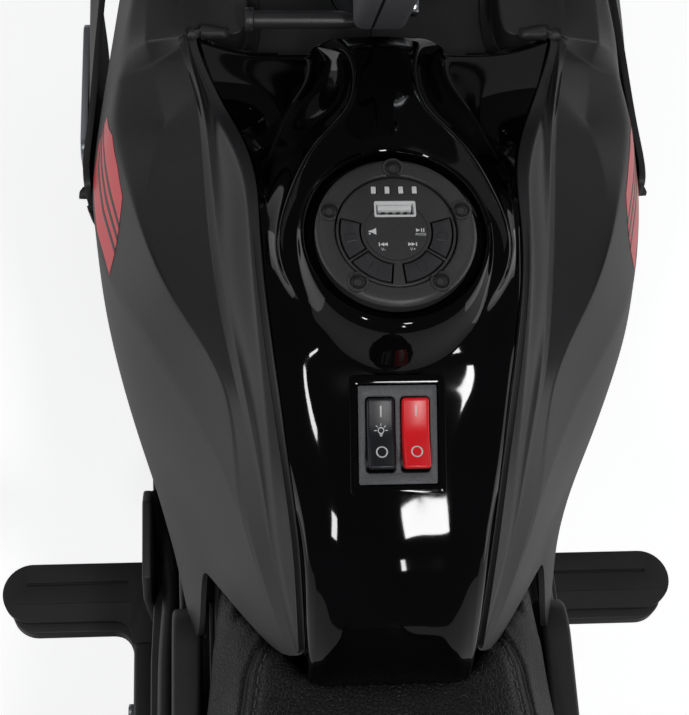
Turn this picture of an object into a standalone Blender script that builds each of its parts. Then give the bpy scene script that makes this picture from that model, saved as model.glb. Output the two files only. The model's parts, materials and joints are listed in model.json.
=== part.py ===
# Kids' ride-on motorcycle: moulded bodywork over a two-half chassis, a steered fork,
# a driven rear wheel with two training wheels, and a control panel on the tank.
# Metres. +X is the rider's right, +Y is forward, +Z is up, and the wheels stand on Z = 0.

import math

import bmesh
import bpy
from mathutils import Matrix, Vector

# Wheels and wheelbase
WHEEL_RADIUS = 0.130
FRONT_TYRE_WIDTH = 0.062
REAR_TYRE_WIDTH = 0.068
TYRE_DEPTH = 0.040
WHEEL_SIDES = 24
WHEEL_CLEARANCE = 0.215
REAR_AXLE_Y = -(WHEEL_RADIUS + WHEEL_CLEARANCE)
AXLE_RADIUS = 0.005
TRAINER_RADIUS = 0.056
TRAINER_WIDTH = 0.028
TRAINER_X = 0.205
TRAINER_SIDES = 16
TRAINER_BORE = 0.0045

# Steering
RAKE = math.radians(24.0)
COLUMN_Y = 0.213
COLUMN_Z = 0.520
FORK_OFFSET = 0.015
FORK_SPREAD = 0.056
FORK_LEG_RADIUS = 0.0165
FORK_SLIDER_RADIUS = 0.0195
COLUMN_RADIUS = 0.014
POST_RADIUS = 0.0062
CROWN_THICKNESS = 0.020
BAR_RADIUS = 0.011
BAR_HALF_WIDTH = 0.232
BAR_RISE = 0.105
GRIP_RADIUS = 0.0165
GRIP_LENGTH = 0.092

# Control panel on the tank
PANEL_Y = 0.1030
PANEL_Z = 0.5310
PANEL_TILT = math.radians(3.0)
RING_RADIUS = 0.0259
FACE_RADIUS = 0.0193
BUTTON_INNER_RADIUS = 0.0112
BUTTON_OUTER_RADIUS = 0.0184
BUTTON_TRAVEL = 0.0012
SCREW_CIRCLE = 0.0222
USB_Y = 0.0079
LAMP_Y = 0.0148
LAMP_PITCH = 0.0044
DISH_RADIUS = 0.0292
DISH_DEPTH = 0.0052

# Double rocker switch
SWITCH_Y = 0.0460
SWITCH_Z = 0.5000
SWITCH_TILT = math.radians(24.0)
BEZEL_WIDTH = 0.0254
BEZEL_LENGTH = 0.0317
BEZEL_THICKNESS = 0.0014
FRAME_BORDER = 0.0027
ROCKER_WIDTH = 0.0089
ROCKER_LENGTH = 0.0226
ROCKER_PITCH = 0.0112
ROCKER_THROW = math.radians(20.0)

# Walls and fits
SKIN = 0.0025
GAP = 0.0004
CHASSIS_HALF_WIDTH = 0.050
CHASSIS_WALL = 0.004
SPLIT = 0.0002

# Hip, foot and seat levels
SEAT_REAR_Y = -0.285
PEG_TOP = 0.235

TWO_PI = 2.0 * math.pi

for old in list(bpy.data.objects):
    bpy.data.objects.remove(old, do_unlink=True)

PARTS = bpy.data.collections.new("kids_ride_on_motorcycle")
CUTTERS = bpy.data.collections.new("cutters")
bpy.context.scene.collection.children.link(PARTS)
bpy.context.scene.collection.children.link(CUTTERS)


# Finishes
def finish(name, colour, roughness, metallic=0.0):
    material = bpy.data.materials.new(name)
    material.use_nodes = True
    shader = material.node_tree.nodes["Principled BSDF"]
    shader.inputs["Base Color"].default_value = (*colour, 1.0)
    shader.inputs["Roughness"].default_value = roughness
    shader.inputs["Metallic"].default_value = metallic
    return material


COLOURS = {
    "matte_black": ((0.028, 0.028, 0.030), 0.55, 0.0),
    "gloss_black": ((0.006, 0.006, 0.007), 0.06, 0.0),
    "panel_black": ((0.016, 0.016, 0.018), 0.42, 0.0),
    "button_black": ((0.022, 0.022, 0.024), 0.40, 0.0),
    "seat_black": ((0.018, 0.018, 0.019), 0.50, 0.0),
    "tyre_black": ((0.020, 0.020, 0.021), 0.75, 0.0),
    "rim_black": ((0.030, 0.030, 0.032), 0.38, 0.0),
    "steel": ((0.42, 0.43, 0.45), 0.32, 1.0),
    "silver": ((0.33, 0.34, 0.36), 0.30, 0.6),
    "white": ((0.80, 0.80, 0.80), 0.35, 0.0),
    "red": ((0.72, 0.015, 0.022), 0.30, 0.0),
    "clear": ((0.75, 0.78, 0.80), 0.08, 0.0),
    "case_grey": ((0.10, 0.10, 0.11), 0.50, 0.0),
}


# Building blocks
def link(obj, cutter=False):
    if cutter:
        CUTTERS.objects.link(obj)
        obj.hide_render = True
        obj.display_type = "WIRE"
    else:
        PARTS.objects.link(obj)
    return obj


def new_object(name, mesh, colour=None, parent=None, cutter=False):
    obj = link(bpy.data.objects.new(name, mesh), cutter)
    if colour:
        mesh.materials.append(finish(name + "_finish", *COLOURS[colour]))
    if parent:
        obj.parent = parent
    return obj


def mesh_of(build):
    """A mesh from what build does to an empty bmesh."""
    mesh = bpy.data.meshes.new("shape")
    shape = bmesh.new()
    build(shape)
    bmesh.ops.recalc_face_normals(shape, faces=shape.faces)
    shape.to_mesh(mesh)
    shape.free()
    return mesh


def smooth(mesh, angle=0.55):
    mesh.shade_smooth()
    mesh.set_sharp_from_angle(angle=angle)
    return mesh


def box(name, centre, size, colour=None, parent=None, bevel=0.0, cutter=False, turn=None):
    def build(shape):
        bmesh.ops.create_cube(shape, size=1.0)
        bmesh.ops.scale(shape, vec=Vector(size), verts=shape.verts)

    obj = new_object(name, mesh_of(build), colour, parent, cutter)
    obj.location = centre
    if turn:
        obj.rotation_euler = turn
    if bevel:
        add_bevel(obj, bevel)
    return obj


def add_bevel(obj, width, segments=1):
    bevel = obj.modifiers.new("rounded edges", "BEVEL")
    bevel.width = width
    bevel.segments = segments
    bevel.limit_method = "ANGLE"
    bevel.angle_limit = math.radians(35.0)
    return obj


def rod_between(name, start, end, radius, colour=None, parent=None, sides=16, cutter=False, end_radius=None):
    """A round bar from start to end; a second radius makes it a cone."""
    start = Vector(start)
    end = Vector(end)
    along = end - start

    def build(shape):
        bmesh.ops.create_cone(
            shape,
            cap_ends=True,
            segments=sides,
            radius1=radius,
            radius2=end_radius or radius,
            depth=along.length,
        )
        turn = Vector((0, 0, 1)).rotation_difference(along).to_matrix().to_4x4()
        bmesh.ops.transform(shape, matrix=turn, verts=shape.verts)

    mesh = smooth(mesh_of(build))
    obj = new_object(name, mesh, colour, parent, cutter)
    obj.location = (start + end) / 2
    return obj


def turned(name, profile, steps, colour=None, parent=None, closed=False, cutter=False):
    """A profile of (radius, height) pairs, outer side first and top to bottom, turned about local Z."""
    mesh = bpy.data.meshes.new(name)
    points = [(r, 0.0, h) for r, h in profile]
    edges = [(i, i + 1) for i in range(len(points) - 1)]
    if closed:
        edges.append((len(points) - 1, 0))
    mesh.from_pydata(points, edges, [])
    obj = new_object(name, mesh, colour, parent, cutter)
    screw = obj.modifiers.new("turned", "SCREW")
    screw.axis = "Z"
    screw.steps = steps
    screw.render_steps = steps
    screw.use_merge_vertices = True
    screw.merge_threshold = 0.00001
    screw.use_smooth_shade = True
    return obj


def lay_on_x(obj, location, sides):
    """Turns a piece's own Z to world X, with a flat of its circle facing down."""
    turn = Matrix.Rotation(math.pi / 2, 3, "Y") @ Matrix.Rotation(math.pi / sides, 3, "Z")
    obj.rotation_euler = turn.to_euler()
    obj.location = location
    return obj


def baked(obj, cutter=False):
    """A mesh copy of the evaluated object, in world space, which takes its place."""
    bpy.context.view_layer.update()
    graph = bpy.context.evaluated_depsgraph_get()
    mesh = bpy.data.meshes.new_from_object(obj.evaluated_get(graph))
    mesh.transform(obj.matrix_world)
    shape = bmesh.new()
    shape.from_mesh(mesh)
    bmesh.ops.remove_doubles(shape, verts=shape.verts, dist=0.00001)
    shape.to_mesh(mesh)
    shape.free()
    name = obj.name
    bpy.data.objects.remove(obj, do_unlink=True)
    return link(bpy.data.objects.new(name, mesh), cutter)


def bar(name, points, radius, colour=None, parent=None, cutter=False, resolution=2, pieces=3):
    """A round bar bent along points."""
    curve = bpy.data.curves.new(name, "CURVE")
    curve.dimensions = "3D"
    curve.bevel_depth = radius
    curve.bevel_resolution = resolution
    curve.use_fill_caps = True
    route = bend_through(points, pieces)
    spline = curve.splines.new("POLY")
    spline.points.add(len(route) - 1)
    for point, place in zip(spline.points, route):
        point.co = (*place, 1.0)
    obj = link(bpy.data.objects.new(name, curve), cutter)
    if parent:
        obj.parent = parent
    mesh_object = baked(obj, cutter)
    if colour:
        mesh_object.data.materials.append(finish(name + "_finish", *COLOURS[colour]))
    smooth(mesh_object.data)
    return mesh_object


def between(a, b, c, d, t):
    """Catmull-Rom blend from b to c."""
    return tuple(
        0.5 * (2 * q + (r - p) * t + (2 * p - 5 * q + 4 * r - s) * t * t + (3 * q - p - 3 * r + s) * t**3)
        for p, q, r, s in zip(a, b, c, d)
    )


def bend_through(points, pieces):
    """A smooth path through points, with so many pieces to a stretch."""
    points = [tuple(p) for p in points]
    ends = [points[0], *points, points[-1]]
    path = []
    for i in range(len(points) - 1):
        for k in range(pieces):
            path.append(between(*ends[i : i + 4], k / pieces))
    return [*path, points[-1]]


def rounded(points, radius, pieces=2):
    """A closed flat outline with its corners rounded by arcs."""
    outline = []
    for i, corner in enumerate(points):
        here = Vector(corner)
        back = Vector(points[i - 1]) - here
        ahead = Vector(points[(i + 1) % len(points)]) - here
        half = back.angle(ahead) / 2
        reach = min(radius / math.tan(half), 0.45 * back.length, 0.45 * ahead.length)
        start = here + back.normalized() * reach
        end = here + ahead.normalized() * reach
        for k in range(pieces + 1):
            t = k / pieces
            outline.append(tuple((1 - t) ** 2 * start + 2 * t * (1 - t) * here + t * t * end))
    return outline


def prism(name, outline, low, high, colour=None, parent=None, axis="X", cutter=False, bevel=0.0):
    """A flat outline given thickness from low to high along an axis: X takes (y, z) pairs, Z takes (x, y)."""

    def place(a, b, depth):
        return (depth, a, b) if axis == "X" else (a, b, depth)

    def build(shape):
        verts = [shape.verts.new(place(a, b, low)) for a, b in outline]
        face = shape.faces.new(verts)
        grown = bmesh.ops.extrude_face_region(shape, geom=[face])
        moved = [item for item in grown["geom"] if isinstance(item, bmesh.types.BMVert)]
        bmesh.ops.translate(shape, verts=moved, vec=Vector(place(0.0, 0.0, high - low)))

    obj = new_object(name, mesh_of(build), colour, parent, cutter)
    if bevel:
        add_bevel(obj, bevel)
    return obj


def boolean(obj, other, operation):
    """Cuts, joins or trims with another object, which is kept hidden among the cutters."""
    if other.name not in CUTTERS.objects:
        PARTS.objects.unlink(other)
        link(other, cutter=True)
    step = obj.modifiers.new(operation.lower(), "BOOLEAN")
    step.operation = operation
    step.solver = "EXACT"
    step.object = other
    return obj


def cut(obj, *others):
    for other in others:
        boolean(obj, other, "DIFFERENCE")
    return obj


def join(obj, *others):
    for other in others:
        boolean(obj, other, "UNION")
    return obj


def mirrored(obj, name, colour):
    """The same piece for the other side, as a separate object."""
    bpy.context.view_layer.update()
    graph = bpy.context.evaluated_depsgraph_get()
    mesh = bpy.data.meshes.new_from_object(obj.evaluated_get(graph))
    mesh.transform(Matrix.Diagonal((-1, 1, 1, 1)) @ obj.matrix_world)
    mesh.flip_normals()
    mesh.materials.clear()
    copy = new_object(name, mesh, colour)
    return copy


def settled(obj, colour):
    """Applies an object's modifiers and place to its mesh, so that it can be mirrored or cut again."""
    solid = baked(obj)
    solid.data.materials.clear()
    solid.data.materials.append(finish(solid.name + "_finish", *COLOURS[colour]))
    return solid


# Skins between moulded edges
def resample(rows, pieces_along, pieces_across):
    """A grid of points made finer both ways with smooth blends."""
    along = list(zip(*[bend_through(column, pieces_along) for column in zip(*rows)]))
    return [bend_through(row, pieces_across) for row in along]


def normals_of(rows):
    """Unit normals of a grid, from its neighbours."""
    result = []
    for i, row in enumerate(rows):
        line = []
        before = rows[max(i - 1, 0)]
        after = rows[min(i + 1, len(rows) - 1)]
        for j in range(len(row)):
            down = Vector(after[j]) - Vector(before[j])
            across = Vector(row[min(j + 1, len(row) - 1)]) - Vector(row[max(j - 1, 0)])
            line.append(down.cross(across).normalized())
        result.append(line)
    return result


def skin_between(name, outer, inner, colour):
    """A closed wall from two grids of the same size, joined along their borders."""
    tall = len(outer)
    wide = len(outer[0])

    def build(shape):
        front = [[shape.verts.new(p) for p in row] for row in outer]
        back = [[shape.verts.new(p) for p in row] for row in inner]
        for i in range(tall - 1):
            for j in range(wide - 1):
                shape.faces.new((front[i][j], front[i][j + 1], front[i + 1][j + 1], front[i + 1][j]))
                shape.faces.new((back[i][j], back[i + 1][j], back[i + 1][j + 1], back[i][j + 1]))
        border = [(0, j) for j in range(wide)]
        border += [(i, wide - 1) for i in range(1, tall)]
        border += [(tall - 1, j) for j in range(wide - 2, -1, -1)]
        border += [(i, 0) for i in range(tall - 2, 0, -1)]
        for k, (i, j) in enumerate(border):
            m, n = border[(k + 1) % len(border)]
            shape.faces.new((front[i][j], back[i][j], back[m][n], front[m][n]))

    return new_object(name, smooth(mesh_of(build), 0.35), colour)


# Tank: character lines of the right side panel, as (x, y, z) from the steering well back to the seat
SEAM = [
    (0.0460, 0.222, 0.5130),
    (0.0460, 0.1985, 0.5095),
    (0.0632, 0.1945, 0.5080),
    (0.0558, 0.1715, 0.5070),
    (0.0487, 0.1530, 0.5110),
    (0.0436, 0.1300, 0.5170),
    (0.0427, 0.1000, 0.5190),
    (0.0391, 0.0680, 0.5070),
    (0.0350, 0.0400, 0.4914),
    (0.0315, 0.0150, 0.4755),
    (0.0292, -0.0085, 0.4445),
]
RIM = [
    (0.0580, 0.222, 0.5090),
    (0.0580, 0.2000, 0.5085),
    (0.0655, 0.1930, 0.5078),
    (0.0592, 0.1710, 0.5060),
    (0.0536, 0.1525, 0.5120),
    (0.0478, 0.1300, 0.5170),
    (0.0464, 0.1000, 0.5165),
    (0.0433, 0.0680, 0.5045),
    (0.0403, 0.0400, 0.4870),
    (0.0370, 0.0150, 0.4670),
    (0.0303, -0.0090, 0.4400),
]
SHOULDER = [
    (0.0680, 0.222, 0.5095),
    (0.0690, 0.2010, 0.5075),
    (0.0680, 0.1905, 0.5080),
    (0.0632, 0.1715, 0.5085),
    (0.0609, 0.1540, 0.5050),
    (0.0590, 0.1300, 0.4990),
    (0.0558, 0.1000, 0.4955),
    (0.0505, 0.0685, 0.4945),
    (0.0445, 0.0400, 0.4815),
    (0.0395, 0.0150, 0.4615),
    (0.0316, -0.0088, 0.4374),
]
SCOOP_FLOOR = [
    (0.0740, 0.222, 0.5110),
    (0.0745, 0.2015, 0.5085),
    (0.0730, 0.1890, 0.5070),
    (0.0680, 0.1695, 0.5050),
    (0.0690, 0.1535, 0.4985),
    (0.0695, 0.1310, 0.4915),
    (0.0635, 0.1010, 0.4905),
    (0.0532, 0.0690, 0.4912),
    (0.0472, 0.0400, 0.4780),
    (0.0415, 0.0150, 0.4585),
    (0.0329, -0.0083, 0.4352),
]
SCOOP_EDGE = [
    (0.0790, 0.222, 0.5165),
    (0.0800, 0.2020, 0.5125),
    (0.0780, 0.1880, 0.5055),
    (0.0735, 0.1680, 0.5030),
    (0.0778, 0.1540, 0.4975),
    (0.0808, 0.1310, 0.4895),
    (0.0708, 0.1010, 0.4895),
    (0.0548, 0.0690, 0.4900),
    (0.0500, 0.0400, 0.4740),
    (0.0435, 0.0150, 0.4555),
    (0.0341, -0.0076, 0.4332),
]
HIP = [
    (0.0835, 0.223, 0.5120),
    (0.0880, 0.2025, 0.5030),
    (0.0915, 0.1900, 0.4930),
    (0.0933, 0.1730, 0.4885),
    (0.0915, 0.1570, 0.4882),
    (0.0840, 0.1300, 0.4878),
    (0.0722, 0.1000, 0.4885),
    (0.0562, 0.0690, 0.4888),
    (0.0518, 0.0400, 0.4718),
    (0.0446, 0.0155, 0.4530),
    (0.0352, -0.0068, 0.4315),
]
FLANK = [
    (0.0915, 0.226, 0.4880),
    (0.0960, 0.2060, 0.4750),
    (0.0990, 0.1930, 0.4660),
    (0.1015, 0.1750, 0.4610),
    (0.1018, 0.1550, 0.4590),
    (0.0970, 0.1290, 0.4610),
    (0.0848, 0.0990, 0.4740),
    (0.0675, 0.0700, 0.4725),
    (0.0540, 0.0410, 0.4680),
    (0.0458, 0.0165, 0.4505),
    (0.0363, -0.0060, 0.4298),
]
BELLY = [
    (0.0920, 0.229, 0.4560),
    (0.0970, 0.2080, 0.4460),
    (0.0995, 0.1930, 0.4390),
    (0.1015, 0.1740, 0.4360),
    (0.1015, 0.1530, 0.4370),
    (0.0988, 0.1270, 0.4400),
    (0.0910, 0.1000, 0.4480),
    (0.0770, 0.0730, 0.4450),
    (0.0640, 0.0480, 0.4400),
    (0.0535, 0.0240, 0.4320),
    (0.0436, 0.0032, 0.4212),
]
SILL = [
    (0.0900, 0.230, 0.4260),
    (0.0945, 0.2090, 0.4180),
    (0.0970, 0.1930, 0.4130),
    (0.0990, 0.1720, 0.4130),
    (0.0990, 0.1500, 0.4140),
    (0.0970, 0.1240, 0.4170),
    (0.0918, 0.0980, 0.4200),
    (0.0825, 0.0755, 0.4190),
    (0.0715, 0.0560, 0.4150),
    (0.0625, 0.0390, 0.4130),
    (0.0568, 0.0232, 0.4086),
]
HEEL = [
    (0.0880, 0.230, 0.4040),
    (0.0915, 0.2090, 0.4000),
    (0.0935, 0.1920, 0.3970),
    (0.0945, 0.1690, 0.3970),
    (0.0940, 0.1460, 0.3980),
    (0.0925, 0.1190, 0.3990),
    (0.0888, 0.0930, 0.3990),
    (0.0825, 0.0730, 0.3970),
    (0.0752, 0.0570, 0.3950),
    (0.0690, 0.0430, 0.3980),
    (0.0637, 0.0312, 0.4010),
]
HEM = [
    (0.0820, 0.228, 0.3860),
    (0.0860, 0.2070, 0.3820),
    (0.0880, 0.1900, 0.3790),
    (0.0895, 0.1660, 0.3795),
    (0.0890, 0.1430, 0.3800),
    (0.0875, 0.1150, 0.3800),
    (0.0845, 0.0880, 0.3790),
    (0.0795, 0.0660, 0.3780),
    (0.0745, 0.0470, 0.3770),
    (0.0705, 0.0280, 0.3790),
    (0.0660, 0.0130, 0.3840),
]
WELL_WALL_BOTTOM = 0.4973
SEAM_FLANGE = 0.006
FLANGE = [(x, y, min(z - SEAM_FLANGE, WELL_WALL_BOTTOM if y > 0.196 else z)) for x, y, z in SEAM]
SIDE_LINES = [FLANGE, SEAM, RIM, SHOULDER, SCOOP_FLOOR, SCOOP_EDGE, HIP, FLANK, BELLY, SILL, HEEL, HEM]


def tank_sides():
    """Both matt side panels: one skin through the character lines, and its mirror image."""
    outer = resample(list(zip(*SIDE_LINES)), 1, 1)
    inner = []
    for row, normals in zip(outer, normals_of(outer)):
        line = []
        for j, (point, normal) in enumerate(zip(row, normals)):
            inward = -normal
            if j == 0:
                inward = Vector((1.0, 0.0, 0.0))
            elif j == 1:
                inward = Vector((1.0, 0.0, -1.0))
            line.append(tuple(Vector(point) + inward * SKIN))
        inner.append(line)
    right = skin_between("tank_side_right", outer, inner, "matte_black")
    mirrored(right, "tank_side_left", "matte_black")


# Tank cover: half sections from the mid line out to the seam, front edge first
def cover_section(y, z, plateau, plateau_z, foot, foot_z, shoulder, shoulder_z, wing, edge):
    """Mid line, neck ridge, its foot, the shoulder line, the wing and the edge of one half section."""
    wing_x, wing_z = wing
    edge_x, edge_y, edge_z = edge
    side_y = 0.7 * y + 0.3 * edge_y
    return [
        (0.0, y, z),
        (0.5 * plateau, y, 0.5 * (z + plateau_z)),
        (plateau, y, plateau_z),
        (foot, y, foot_z),
        (shoulder, 0.85 * y + 0.15 * edge_y, shoulder_z),
        (wing_x, side_y, wing_z),
        (edge_x - 0.0002, edge_y, edge_z),
    ]


COVER = [
    cover_section(
        0.1845, 0.5225, 0.0150, 0.5215, 0.0220, 0.5165, 0.0290, 0.5105, (0.0455, 0.5050),
        (0.0624, 0.1938, 0.5078),
    ),
    cover_section(
        0.1760, 0.5270, 0.0122, 0.5268, 0.0170, 0.5200, 0.0250, 0.5132, (0.0410, 0.5075),
        (0.0572, 0.1765, 0.5062),
    ),
    cover_section(
        0.1650, 0.5290, 0.0106, 0.5290, 0.0155, 0.5205, 0.0270, 0.5138, (0.0400, 0.5085),
        (0.0527, 0.1655, 0.5080),
    ),
    cover_section(
        0.1510, 0.5298, 0.0133, 0.5292, 0.0200, 0.5210, 0.0340, 0.5148, (0.0412, 0.5118),
        (0.0476, 0.1515, 0.5110),
    ),
    cover_section(
        0.1380, 0.5298, 0.0235, 0.5290, 0.0295, 0.5220, 0.0392, 0.5162, (0.0415, 0.5152),
        (0.0440, 0.1380, 0.5145),
    ),
    cover_section(
        0.1200, 0.5290, 0.0315, 0.5285, 0.0355, 0.5240, 0.0405, 0.5190, (0.0417, 0.5187),
        (0.0429, 0.1200, 0.5186),
    ),
    cover_section(
        0.1050, 0.5280, 0.0355, 0.5270, 0.0378, 0.5238, 0.0402, 0.5205, (0.0413, 0.5200),
        (0.0423, 0.1050, 0.5192),
    ),
    cover_section(
        0.0900, 0.5260, 0.0330, 0.5235, 0.0358, 0.5205, 0.0385, 0.5182, (0.0400, 0.5173),
        (0.0414, 0.0900, 0.5163),
    ),
    cover_section(
        0.0760, 0.5205, 0.0225, 0.5185, 0.0290, 0.5150, 0.0345, 0.5135, (0.0375, 0.5118),
        (0.0398, 0.0760, 0.5102),
    ),
    cover_section(
        0.0665, 0.5100, 0.0230, 0.5105, 0.0290, 0.5102, 0.0335, 0.5090, (0.0362, 0.5077),
        (0.0385, 0.0670, 0.5062),
    ),
    cover_section(
        0.0460, 0.5000, 0.0190, 0.4996, 0.0250, 0.4988, 0.0300, 0.4976, (0.0332, 0.4962),
        (0.0354, 0.0455, 0.4944),
    ),
    cover_section(
        0.0270, 0.4915, 0.0180, 0.4909, 0.0235, 0.4899, 0.0280, 0.4884, (0.0308, 0.4868),
        (0.0327, 0.0265, 0.4845),
    ),
    cover_section(
        0.0100, 0.4825, 0.0170, 0.4816, 0.0225, 0.4802, 0.0268, 0.4780, (0.0292, 0.4755),
        (0.0305, 0.0100, 0.4715),
    ),
    cover_section(
        -0.0020, 0.4710, 0.0170, 0.4698, 0.0222, 0.4678, 0.0262, 0.4645, (0.0284, 0.4607),
        (0.0294, -0.0015, 0.4565),
    ),
    cover_section(
        -0.0125, 0.4560, 0.0168, 0.4550, 0.0218, 0.4530, 0.0256, 0.4497, (0.0276, 0.4462),
        (0.0286, -0.0085, 0.4425),
    ),
    cover_section(
        -0.0180, 0.4400, 0.0165, 0.4395, 0.0213, 0.4385, 0.0248, 0.4370, (0.0268, 0.4360),
        (0.0280, -0.0105, 0.4350),
    ),
    cover_section(
        -0.0188, 0.4270, 0.0165, 0.4272, 0.0213, 0.4280, 0.0248, 0.4290, (0.0268, 0.4298),
        (0.0280, -0.0112, 0.4305),
    ),
]


def tilted_frame(name, y, z, tilt):
    """An empty on the mid line whose Z is the surface normal of a panel tilted back towards the rider."""
    frame = bpy.data.objects.new(name, None)
    PARTS.objects.link(frame)
    frame.location = (0.0, y, z)
    frame.rotation_euler = (tilt, 0.0, 0.0)
    return frame


def tank_cover(panel_frame, switch_frame):
    """The gloss cover: a skin over both halves, with a dish for the player and a framed switch opening."""
    half = resample(COVER, 1, 1)
    outer = [[(-x, y, z) for x, y, z in reversed(row[1:])] + row for row in half]
    inner = []
    for row, normals in zip(outer, normals_of(outer)):
        line = []
        for j, (point, normal) in enumerate(zip(row, normals)):
            inward = -normal
            if j in (0, len(row) - 1):
                inward = Vector((-0.35 * math.copysign(1.0, point[0]), 0.0, -1.0)).normalized()
            line.append(tuple(Vector(point) + inward * SKIN))
        inner.append(line)
    cover = skin_between("tank_cover", outer, inner, "gloss_black")
    dish_floor = -DISH_DEPTH
    dish_under = dish_floor - SKIN
    cup = rod_between(
        "dish_wall", (0, 0, dish_under), (0, 0, -0.0035), DISH_RADIUS + SKIN, parent=panel_frame,
        sides=32, cutter=True
    )
    hollow = rod_between(
        "dish_hollow", (0, 0, dish_floor), (0, 0, 0.020), DISH_RADIUS, parent=panel_frame, sides=32,
        cutter=True
    )
    well = rod_between(
        "player_hole", (0, 0, -0.030), (0, 0, 0.010), FACE_RADIUS + 0.0018, parent=panel_frame, sides=20,
        cutter=True
    )
    border = box(
        "switch_border",
        (0, 0, -0.0020),
        (BEZEL_WIDTH + 2 * FRAME_BORDER, BEZEL_LENGTH + 2 * FRAME_BORDER + 0.0012, 0.0062),
        parent=switch_frame,
        cutter=True,
        bevel=0.0016,
    )
    opening = box(
        "switch_opening",
        (0, 0, 0),
        (BEZEL_WIDTH + 2 * GAP, BEZEL_LENGTH + 2 * GAP, 0.030),
        parent=switch_frame,
        cutter=True,
    )
    join(cover, cup, border)
    cut(cover, hollow, well, opening)
    return cover


# Player panel
def sector(
    name, inner_radius, outer_radius, start, end, low, high, colour=None, parent=None, cutter=False, edge=0.0
):
    """A ring sector between two angles in degrees, its straight sides drawn in by edge."""
    outline = []
    pieces = 6
    for radius, flip in ((outer_radius - edge, False), (inner_radius + edge, True)):
        first = math.radians(start) + edge / radius
        last = math.radians(end) - edge / radius
        for k in range(pieces + 1):
            t = 1 - k / pieces if flip else k / pieces
            angle = first + (last - first) * t
            outline.append((radius * math.cos(angle), radius * math.sin(angle)))
    return prism(name, outline, low, high, colour, parent, axis="Z", cutter=cutter)


BUTTONS = {
    "button_mode": (-33.0, 16.0),
    "button_next": (-84.0, -35.0),
    "button_previous": (-145.0, -96.0),
    "button_horn": (-196.0, -147.0),
}


def player_panel(frame):
    ring_low = -DISH_DEPTH + GAP
    ring = turned(
        "panel_ring",
        [
            (FACE_RADIUS + GAP, 0.0008),
            (FACE_RADIUS + 0.0030, 0.0008),
            (RING_RADIUS - 0.0018, 0.0004),
            (RING_RADIUS, -0.0010),
            (RING_RADIUS, ring_low),
            (FACE_RADIUS + GAP, ring_low),
        ],
        32,
        "panel_black",
        frame,
        closed=True,
    )
    for k in range(5):
        angle = math.radians(90 + 72 * k)
        x = SCREW_CIRCLE * math.cos(angle)
        y = SCREW_CIRCLE * math.sin(angle)
        boss = rod_between(
            f"screw_boss_{k}", (x, y, -0.003), (x, y, 0.0014), 0.0034, parent=frame, sides=8, cutter=True
        )
        seat = rod_between(
            f"screw_seat_{k}", (x, y, 0.0002), (x, y, 0.010), 0.0026, parent=frame, sides=6, cutter=True
        )
        join(ring, boss)
        cut(ring, seat)
    cut(
        ring,
        rod_between(
            "ring_hole", (0, 0, -0.010), (0, 0, 0.010), FACE_RADIUS + GAP, parent=frame, sides=32,
            cutter=True,
        ),
    )

    face = turned(
        "panel_face",
        [
            (0.0, 0.0), (FACE_RADIUS - 0.0004, 0.0), (FACE_RADIUS, -0.0004), (FACE_RADIUS, -0.0240),
            (0.0, -0.0240),
        ],
        32,
        "panel_black",
        frame,
    )
    for name, (start, end) in BUTTONS.items():
        pocket = sector(
            name + "_pocket", BUTTON_INNER_RADIUS, BUTTON_OUTER_RADIUS, start, end, -0.0045, 0.003,
            parent=frame, cutter=True
        )
        cut(face, pocket)
        sector(
            name,
            BUTTON_INNER_RADIUS,
            BUTTON_OUTER_RADIUS,
            start,
            end,
            -0.0045 + BUTTON_TRAVEL + GAP,
            0.0003,
            "button_black",
            frame,
            edge=0.00035,
        )
    usb_y = USB_Y
    cut(face, box("usb_cutout", (0, usb_y, -0.0045), (0.0136, 0.0058, 0.0120), parent=frame, cutter=True))
    lamp_places = [(LAMP_PITCH * (k - 1.5), LAMP_Y) for k in range(4)]
    for k, (x, y) in enumerate(lamp_places):
        cut(face, box(f"lamp_slot_{k}", (x, y, 0.0), (0.0021, 0.0030, 0.0040), parent=frame, cutter=True))
    bars_width = 3 * LAMP_PITCH + 0.0026
    guide_slot = box(
        "guide_slot", (0, LAMP_Y, -0.0030), (bars_width + 0.0008, 0.0038, 0.0026), parent=frame, cutter=True
    )
    cut(face, guide_slot)
    guide = box("led_bars", (0, LAMP_Y, -0.0031), (bars_width, 0.0030, 0.0016), "white", frame)
    for k, (x, y) in enumerate(lamp_places):
        join(
            guide,
            box(f"lamp_bar_{k}", (x, y, -0.0013), (0.0015, 0.0024, 0.0028), parent=frame, cutter=True),
        )
    shell = box("usb_socket", (0, usb_y, -0.0049), (0.0130, 0.0052, 0.0100), "steel", frame)
    cut(shell, box("usb_mouth", (0, usb_y, 0.0), (0.0120, 0.0042, 0.0160), parent=frame, cutter=True))
    join(
        shell,
        box("usb_tongue", (0, usb_y + 0.0008, -0.0052), (0.0110, 0.0016, 0.0088), parent=frame, cutter=True),
    )


# Double rocker switch
def rocker_outline():
    """Side view of a rocker about its pivot: two slopes over a round belly, at rest."""
    half = ROCKER_LENGTH / 2
    top = [(-half, 0.0052), (-0.4 * half, 0.0034), (0.0, 0.0028), (0.4 * half, 0.0034), (half, 0.0052)]
    belly = [(half, 0.0022), (0.55 * half, -0.0030), (0.0, -0.0048), (-0.55 * half, -0.0030), (-half, 0.0022)]
    turn = Matrix.Rotation(-ROCKER_THROW / 2, 2)
    return [tuple(turn @ Vector(p)) for p in top + belly]


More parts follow.
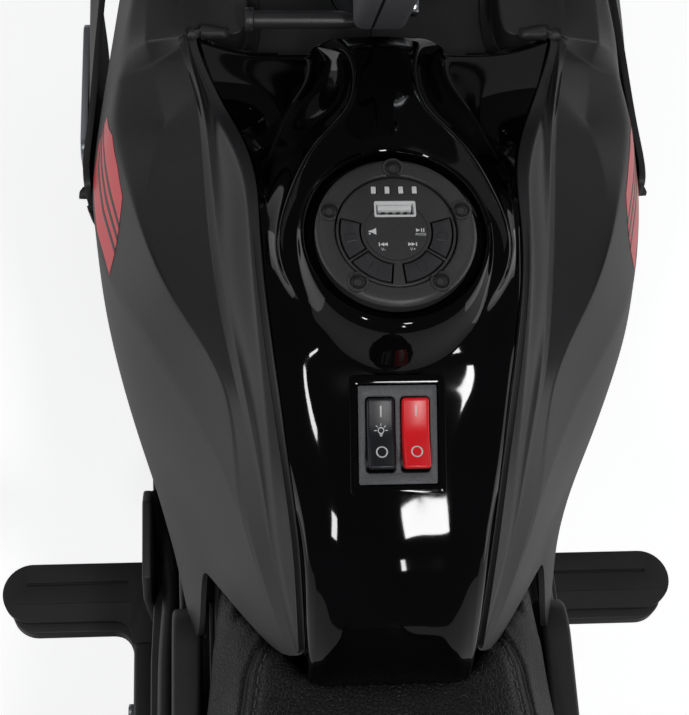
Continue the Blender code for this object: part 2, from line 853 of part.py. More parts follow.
def rocker_switch(frame):
    pivot_z = 0.0002
    case_depth = 0.0150
    bezel = box(
        "switch_bezel", (0, 0, 0.0004), (BEZEL_WIDTH, BEZEL_LENGTH, BEZEL_THICKNESS), "case_grey", frame,
        bevel=0.0004
    )
    case = box(
        "switch_case", (0, 0, -case_depth / 2), (BEZEL_WIDTH - 0.002, BEZEL_LENGTH - 0.003, case_depth),
        parent=frame, cutter=True
    )
    join(bezel, case)
    for name, side, colour in (("rocker_light", -1, "button_black"), ("rocker_power", 1, "red")):
        x = side * ROCKER_PITCH / 2
        cut(
            bezel,
            box(
                name + "_bay",
                (x, 0, 0),
                (ROCKER_WIDTH + 2 * GAP, ROCKER_LENGTH + 0.0020, 0.0160),
                parent=frame,
                cutter=True,
            ),
        )
        rocker = prism(
            name, rocker_outline(), -ROCKER_WIDTH / 2, ROCKER_WIDTH / 2, colour, frame, bevel=0.0005
        )
        rocker.location = (x, 0.0, pivot_z)


# Seat
SEAT_FRONT = [
    (0.0, -0.0203), (0.0160, -0.0200), (0.0240, -0.0185), (0.0295, -0.0140), (0.0330, -0.0108),
    (0.0372, -0.0075),
]
SEAT_FRONT += [(0.0442, 0.0012), (0.0560, 0.0195), (0.0612, 0.0275)]
SEAT_BOTTOM = 0.3967
SEAT_HALF_WIDTHS = [
    (0.030, 0.0620), (0.0, 0.0655), (-0.018, 0.0675), (-0.060, 0.0760), (-0.120, 0.0860), (-0.190, 0.0850)
]
SEAT_HALF_WIDTHS += [(-0.250, 0.0740), (SEAT_REAR_Y, 0.0600)]
SEAT_CROWN = [
    (0.030, 0.4360), (-0.020, 0.4325), (-0.060, 0.4280), (-0.120, 0.4250), (-0.180, 0.4270),
    (-0.230, 0.4370),
]
SEAT_CROWN += [(SEAT_REAR_Y, 0.4520)]
SEAT_DROP = 0.034
STITCH_LINE = 0.72
CHANNEL_DEPTH = 0.0012


def read_line(pairs, at):
    """Straight interpolation in a list of (place, value) pairs, whichever way it runs."""
    pairs = sorted(pairs)
    if at <= pairs[0][0]:
        return pairs[0][1]
    for (a, low), (b, high) in zip(pairs, pairs[1:]):
        if at <= b:
            return low + (high - low) * (at - a) / (b - a)
    return pairs[-1][1]


def seat_height(x, y, from_edge):
    share = min(abs(x) / read_line(SEAT_HALF_WIDTHS, y), 1.0)
    rise = read_line(SEAT_CROWN, y) - SEAT_DROP * share**3.6
    groove = CHANNEL_DEPTH * math.exp(-(((share - STITCH_LINE) / 0.035) ** 2))
    roll = 0.007 * max(0.0, 1.0 - from_edge / 0.010) ** 2
    return rise - groove - roll


def seat_cushion():
    """The padded seat: crowned, with a sewn channel down each side and horns that reach round the tank."""
    shares = [0.0, 0.24, 0.46, 0.64, 0.72, 0.80, 0.92, 1.0]
    across = [-s for s in reversed(shares[1:])] + shares
    steps = [0.0, 0.015, 0.05, 0.12, 0.24, 0.40, 0.56, 0.72, 0.86, 0.96, 1.0]
    reach = SEAT_FRONT[-1][0]
    top = []
    for t in steps:
        row = []
        for share in across:
            front_y = read_line(SEAT_FRONT, abs(share) * reach)
            y = front_y + (SEAT_REAR_Y - front_y) * t
            width = reach + (read_line(SEAT_HALF_WIDTHS, y) - reach) * min(1.0, t / 0.06)
            x = share * width
            from_edge = min(t, 1.0 - t) * abs(SEAT_REAR_Y)
            row.append((x, y, max(seat_height(x, y, from_edge), SEAT_BOTTOM + 0.002)))
        top.append(row)
    bottom = []
    for row in top:
        bottom.append([(0.985 * x, y, SEAT_BOTTOM) for x, y, z in row])
    skin_between("seat_cushion", top, bottom, "seat_black")


# Chassis halves
HEAD_TOP = 0.4970
MAIN_TOP = 0.3860
MAIN_BOTTOM = 0.1200
MAIN_OUTLINE = [
    (0.2434, 0.3534),
    (0.2220, 0.3350),
    (0.2050, 0.2000),
    (0.1750, MAIN_BOTTOM),
    (-0.1200, MAIN_BOTTOM),
    (-0.1650, 0.1500),
    (-0.1850, 0.2150),
    (-0.2000, 0.2850),
    (-0.2750, 0.3300),
    (-0.4200, 0.3700),
    (-0.4250, MAIN_TOP),
    (0.2280, MAIN_TOP),
]
MAIN_POCKET = [
    (0.2020, 0.3450),
    (0.1850, 0.2000),
    (0.1700, MAIN_BOTTOM + CHASSIS_WALL),
    (-0.1180, MAIN_BOTTOM + CHASSIS_WALL),
    (-0.1600, 0.1560),
    (-0.1800, 0.2200),
    (-0.1900, 0.2900),
    (-0.1900, MAIN_TOP - CHASSIS_WALL),
    (0.1950, MAIN_TOP - CHASSIS_WALL),
]
SPINE_HALF_WIDTH = 0.034
SPINE_OUTLINE = [
    (-0.0040, 0.3800),
    (-0.0040, 0.4220),
    (0.0160, 0.4500),
    (0.0340, 0.4690),
    (0.0660, 0.4740),
    (0.0780, 0.4928),
    (0.1300, 0.4928),
    (0.1500, HEAD_TOP),
    (0.2518, HEAD_TOP),
    (0.3037, 0.3803),
    (0.2434, 0.3534),
    (0.2200, 0.3600),
]


def steering_empty():
    frame = bpy.data.objects.new("steering_axis", None)
    PARTS.objects.link(frame)
    frame.location = (0.0, COLUMN_Y, COLUMN_Z)
    frame.rotation_euler = (RAKE, 0.0, 0.0)
    return frame


def chassis(steering):
    """Two moulded halves that meet on the mid plane, hollow for the battery and the control box."""
    right = prism(
        "chassis_right", rounded(MAIN_OUTLINE, 0.012, 1), SPLIT, CHASSIS_HALF_WIDTH, "matte_black",
        bevel=0.004,
    )
    spine = prism("spine_block", rounded(SPINE_OUTLINE, 0.004, 1), SPLIT, SPINE_HALF_WIDTH, cutter=True)
    shelf = box("well_shelf", (0.0285, 0.2110, 0.4870), (0.0565, 0.0300, 0.0200), cutter=True)
    pocket = prism(
        "inner_pocket", rounded(MAIN_POCKET, 0.010, 1), -0.010, CHASSIS_HALF_WIDTH - CHASSIS_WALL, cutter=True
    )
    bore = rod_between(
        "column_bore", (0, 0, -0.200), (0, 0, 0.030), COLUMN_RADIUS + 0.0005, parent=steering, sides=20,
        cutter=True
    )
    join(right, spine, shelf)
    cut(right, pocket, bore)
    for k, (y, z) in enumerate(((0.150, 0.300), (-0.100, 0.300), (0.120, 0.180), (-0.060, 0.180))):
        ends = (CHASSIS_HALF_WIDTH - 0.020, y, z), (CHASSIS_HALF_WIDTH + 0.010, y, z)
        cut(right, rod_between(f"cable_port_{k}", *ends, 0.004, sides=10, cutter=True))
    right = settled(right, "matte_black")
    mirrored(right, "chassis_left", "matte_black")


def seat_base():
    outline = [(-0.050, -0.006), (-0.056, -0.060), (-0.072, -0.120), (-0.072, -0.200), (-0.056, -0.272)]
    outline += [(-x, y) for x, y in reversed(outline)]
    prism(
        "seat_base", rounded(outline, 0.012), MAIN_TOP + 0.0004, SEAT_BOTTOM - 0.0004, "matte_black",
        axis="Z",
    )


# Parts carried inside the chassis
FLOOR = MAIN_BOTTOM + CHASSIS_WALL + 0.0003
MOTOR_Y = -0.1985
MOTOR_Z = 0.1830
MOTOR_RADIUS = 0.0170
ARM_IN = CHASSIS_HALF_WIDTH + 0.0120
ARM_OUT = ARM_IN + 0.0080
GEARBOX_INNER_X = REAR_TYRE_WIDTH / 2 + 0.0029
GEARBOX_OUTER_X = ARM_IN - GAP


def inner_parts():
    room = 2 * (CHASSIS_HALF_WIDTH - CHASSIS_WALL)
    battery = box(
        "battery", (0.0, -0.020, FLOOR + 0.047), (room - 0.006, 0.150, 0.094), "case_grey", bevel=0.003
    )
    join(battery, box("battery_terminals", (0.0, 0.030, FLOOR + 0.096), (0.050, 0.012, 0.008), cutter=True))
    control = box(
        "control_box", (0.0, 0.110, FLOOR + 0.017), (room - 0.022, 0.070, 0.034), "case_grey", bevel=0.002
    )
    join(control, box("control_plugs", (0.0, 0.110, FLOOR + 0.0365), (0.044, 0.020, 0.010), cutter=True))
    sound = turned(
        "speaker",
        [(0.0, 0.0), (0.0185, 0.0), (0.0185, -0.0025), (0.0120, -0.0085), (0.0100, -0.0128), (0.0, -0.0128)],
        24,
        "case_grey",
    )
    sound.location = (0.0, PANEL_Y + 0.0013, PANEL_Z - 0.0245)
    sound.rotation_euler = (PANEL_TILT, 0.0, 0.0)


def drive():
    """Motor and reduction gearbox beside the rear wheel."""
    outline = []
    for centre, radius, first, last in (
        ((REAR_AXLE_Y, WHEEL_RADIUS), 0.040, 100, 290),
        ((MOTOR_Y, MOTOR_Z), 0.0215, -70, 100),
    ):
        for k in range(11):
            angle = math.radians(first + (last - first) * k / 10)
            outline.append((centre[0] + radius * math.cos(angle), centre[1] + radius * math.sin(angle)))
    gearbox = prism("gearbox", outline, GEARBOX_INNER_X, GEARBOX_OUTER_X, "case_grey", bevel=0.002)
    cut(
        gearbox,
        rod_between(
            "gearbox_bore",
            (0.0, REAR_AXLE_Y, WHEEL_RADIUS),
            (0.080, REAR_AXLE_Y, WHEEL_RADIUS),
            AXLE_RADIUS + 0.0004,
            sides=16,
            cutter=True,
        ),
    )
    motor = rod_between(
        "motor", (-0.022, MOTOR_Y, MOTOR_Z), (GEARBOX_INNER_X - 0.0003, MOTOR_Y, MOTOR_Z), MOTOR_RADIUS,
        "steel", sides=24,
    )
    join(
        motor,
        rod_between(
            "motor_nose", (-0.027, MOTOR_Y, MOTOR_Z), (-0.020, MOTOR_Y, MOTOR_Z), 0.007, sides=16,
            cutter=True,
        ),
    )


# Wheels
def tyre(name, width, centre, colour="tyre_black"):
    """A moulded tyre with two tread grooves; one flat of its circle stands on the floor."""
    radius = WHEEL_RADIUS / math.cos(math.pi / WHEEL_SIDES)
    half = width / 2
    seat = radius - TYRE_DEPTH
    groove = radius - 0.004
    profile = [
        (seat, half * 0.80),
        (seat + 0.010, half),
        (radius - 0.014, half),
        (radius - 0.001, half * 0.62),
        (groove, half * 0.49),
        (radius, half * 0.40),
    ]
    loop = profile + [(r, -h) for r, h in reversed(profile)]
    ring = turned(name, loop, WHEEL_SIDES, colour, closed=True)
    return lay_on_x(ring, centre, WHEEL_SIDES)


def rim(name, width, centre, hub_half, colour="rim_black"):
    """A five-spoke moulded rim: a channel ring, spokes and a hub with a bore for the axle."""
    radius = WHEEL_RADIUS / math.cos(math.pi / WHEEL_SIDES) - TYRE_DEPTH - 0.0005
    half = width / 2 * 0.80
    ring = turned(
        name,
        [
            (radius, half),
            (radius, -half),
            (radius - 0.004, -half),
            (radius - 0.010, -half * 0.55),
            (radius - 0.010, half * 0.55),
            (radius - 0.004, half),
        ],
        WHEEL_SIDES,
        colour,
        closed=True,
    )
    lay_on_x(ring, centre, WHEEL_SIDES)
    hub = rod_between(
        name + "_hub", (-hub_half, centre[1], centre[2]), (hub_half, centre[1], centre[2]), 0.021,
        sides=12, cutter=True
    )
    join(ring, hub)
    for k in range(5):
        angle = TWO_PI * k / 5 + math.pi / 2
        middle = (radius + 0.014) / 2
        spoke = box(
            f"{name}_spoke_{k}",
            (0.0, centre[1] + middle * math.cos(angle), centre[2] + middle * math.sin(angle)),
            (width * 0.36, radius - 0.020, 0.020),
            cutter=True,
            turn=(angle, 0.0, 0.0),
        )
        join(ring, spoke)
    bore = rod_between(
        name + "_bore",
        (-0.06, centre[1], centre[2]),
        (0.06, centre[1], centre[2]),
        AXLE_RADIUS + 0.0004,
        sides=16,
        cutter=True,
    )
    cut(ring, bore)
    return ring


def axle_with_nuts(name, y, z, half, rings):
    """An axle along X with its nuts and shoulders."""
    rod = rod_between(name, (-half, y, z), (half, y, z), AXLE_RADIUS, "steel", sides=12)
    for k, (low, high, radius, sides) in enumerate(rings):
        join(
            rod,
            rod_between(f"{name}_ring_{k}", (low, y, z), (high, y, z), radius, sides=sides, cutter=True),
        )
    return rod


def rear_end():
    centre = (0.0, REAR_AXLE_Y, WHEEL_RADIUS)
    tyre("rear_tyre", REAR_TYRE_WIDTH, centre)
    rim("rear_rim", REAR_TYRE_WIDTH, centre, 0.0365)
    outline = [(-0.105, 0.205), (-0.150, 0.240), (-0.230, 0.190), (REAR_AXLE_Y - 0.020, WHEEL_RADIUS + 0.018)]
    outline += [(REAR_AXLE_Y - 0.020, WHEEL_RADIUS - 0.018), (REAR_AXLE_Y + 0.045, WHEEL_RADIUS - 0.022)]
    outline += [(-0.200, 0.130), (-0.110, 0.165)]
    arm = prism("swingarm_right", rounded(outline, 0.014), ARM_IN, ARM_OUT, "matte_black", bevel=0.0015)
    pad_outline = rounded([(-0.112, 0.200), (-0.150, 0.228), (-0.158, 0.180), (-0.118, 0.170)], 0.006)
    join(arm, prism("arm_pad", pad_outline, CHASSIS_HALF_WIDTH + GAP, ARM_IN + 0.001, cutter=True))
    hole_ends = (ARM_IN - 0.010, REAR_AXLE_Y, WHEEL_RADIUS), (ARM_OUT + 0.010, REAR_AXLE_Y, WHEEL_RADIUS)
    hole = rod_between("arm_hole", *hole_ends, AXLE_RADIUS + GAP, cutter=True)
    cut(arm, hole)
    arm = settled(arm, "matte_black")
    mirrored(arm, "swingarm_left", "matte_black")
    plate_in = ARM_OUT + 0.0005
    plate_out = plate_in + 0.0035
    axle_with_nuts(
        "rear_axle",
        REAR_AXLE_Y,
        WHEEL_RADIUS,
        plate_out + 0.010,
        [
            (plate_out + 0.0004, plate_out + 0.0070, 0.0085, 6),
            (-plate_out - 0.0070, -plate_out - 0.0004, 0.0085, 6),
            (-ARM_IN + GAP, -REAR_TYRE_WIDTH / 2 - 0.0030, 0.0100, 8),
        ],
    )
    trainers(plate_in, plate_out)


def trainers(plate_in, plate_out):
    """Training wheels on bent arms bolted to the rear axle."""
    apothem = TRAINER_RADIUS
    top = WHEEL_RADIUS + 0.016
    outline = [(REAR_AXLE_Y + 0.016, top), (REAR_AXLE_Y - 0.016, top), (REAR_AXLE_Y - 0.030, apothem + 0.020)]
    outline += [(REAR_AXLE_Y - 0.004, apothem + 0.016)]
    wheel_in = TRAINER_X - TRAINER_WIDTH / 2
    wheel_out = TRAINER_X + TRAINER_WIDTH / 2
    stub_y = REAR_AXLE_Y - 0.016
    arm = prism("trainer_arm_right", rounded(outline, 0.008, 1), plate_in, plate_out, "steel")
    tube = bar(
        "trainer_tube",
        [
            (plate_in + 0.0015, stub_y, apothem + 0.036),
            (plate_in + 0.0295, stub_y, apothem + 0.034),
            (wheel_in - 0.041, stub_y, apothem + 0.014),
            (wheel_in - 0.012, stub_y, apothem),
        ],
        0.0075,
        cutter=True,
        resolution=1,
        pieces=2,
    )
    shoulder = rod_between(
        "trainer_shoulder", (wheel_in - 0.018, stub_y, apothem), (wheel_in - 0.0005, stub_y, apothem),
        0.0085, cutter=True
    )
    stub = rod_between(
        "trainer_stub", (wheel_in - 0.004, stub_y, apothem), (wheel_out + 0.004, stub_y, apothem),
        TRAINER_BORE - 0.0004, cutter=True
    )
    cap = rod_between(
        "trainer_cap", (wheel_out + 0.0005, stub_y, apothem), (wheel_out + 0.0060, stub_y, apothem),
        0.0095, cutter=True
    )
    join(arm, tube, shoulder, stub, cap)
    hole_ends = (plate_in - 0.010, REAR_AXLE_Y, WHEEL_RADIUS), (plate_out + 0.010, REAR_AXLE_Y, WHEEL_RADIUS)
    cut(arm, rod_between("trainer_hole", *hole_ends, AXLE_RADIUS + GAP, cutter=True))
    arm = settled(arm, "steel")
    mirrored(arm, "trainer_arm_left", "steel")
    outer = TRAINER_RADIUS / math.cos(math.pi / TRAINER_SIDES)
    half = TRAINER_WIDTH / 2
    profile = [
        (TRAINER_BORE, half),
        (0.016, half),
        (0.020, half * 0.45),
        (outer * 0.72, half * 0.45),
        (outer * 0.80, half * 0.96),
        (outer, half * 0.70),
    ]
    profile += [(r, -h) for r, h in reversed(profile)]
    for name, side in (("trainer_wheel_right", 1), ("trainer_wheel_left", -1)):
        wheel = turned(name, profile, TRAINER_SIDES, "tyre_black", closed=True)
        lay_on_x(wheel, (side * TRAINER_X, stub_y, apothem), TRAINER_SIDES)


# Steering, front wheel and bars: local Z runs up the column, local Y is forward
AXLE_DROP = (COLUMN_Z - WHEEL_RADIUS + FORK_OFFSET * math.sin(RAKE)) / math.cos(RAKE)
FRONT_AXLE_Y = COLUMN_Y + FORK_OFFSET * math.cos(RAKE) + AXLE_DROP * math.sin(RAKE)
TAIL_TIP_Y = -(FRONT_AXLE_Y + WHEEL_RADIUS)
TYRE_TOP = WHEEL_RADIUS - AXLE_DROP
CROWN_TOP = -0.165
BAR_HEIGHT = 0.052
CLAMP_BOTTOM = 0.0175
CLAMP_TOP = 0.0700
GRIP_START = Vector((0.128, -0.006, BAR_RISE))
GRIP_END = Vector((BAR_HALF_WIDTH + 0.004, -0.024, BAR_RISE))
STEERED = Matrix.Translation((0.0, COLUMN_Y, COLUMN_Z)) @ Matrix.Rotation(RAKE, 4, "X")


def steered(rows):
    """Points of the steering frame in world space."""
    return [[tuple(STEERED @ Vector(p)) for p in row] for row in rows]


def loft(name, rings, colour=None, cutter=False, angle=0.5):
    """A solid through rings of points, capped at both ends."""

    def build(shape):
        made = [[shape.verts.new(p) for p in ring] for ring in rings]
        count = len(rings[0])
        for a, b in zip(made, made[1:]):
            for k in range(count):
                m = (k + 1) % count
                shape.faces.new((a[k], a[m], b[m], b[k]))
        shape.faces.new(made[0])
        shape.faces.new(made[-1])

    return new_object(name, smooth(mesh_of(build), angle), colour, cutter=cutter)


def steering_column(frame):
    crown_bottom = CROWN_TOP - CROWN_THICKNESS
    column = rod_between(
        "steering_column", (0, 0, crown_bottom + 0.002), (0, 0, 0.0120), COLUMN_RADIUS, "steel", frame
    )
    post = rod_between(
        "column_post", (0, 0, 0.0), (0, 0, BAR_HEIGHT - 0.014), POST_RADIUS, parent=frame, sides=16,
        cutter=True,
    )
    half_plan = [(0.024, -0.018), (0.072, 0.002), (0.077, 0.020), (0.050, 0.036)]
    plan = [(-x, y) for x, y in half_plan] + [(x, y) for x, y in reversed(half_plan)]
    crown = prism(
        "crown_plate", rounded(plan, 0.008), crown_bottom, CROWN_TOP, parent=frame, axis="Z", cutter=True
    )
    stem = box("lamp_bracket", (0, 0.0275, 0.0060), (0.022, 0.0350, 0.006), parent=frame, cutter=True)
    flange = box("lamp_flange", (0, 0.0446, 0.0060), (0.040, 0.0040, 0.040), parent=frame, cutter=True)
    join(column, post, crown, stem, flange)
    for side in (-1, 1):
        x = side * FORK_SPREAD
        hole = rod_between(
            f"leg_hole_{side}", (x, FORK_OFFSET, -0.20), (x, FORK_OFFSET, -0.15), 0.0123, parent=frame,
            sides=24, cutter=True
        )
        cut(column, hole)
    return column


def bar_clamp(frame):
    """A pinch clamp on the column top, slit on the mid plane at the rear, that carries the bar."""
    low = -0.0085
    high = 0.0145
    clamp = box(
        "bar_clamp",
        ((low + high) / 2, -0.0010, (CLAMP_BOTTOM + CLAMP_TOP) / 2),
        (high - low, 0.0460, CLAMP_TOP - CLAMP_BOTTOM),
        "case_grey",
        frame,
        bevel=0.0022,
    )
    column_hole = rod_between(
        "clamp_column_hole", (0, 0, 0.0), (0, 0, BAR_HEIGHT - 0.0136), POST_RADIUS + 0.0004, parent=frame,
        sides=24, cutter=True
    )
    bar_hole = rod_between(
        "clamp_bar_hole", (-0.03, 0, BAR_HEIGHT), (0.03, 0, BAR_HEIGHT), BAR_RADIUS + 0.0004,
        parent=frame, sides=24, cutter=True
    )
    slit = box("clamp_slit", (0, -0.0200, 0.0300), (0.0010, 0.0200, 0.0700), parent=frame, cutter=True)
    cut(clamp, column_hole, bar_hole, slit)
    return clamp


def fork(frame):
    x = FORK_SPREAD
    y = FORK_OFFSET
    bottom = -AXLE_DROP
    crown_bottom = CROWN_TOP - CROWN_THICKNESS
    slider_top = TYRE_TOP + 0.0236
    leg = rod_between(
        "fork_right", (x, y, bottom + 0.010), (x, y, slider_top), FORK_SLIDER_RADIUS, "rim_black", frame, 16
    )
    upper_ends = (x, y, slider_top - 0.010), (x, y, crown_bottom - GAP)
    upper = rod_between("fork_upper", *upper_ends, FORK_LEG_RADIUS, parent=frame, sides=16, cutter=True)
    spigot = rod_between(
        "fork_spigot", (x, y, crown_bottom - 0.010), (x, y, CROWN_TOP + 0.001), 0.0119, parent=frame,
        sides=16, cutter=True
    )
    foot = rod_between(
        "fork_foot", (0.0402, y, bottom), (0.0698, y, bottom), 0.0185, parent=frame, sides=16, cutter=True
    )
    lug = box(
        "mudguard_lug", (0.0450, y, TYRE_TOP - 0.0144), (0.0170, 0.024, 0.022), parent=frame, cutter=True
    )
    hole = rod_between(
        "fork_axle_hole", (0.03, y, bottom), (0.08, y, bottom), AXLE_RADIUS + 0.0004, parent=frame,
        cutter=True,
    )
    join(leg, upper, spigot, foot, lug)
    cut(leg, hole)
    leg = settled(leg, "rim_black")
    mirrored(leg, "fork_left", "rim_black")


def front_wheel():
    centre = (0.0, FRONT_AXLE_Y, WHEEL_RADIUS)
    tyre("front_tyre", FRONT_TYRE_WIDTH, centre)
    rim("front_rim", FRONT_TYRE_WIDTH, centre, 0.0331)
    axle_with_nuts(
        "front_axle",
        FRONT_AXLE_Y,
        WHEEL_RADIUS,
        0.080,
        [
            (0.0702, 0.0765, 0.0085, 6),
            (-0.0765, -0.0702, 0.0085, 6),
            (0.0335, 0.0399, 0.0090, 8),
            (-0.0399, -0.0335, 0.0090, 8),
        ],
    )


def front_mudguard():
    """A moulded arch over the tyre, with a tab each side bolted to the fork."""
    half = 0.0350
    arch = WHEEL_RADIUS + 0.0090
    outer = []
    inner = []
    for k in range(10):
        angle = math.radians(12 + 132 * k / 9)
        row = []
        under = []
        for j in range(7):
            x = half * (1 - j / 3)
            fall = 0.012 * abs(x / half) ** 3
            for line, radius in ((row, arch - fall), (under, arch - fall - 0.0025)):
                line.append(
                    (x, FORK_OFFSET + radius * math.cos(angle), -AXLE_DROP + radius * math.sin(angle))
                )
        outer.append(row)
        inner.append(under)
    guard = skin_between("front_mudguard", steered(outer), steered(inner), "matte_black")
    for side in (-1, 1):
        tab = box(
            f"mudguard_tab_{side}",
            (side * 0.0349, FORK_OFFSET, TYRE_TOP - 0.0109),
            (0.0022, 0.030, 0.0330),
            cutter=True,
        )
        tab.matrix_world = STEERED @ tab.matrix_basis
        join(guard, tab)
    return guard


def handlebar(frame):
    half = [
        (0.0, 0.0, BAR_HEIGHT), (0.022, 0.0, BAR_HEIGHT), (0.042, 0.0, BAR_HEIGHT + 0.001),
        (0.062, 0.0, BAR_HEIGHT + 0.012),
    ]
    half += [(0.092, -0.001, BAR_RISE - 0.010), (0.112, -0.0035, BAR_RISE), tuple(GRIP_START)]
    half += [tuple(GRIP_START.lerp(GRIP_END, 0.45)), tuple(GRIP_START.lerp(GRIP_END, 0.95))]
    path = [(-x, y, z) for x, y, z in reversed(half[1:])] + half
    bar("handlebar", path, BAR_RADIUS, "steel", parent=frame, resolution=2, pieces=2)
    along = (GRIP_END - GRIP_START).normalized()
    length = (GRIP_END - GRIP_START).length
    ridge = GRIP_RADIUS
    dip = GRIP_RADIUS - 0.0012
    bore = BAR_RADIUS + 0.0005
    low = length - GRIP_LENGTH
    profile = [
        (0.0, length), (ridge - 0.001, length), (ridge + 0.003, length - 0.002),
        (ridge + 0.003, length - 0.006),
    ]
    for k in range(3):
        top = length - 0.014 - 0.023 * k
        profile += [(dip, top), (ridge, top - 0.010)]
    profile += [
        (ridge + 0.003, low + 0.004), (ridge + 0.003, low), (bore, low), (bore, length - 0.005),
        (0.0, length - 0.005),
    ]
    for name, side in (("grip_left", -1), ("throttle_grip", 1)):
        sleeve = turned(name, profile, 14, "tyre_black", frame)
        direction = Vector((side * along.x, along.y, along.z))
        sleeve.location = (side * GRIP_START.x, GRIP_START.y, GRIP_START.z)
        sleeve.rotation_euler = Vector((0, 0, 1)).rotation_difference(direction).to_euler()
    housing = turned(
        "throttle_housing",
        [
            (0.018, low - 0.0005), (0.0205, low - 0.002), (0.0205, low - 0.012), (0.018, low - 0.014),
            (bore, low - 0.014), (bore, low - 0.0005),
        ],
        20,
        "case_grey",
        frame,
        closed=True,
    )
    housing.location = tuple(GRIP_START)
    housing.rotation_euler = Vector((0, 0, 1)).rotation_difference(along).to_euler()
    return along


def headlight(frame):
    """Cowl on the steering column with a round lamp in its face."""
    stations = [
        (0.0470, 0.046, -0.036, 0.040), (0.0560, 0.058, -0.046, 0.050), (0.0760, 0.064, -0.050, 0.056)
    ]
    stations += [(0.0960, 0.058, -0.046, 0.050), (0.1040, 0.050, -0.040, 0.044)]
    rings = []
    for y, half, low, high in stations:
        middle = (low + high) / 2
        reach = (high - low) / 2
        ring = []
        for k in range(16):
            angle = TWO_PI * k / 16
            c = math.cos(angle)
            s = math.sin(angle)
            ring.append(
                (
                    half * math.copysign(abs(c) ** 0.75, c),
                    y + 0.010 * (s if y > 0.07 else 0.0),
                    middle + reach * math.copysign(abs(s) ** 0.75, s),
                )
            )
        rings.append(ring)
    cowl = loft("headlight_cowl", steered(rings), "gloss_black")
    pod = rod_between(
        "lamp_bore", (0, 0.070, 0.002), (0, 0.130, 0.002), 0.0385, parent=frame, sides=24, cutter=True
    )
    cavity = rod_between(
        "lamp_cavity", (0, 0.0500, 0.002), (0, 0.0720, 0.002), 0.0300, parent=frame, sides=24, cutter=True
    )
    cut(cowl, pod, cavity)
    lens = turned(
        "headlight_lens",
        [
            (0.0, 0.0370), (0.014, 0.0360), (0.026, 0.0325), (0.035, 0.0265), (0.0380, 0.0220),
            (0.0380, 0.0004), (0.0, 0.0004),
        ],
        24,
        "clear",
        frame,
    )
    lens.location = (0.0, 0.0700, 0.002)
    lens.rotation_euler = (-math.pi / 2, 0.0, 0.0)


# Bodywork beside and behind the tank
SHROUD_STATIONS = [
    # y, then outer x and z of the top edge, outer x below it, bottom z
    (0.2620, 0.0990, 0.4740, 0.1045, 0.3760),
    (0.2370, 0.1005, 0.4715, 0.1046, 0.3640),
    (0.2130, 0.1025, 0.4670, 0.1046, 0.3660),
    (0.1900, 0.1044, 0.4625, 0.1048, 0.3820),
    (0.1740, 0.1060, 0.4600, 0.1056, 0.4080),
    (0.1640, 0.1054, 0.4590, 0.1056, 0.4380),
]
SHROUD_THICKNESS = 0.0026


def shrouds():
    """Side wings of the tank with a thin fin edge, and their mirror images."""
    outer = []
    inner = []
    for y, top_x, top_z, x, bottom_z in SHROUD_STATIONS:
        heights = [top_z, top_z - 0.010, 0.5 * (top_z + bottom_z), bottom_z + 0.006, bottom_z]
        places = [top_x, x, x, x, x - 0.001]
        outer.append([(px, y, pz) for px, pz in zip(places, heights)])
        inner.append([(px - SHROUD_THICKNESS, y, pz) for px, pz in zip(places, heights)])
    shell = skin_between("shroud_right", resample(outer, 2, 1), resample(inner, 2, 1), "matte_black")
    tab = box("shroud_tab", (0.1005, 0.2200, 0.4200), (0.0040, 0.0120, 0.0120), cutter=True)
    join(shell, tab)
    shell = settled(shell, "matte_black")
    mirrored(shell, "shroud_left", "matte_black")
    outline = rounded(
        [
            (0.2600, 0.432), (0.2600, 0.386), (0.2400, 0.370), (0.2120, 0.372), (0.1960, 0.392),
            (0.1960, 0.432),
        ],
        0.008,
    )
    plates = prism("radiator_right", outline, 0.1052, 0.1100, "silver", bevel=0.0015)
    for k in range(3):
        groove = box(
            f"radiator_groove_{k}", (0.1100, 0.2290, 0.390 + 0.014 * k), (0.003, 0.052, 0.004), cutter=True
        )
        cut(plates, groove)
    plates = settled(plates, "silver")
    mirrored(plates, "radiator_left", "silver")


COVER_FACE = CHASSIS_HALF_WIDTH + 0.0100
ENGINE_FACE = COVER_FACE + 0.0152


def engine_covers():
    """Dummy engine sides: a backing plate with crankcase drums, fins and two footrest pads."""
    plan = [
        (0.160, 0.160), (0.165, 0.250), (0.150, 0.335), (0.010, 0.335), (-0.060, 0.270), (-0.095, 0.245),
        (-0.095, 0.165),
    ]
    plan += [(-0.060, 0.140), (0.120, 0.140)]
    back = CHASSIS_HALF_WIDTH + GAP
    cover = prism("engine_cover_right", rounded(plan, 0.016, 1), back, COVER_FACE, "rim_black", bevel=0.002)
    drums = (
        (-0.016, 0.196, 0.042, COVER_FACE + 0.0200),
        (0.062, 0.196, 0.040, COVER_FACE + 0.0140),
        (0.075, 0.222, 0.022, ENGINE_FACE),
        (-0.072, 0.222, 0.018, ENGINE_FACE),
        (0.100, 0.165, 0.018, ENGINE_FACE),
    )
    for k, (y, z, radius, face) in enumerate(drums):
        sides = 18 if radius > 0.03 else 10
        join(
            cover,
            rod_between(
                f"engine_drum_{k}", (COVER_FACE - 0.005, y, z), (face, y, z), radius, sides=sides,
                cutter=True,
            ),
        )
    for k in range(5):
        size = (0.0160, 0.100 - 0.004 * k, 0.0060)
        fin = box(f"engine_fin_{k}", (COVER_FACE + 0.0060, 0.090, 0.262 + 0.0135 * k), size, cutter=True)
        join(cover, fin)
    port_ends = (COVER_FACE + 0.0170, -0.016, 0.196), (COVER_FACE + 0.0250, -0.016, 0.196)
    cut(cover, rod_between("engine_port", *port_ends, 0.028, sides=18, cutter=True))
    cover = settled(cover, "rim_black")
    mirrored(cover, "engine_cover_left", "rim_black")


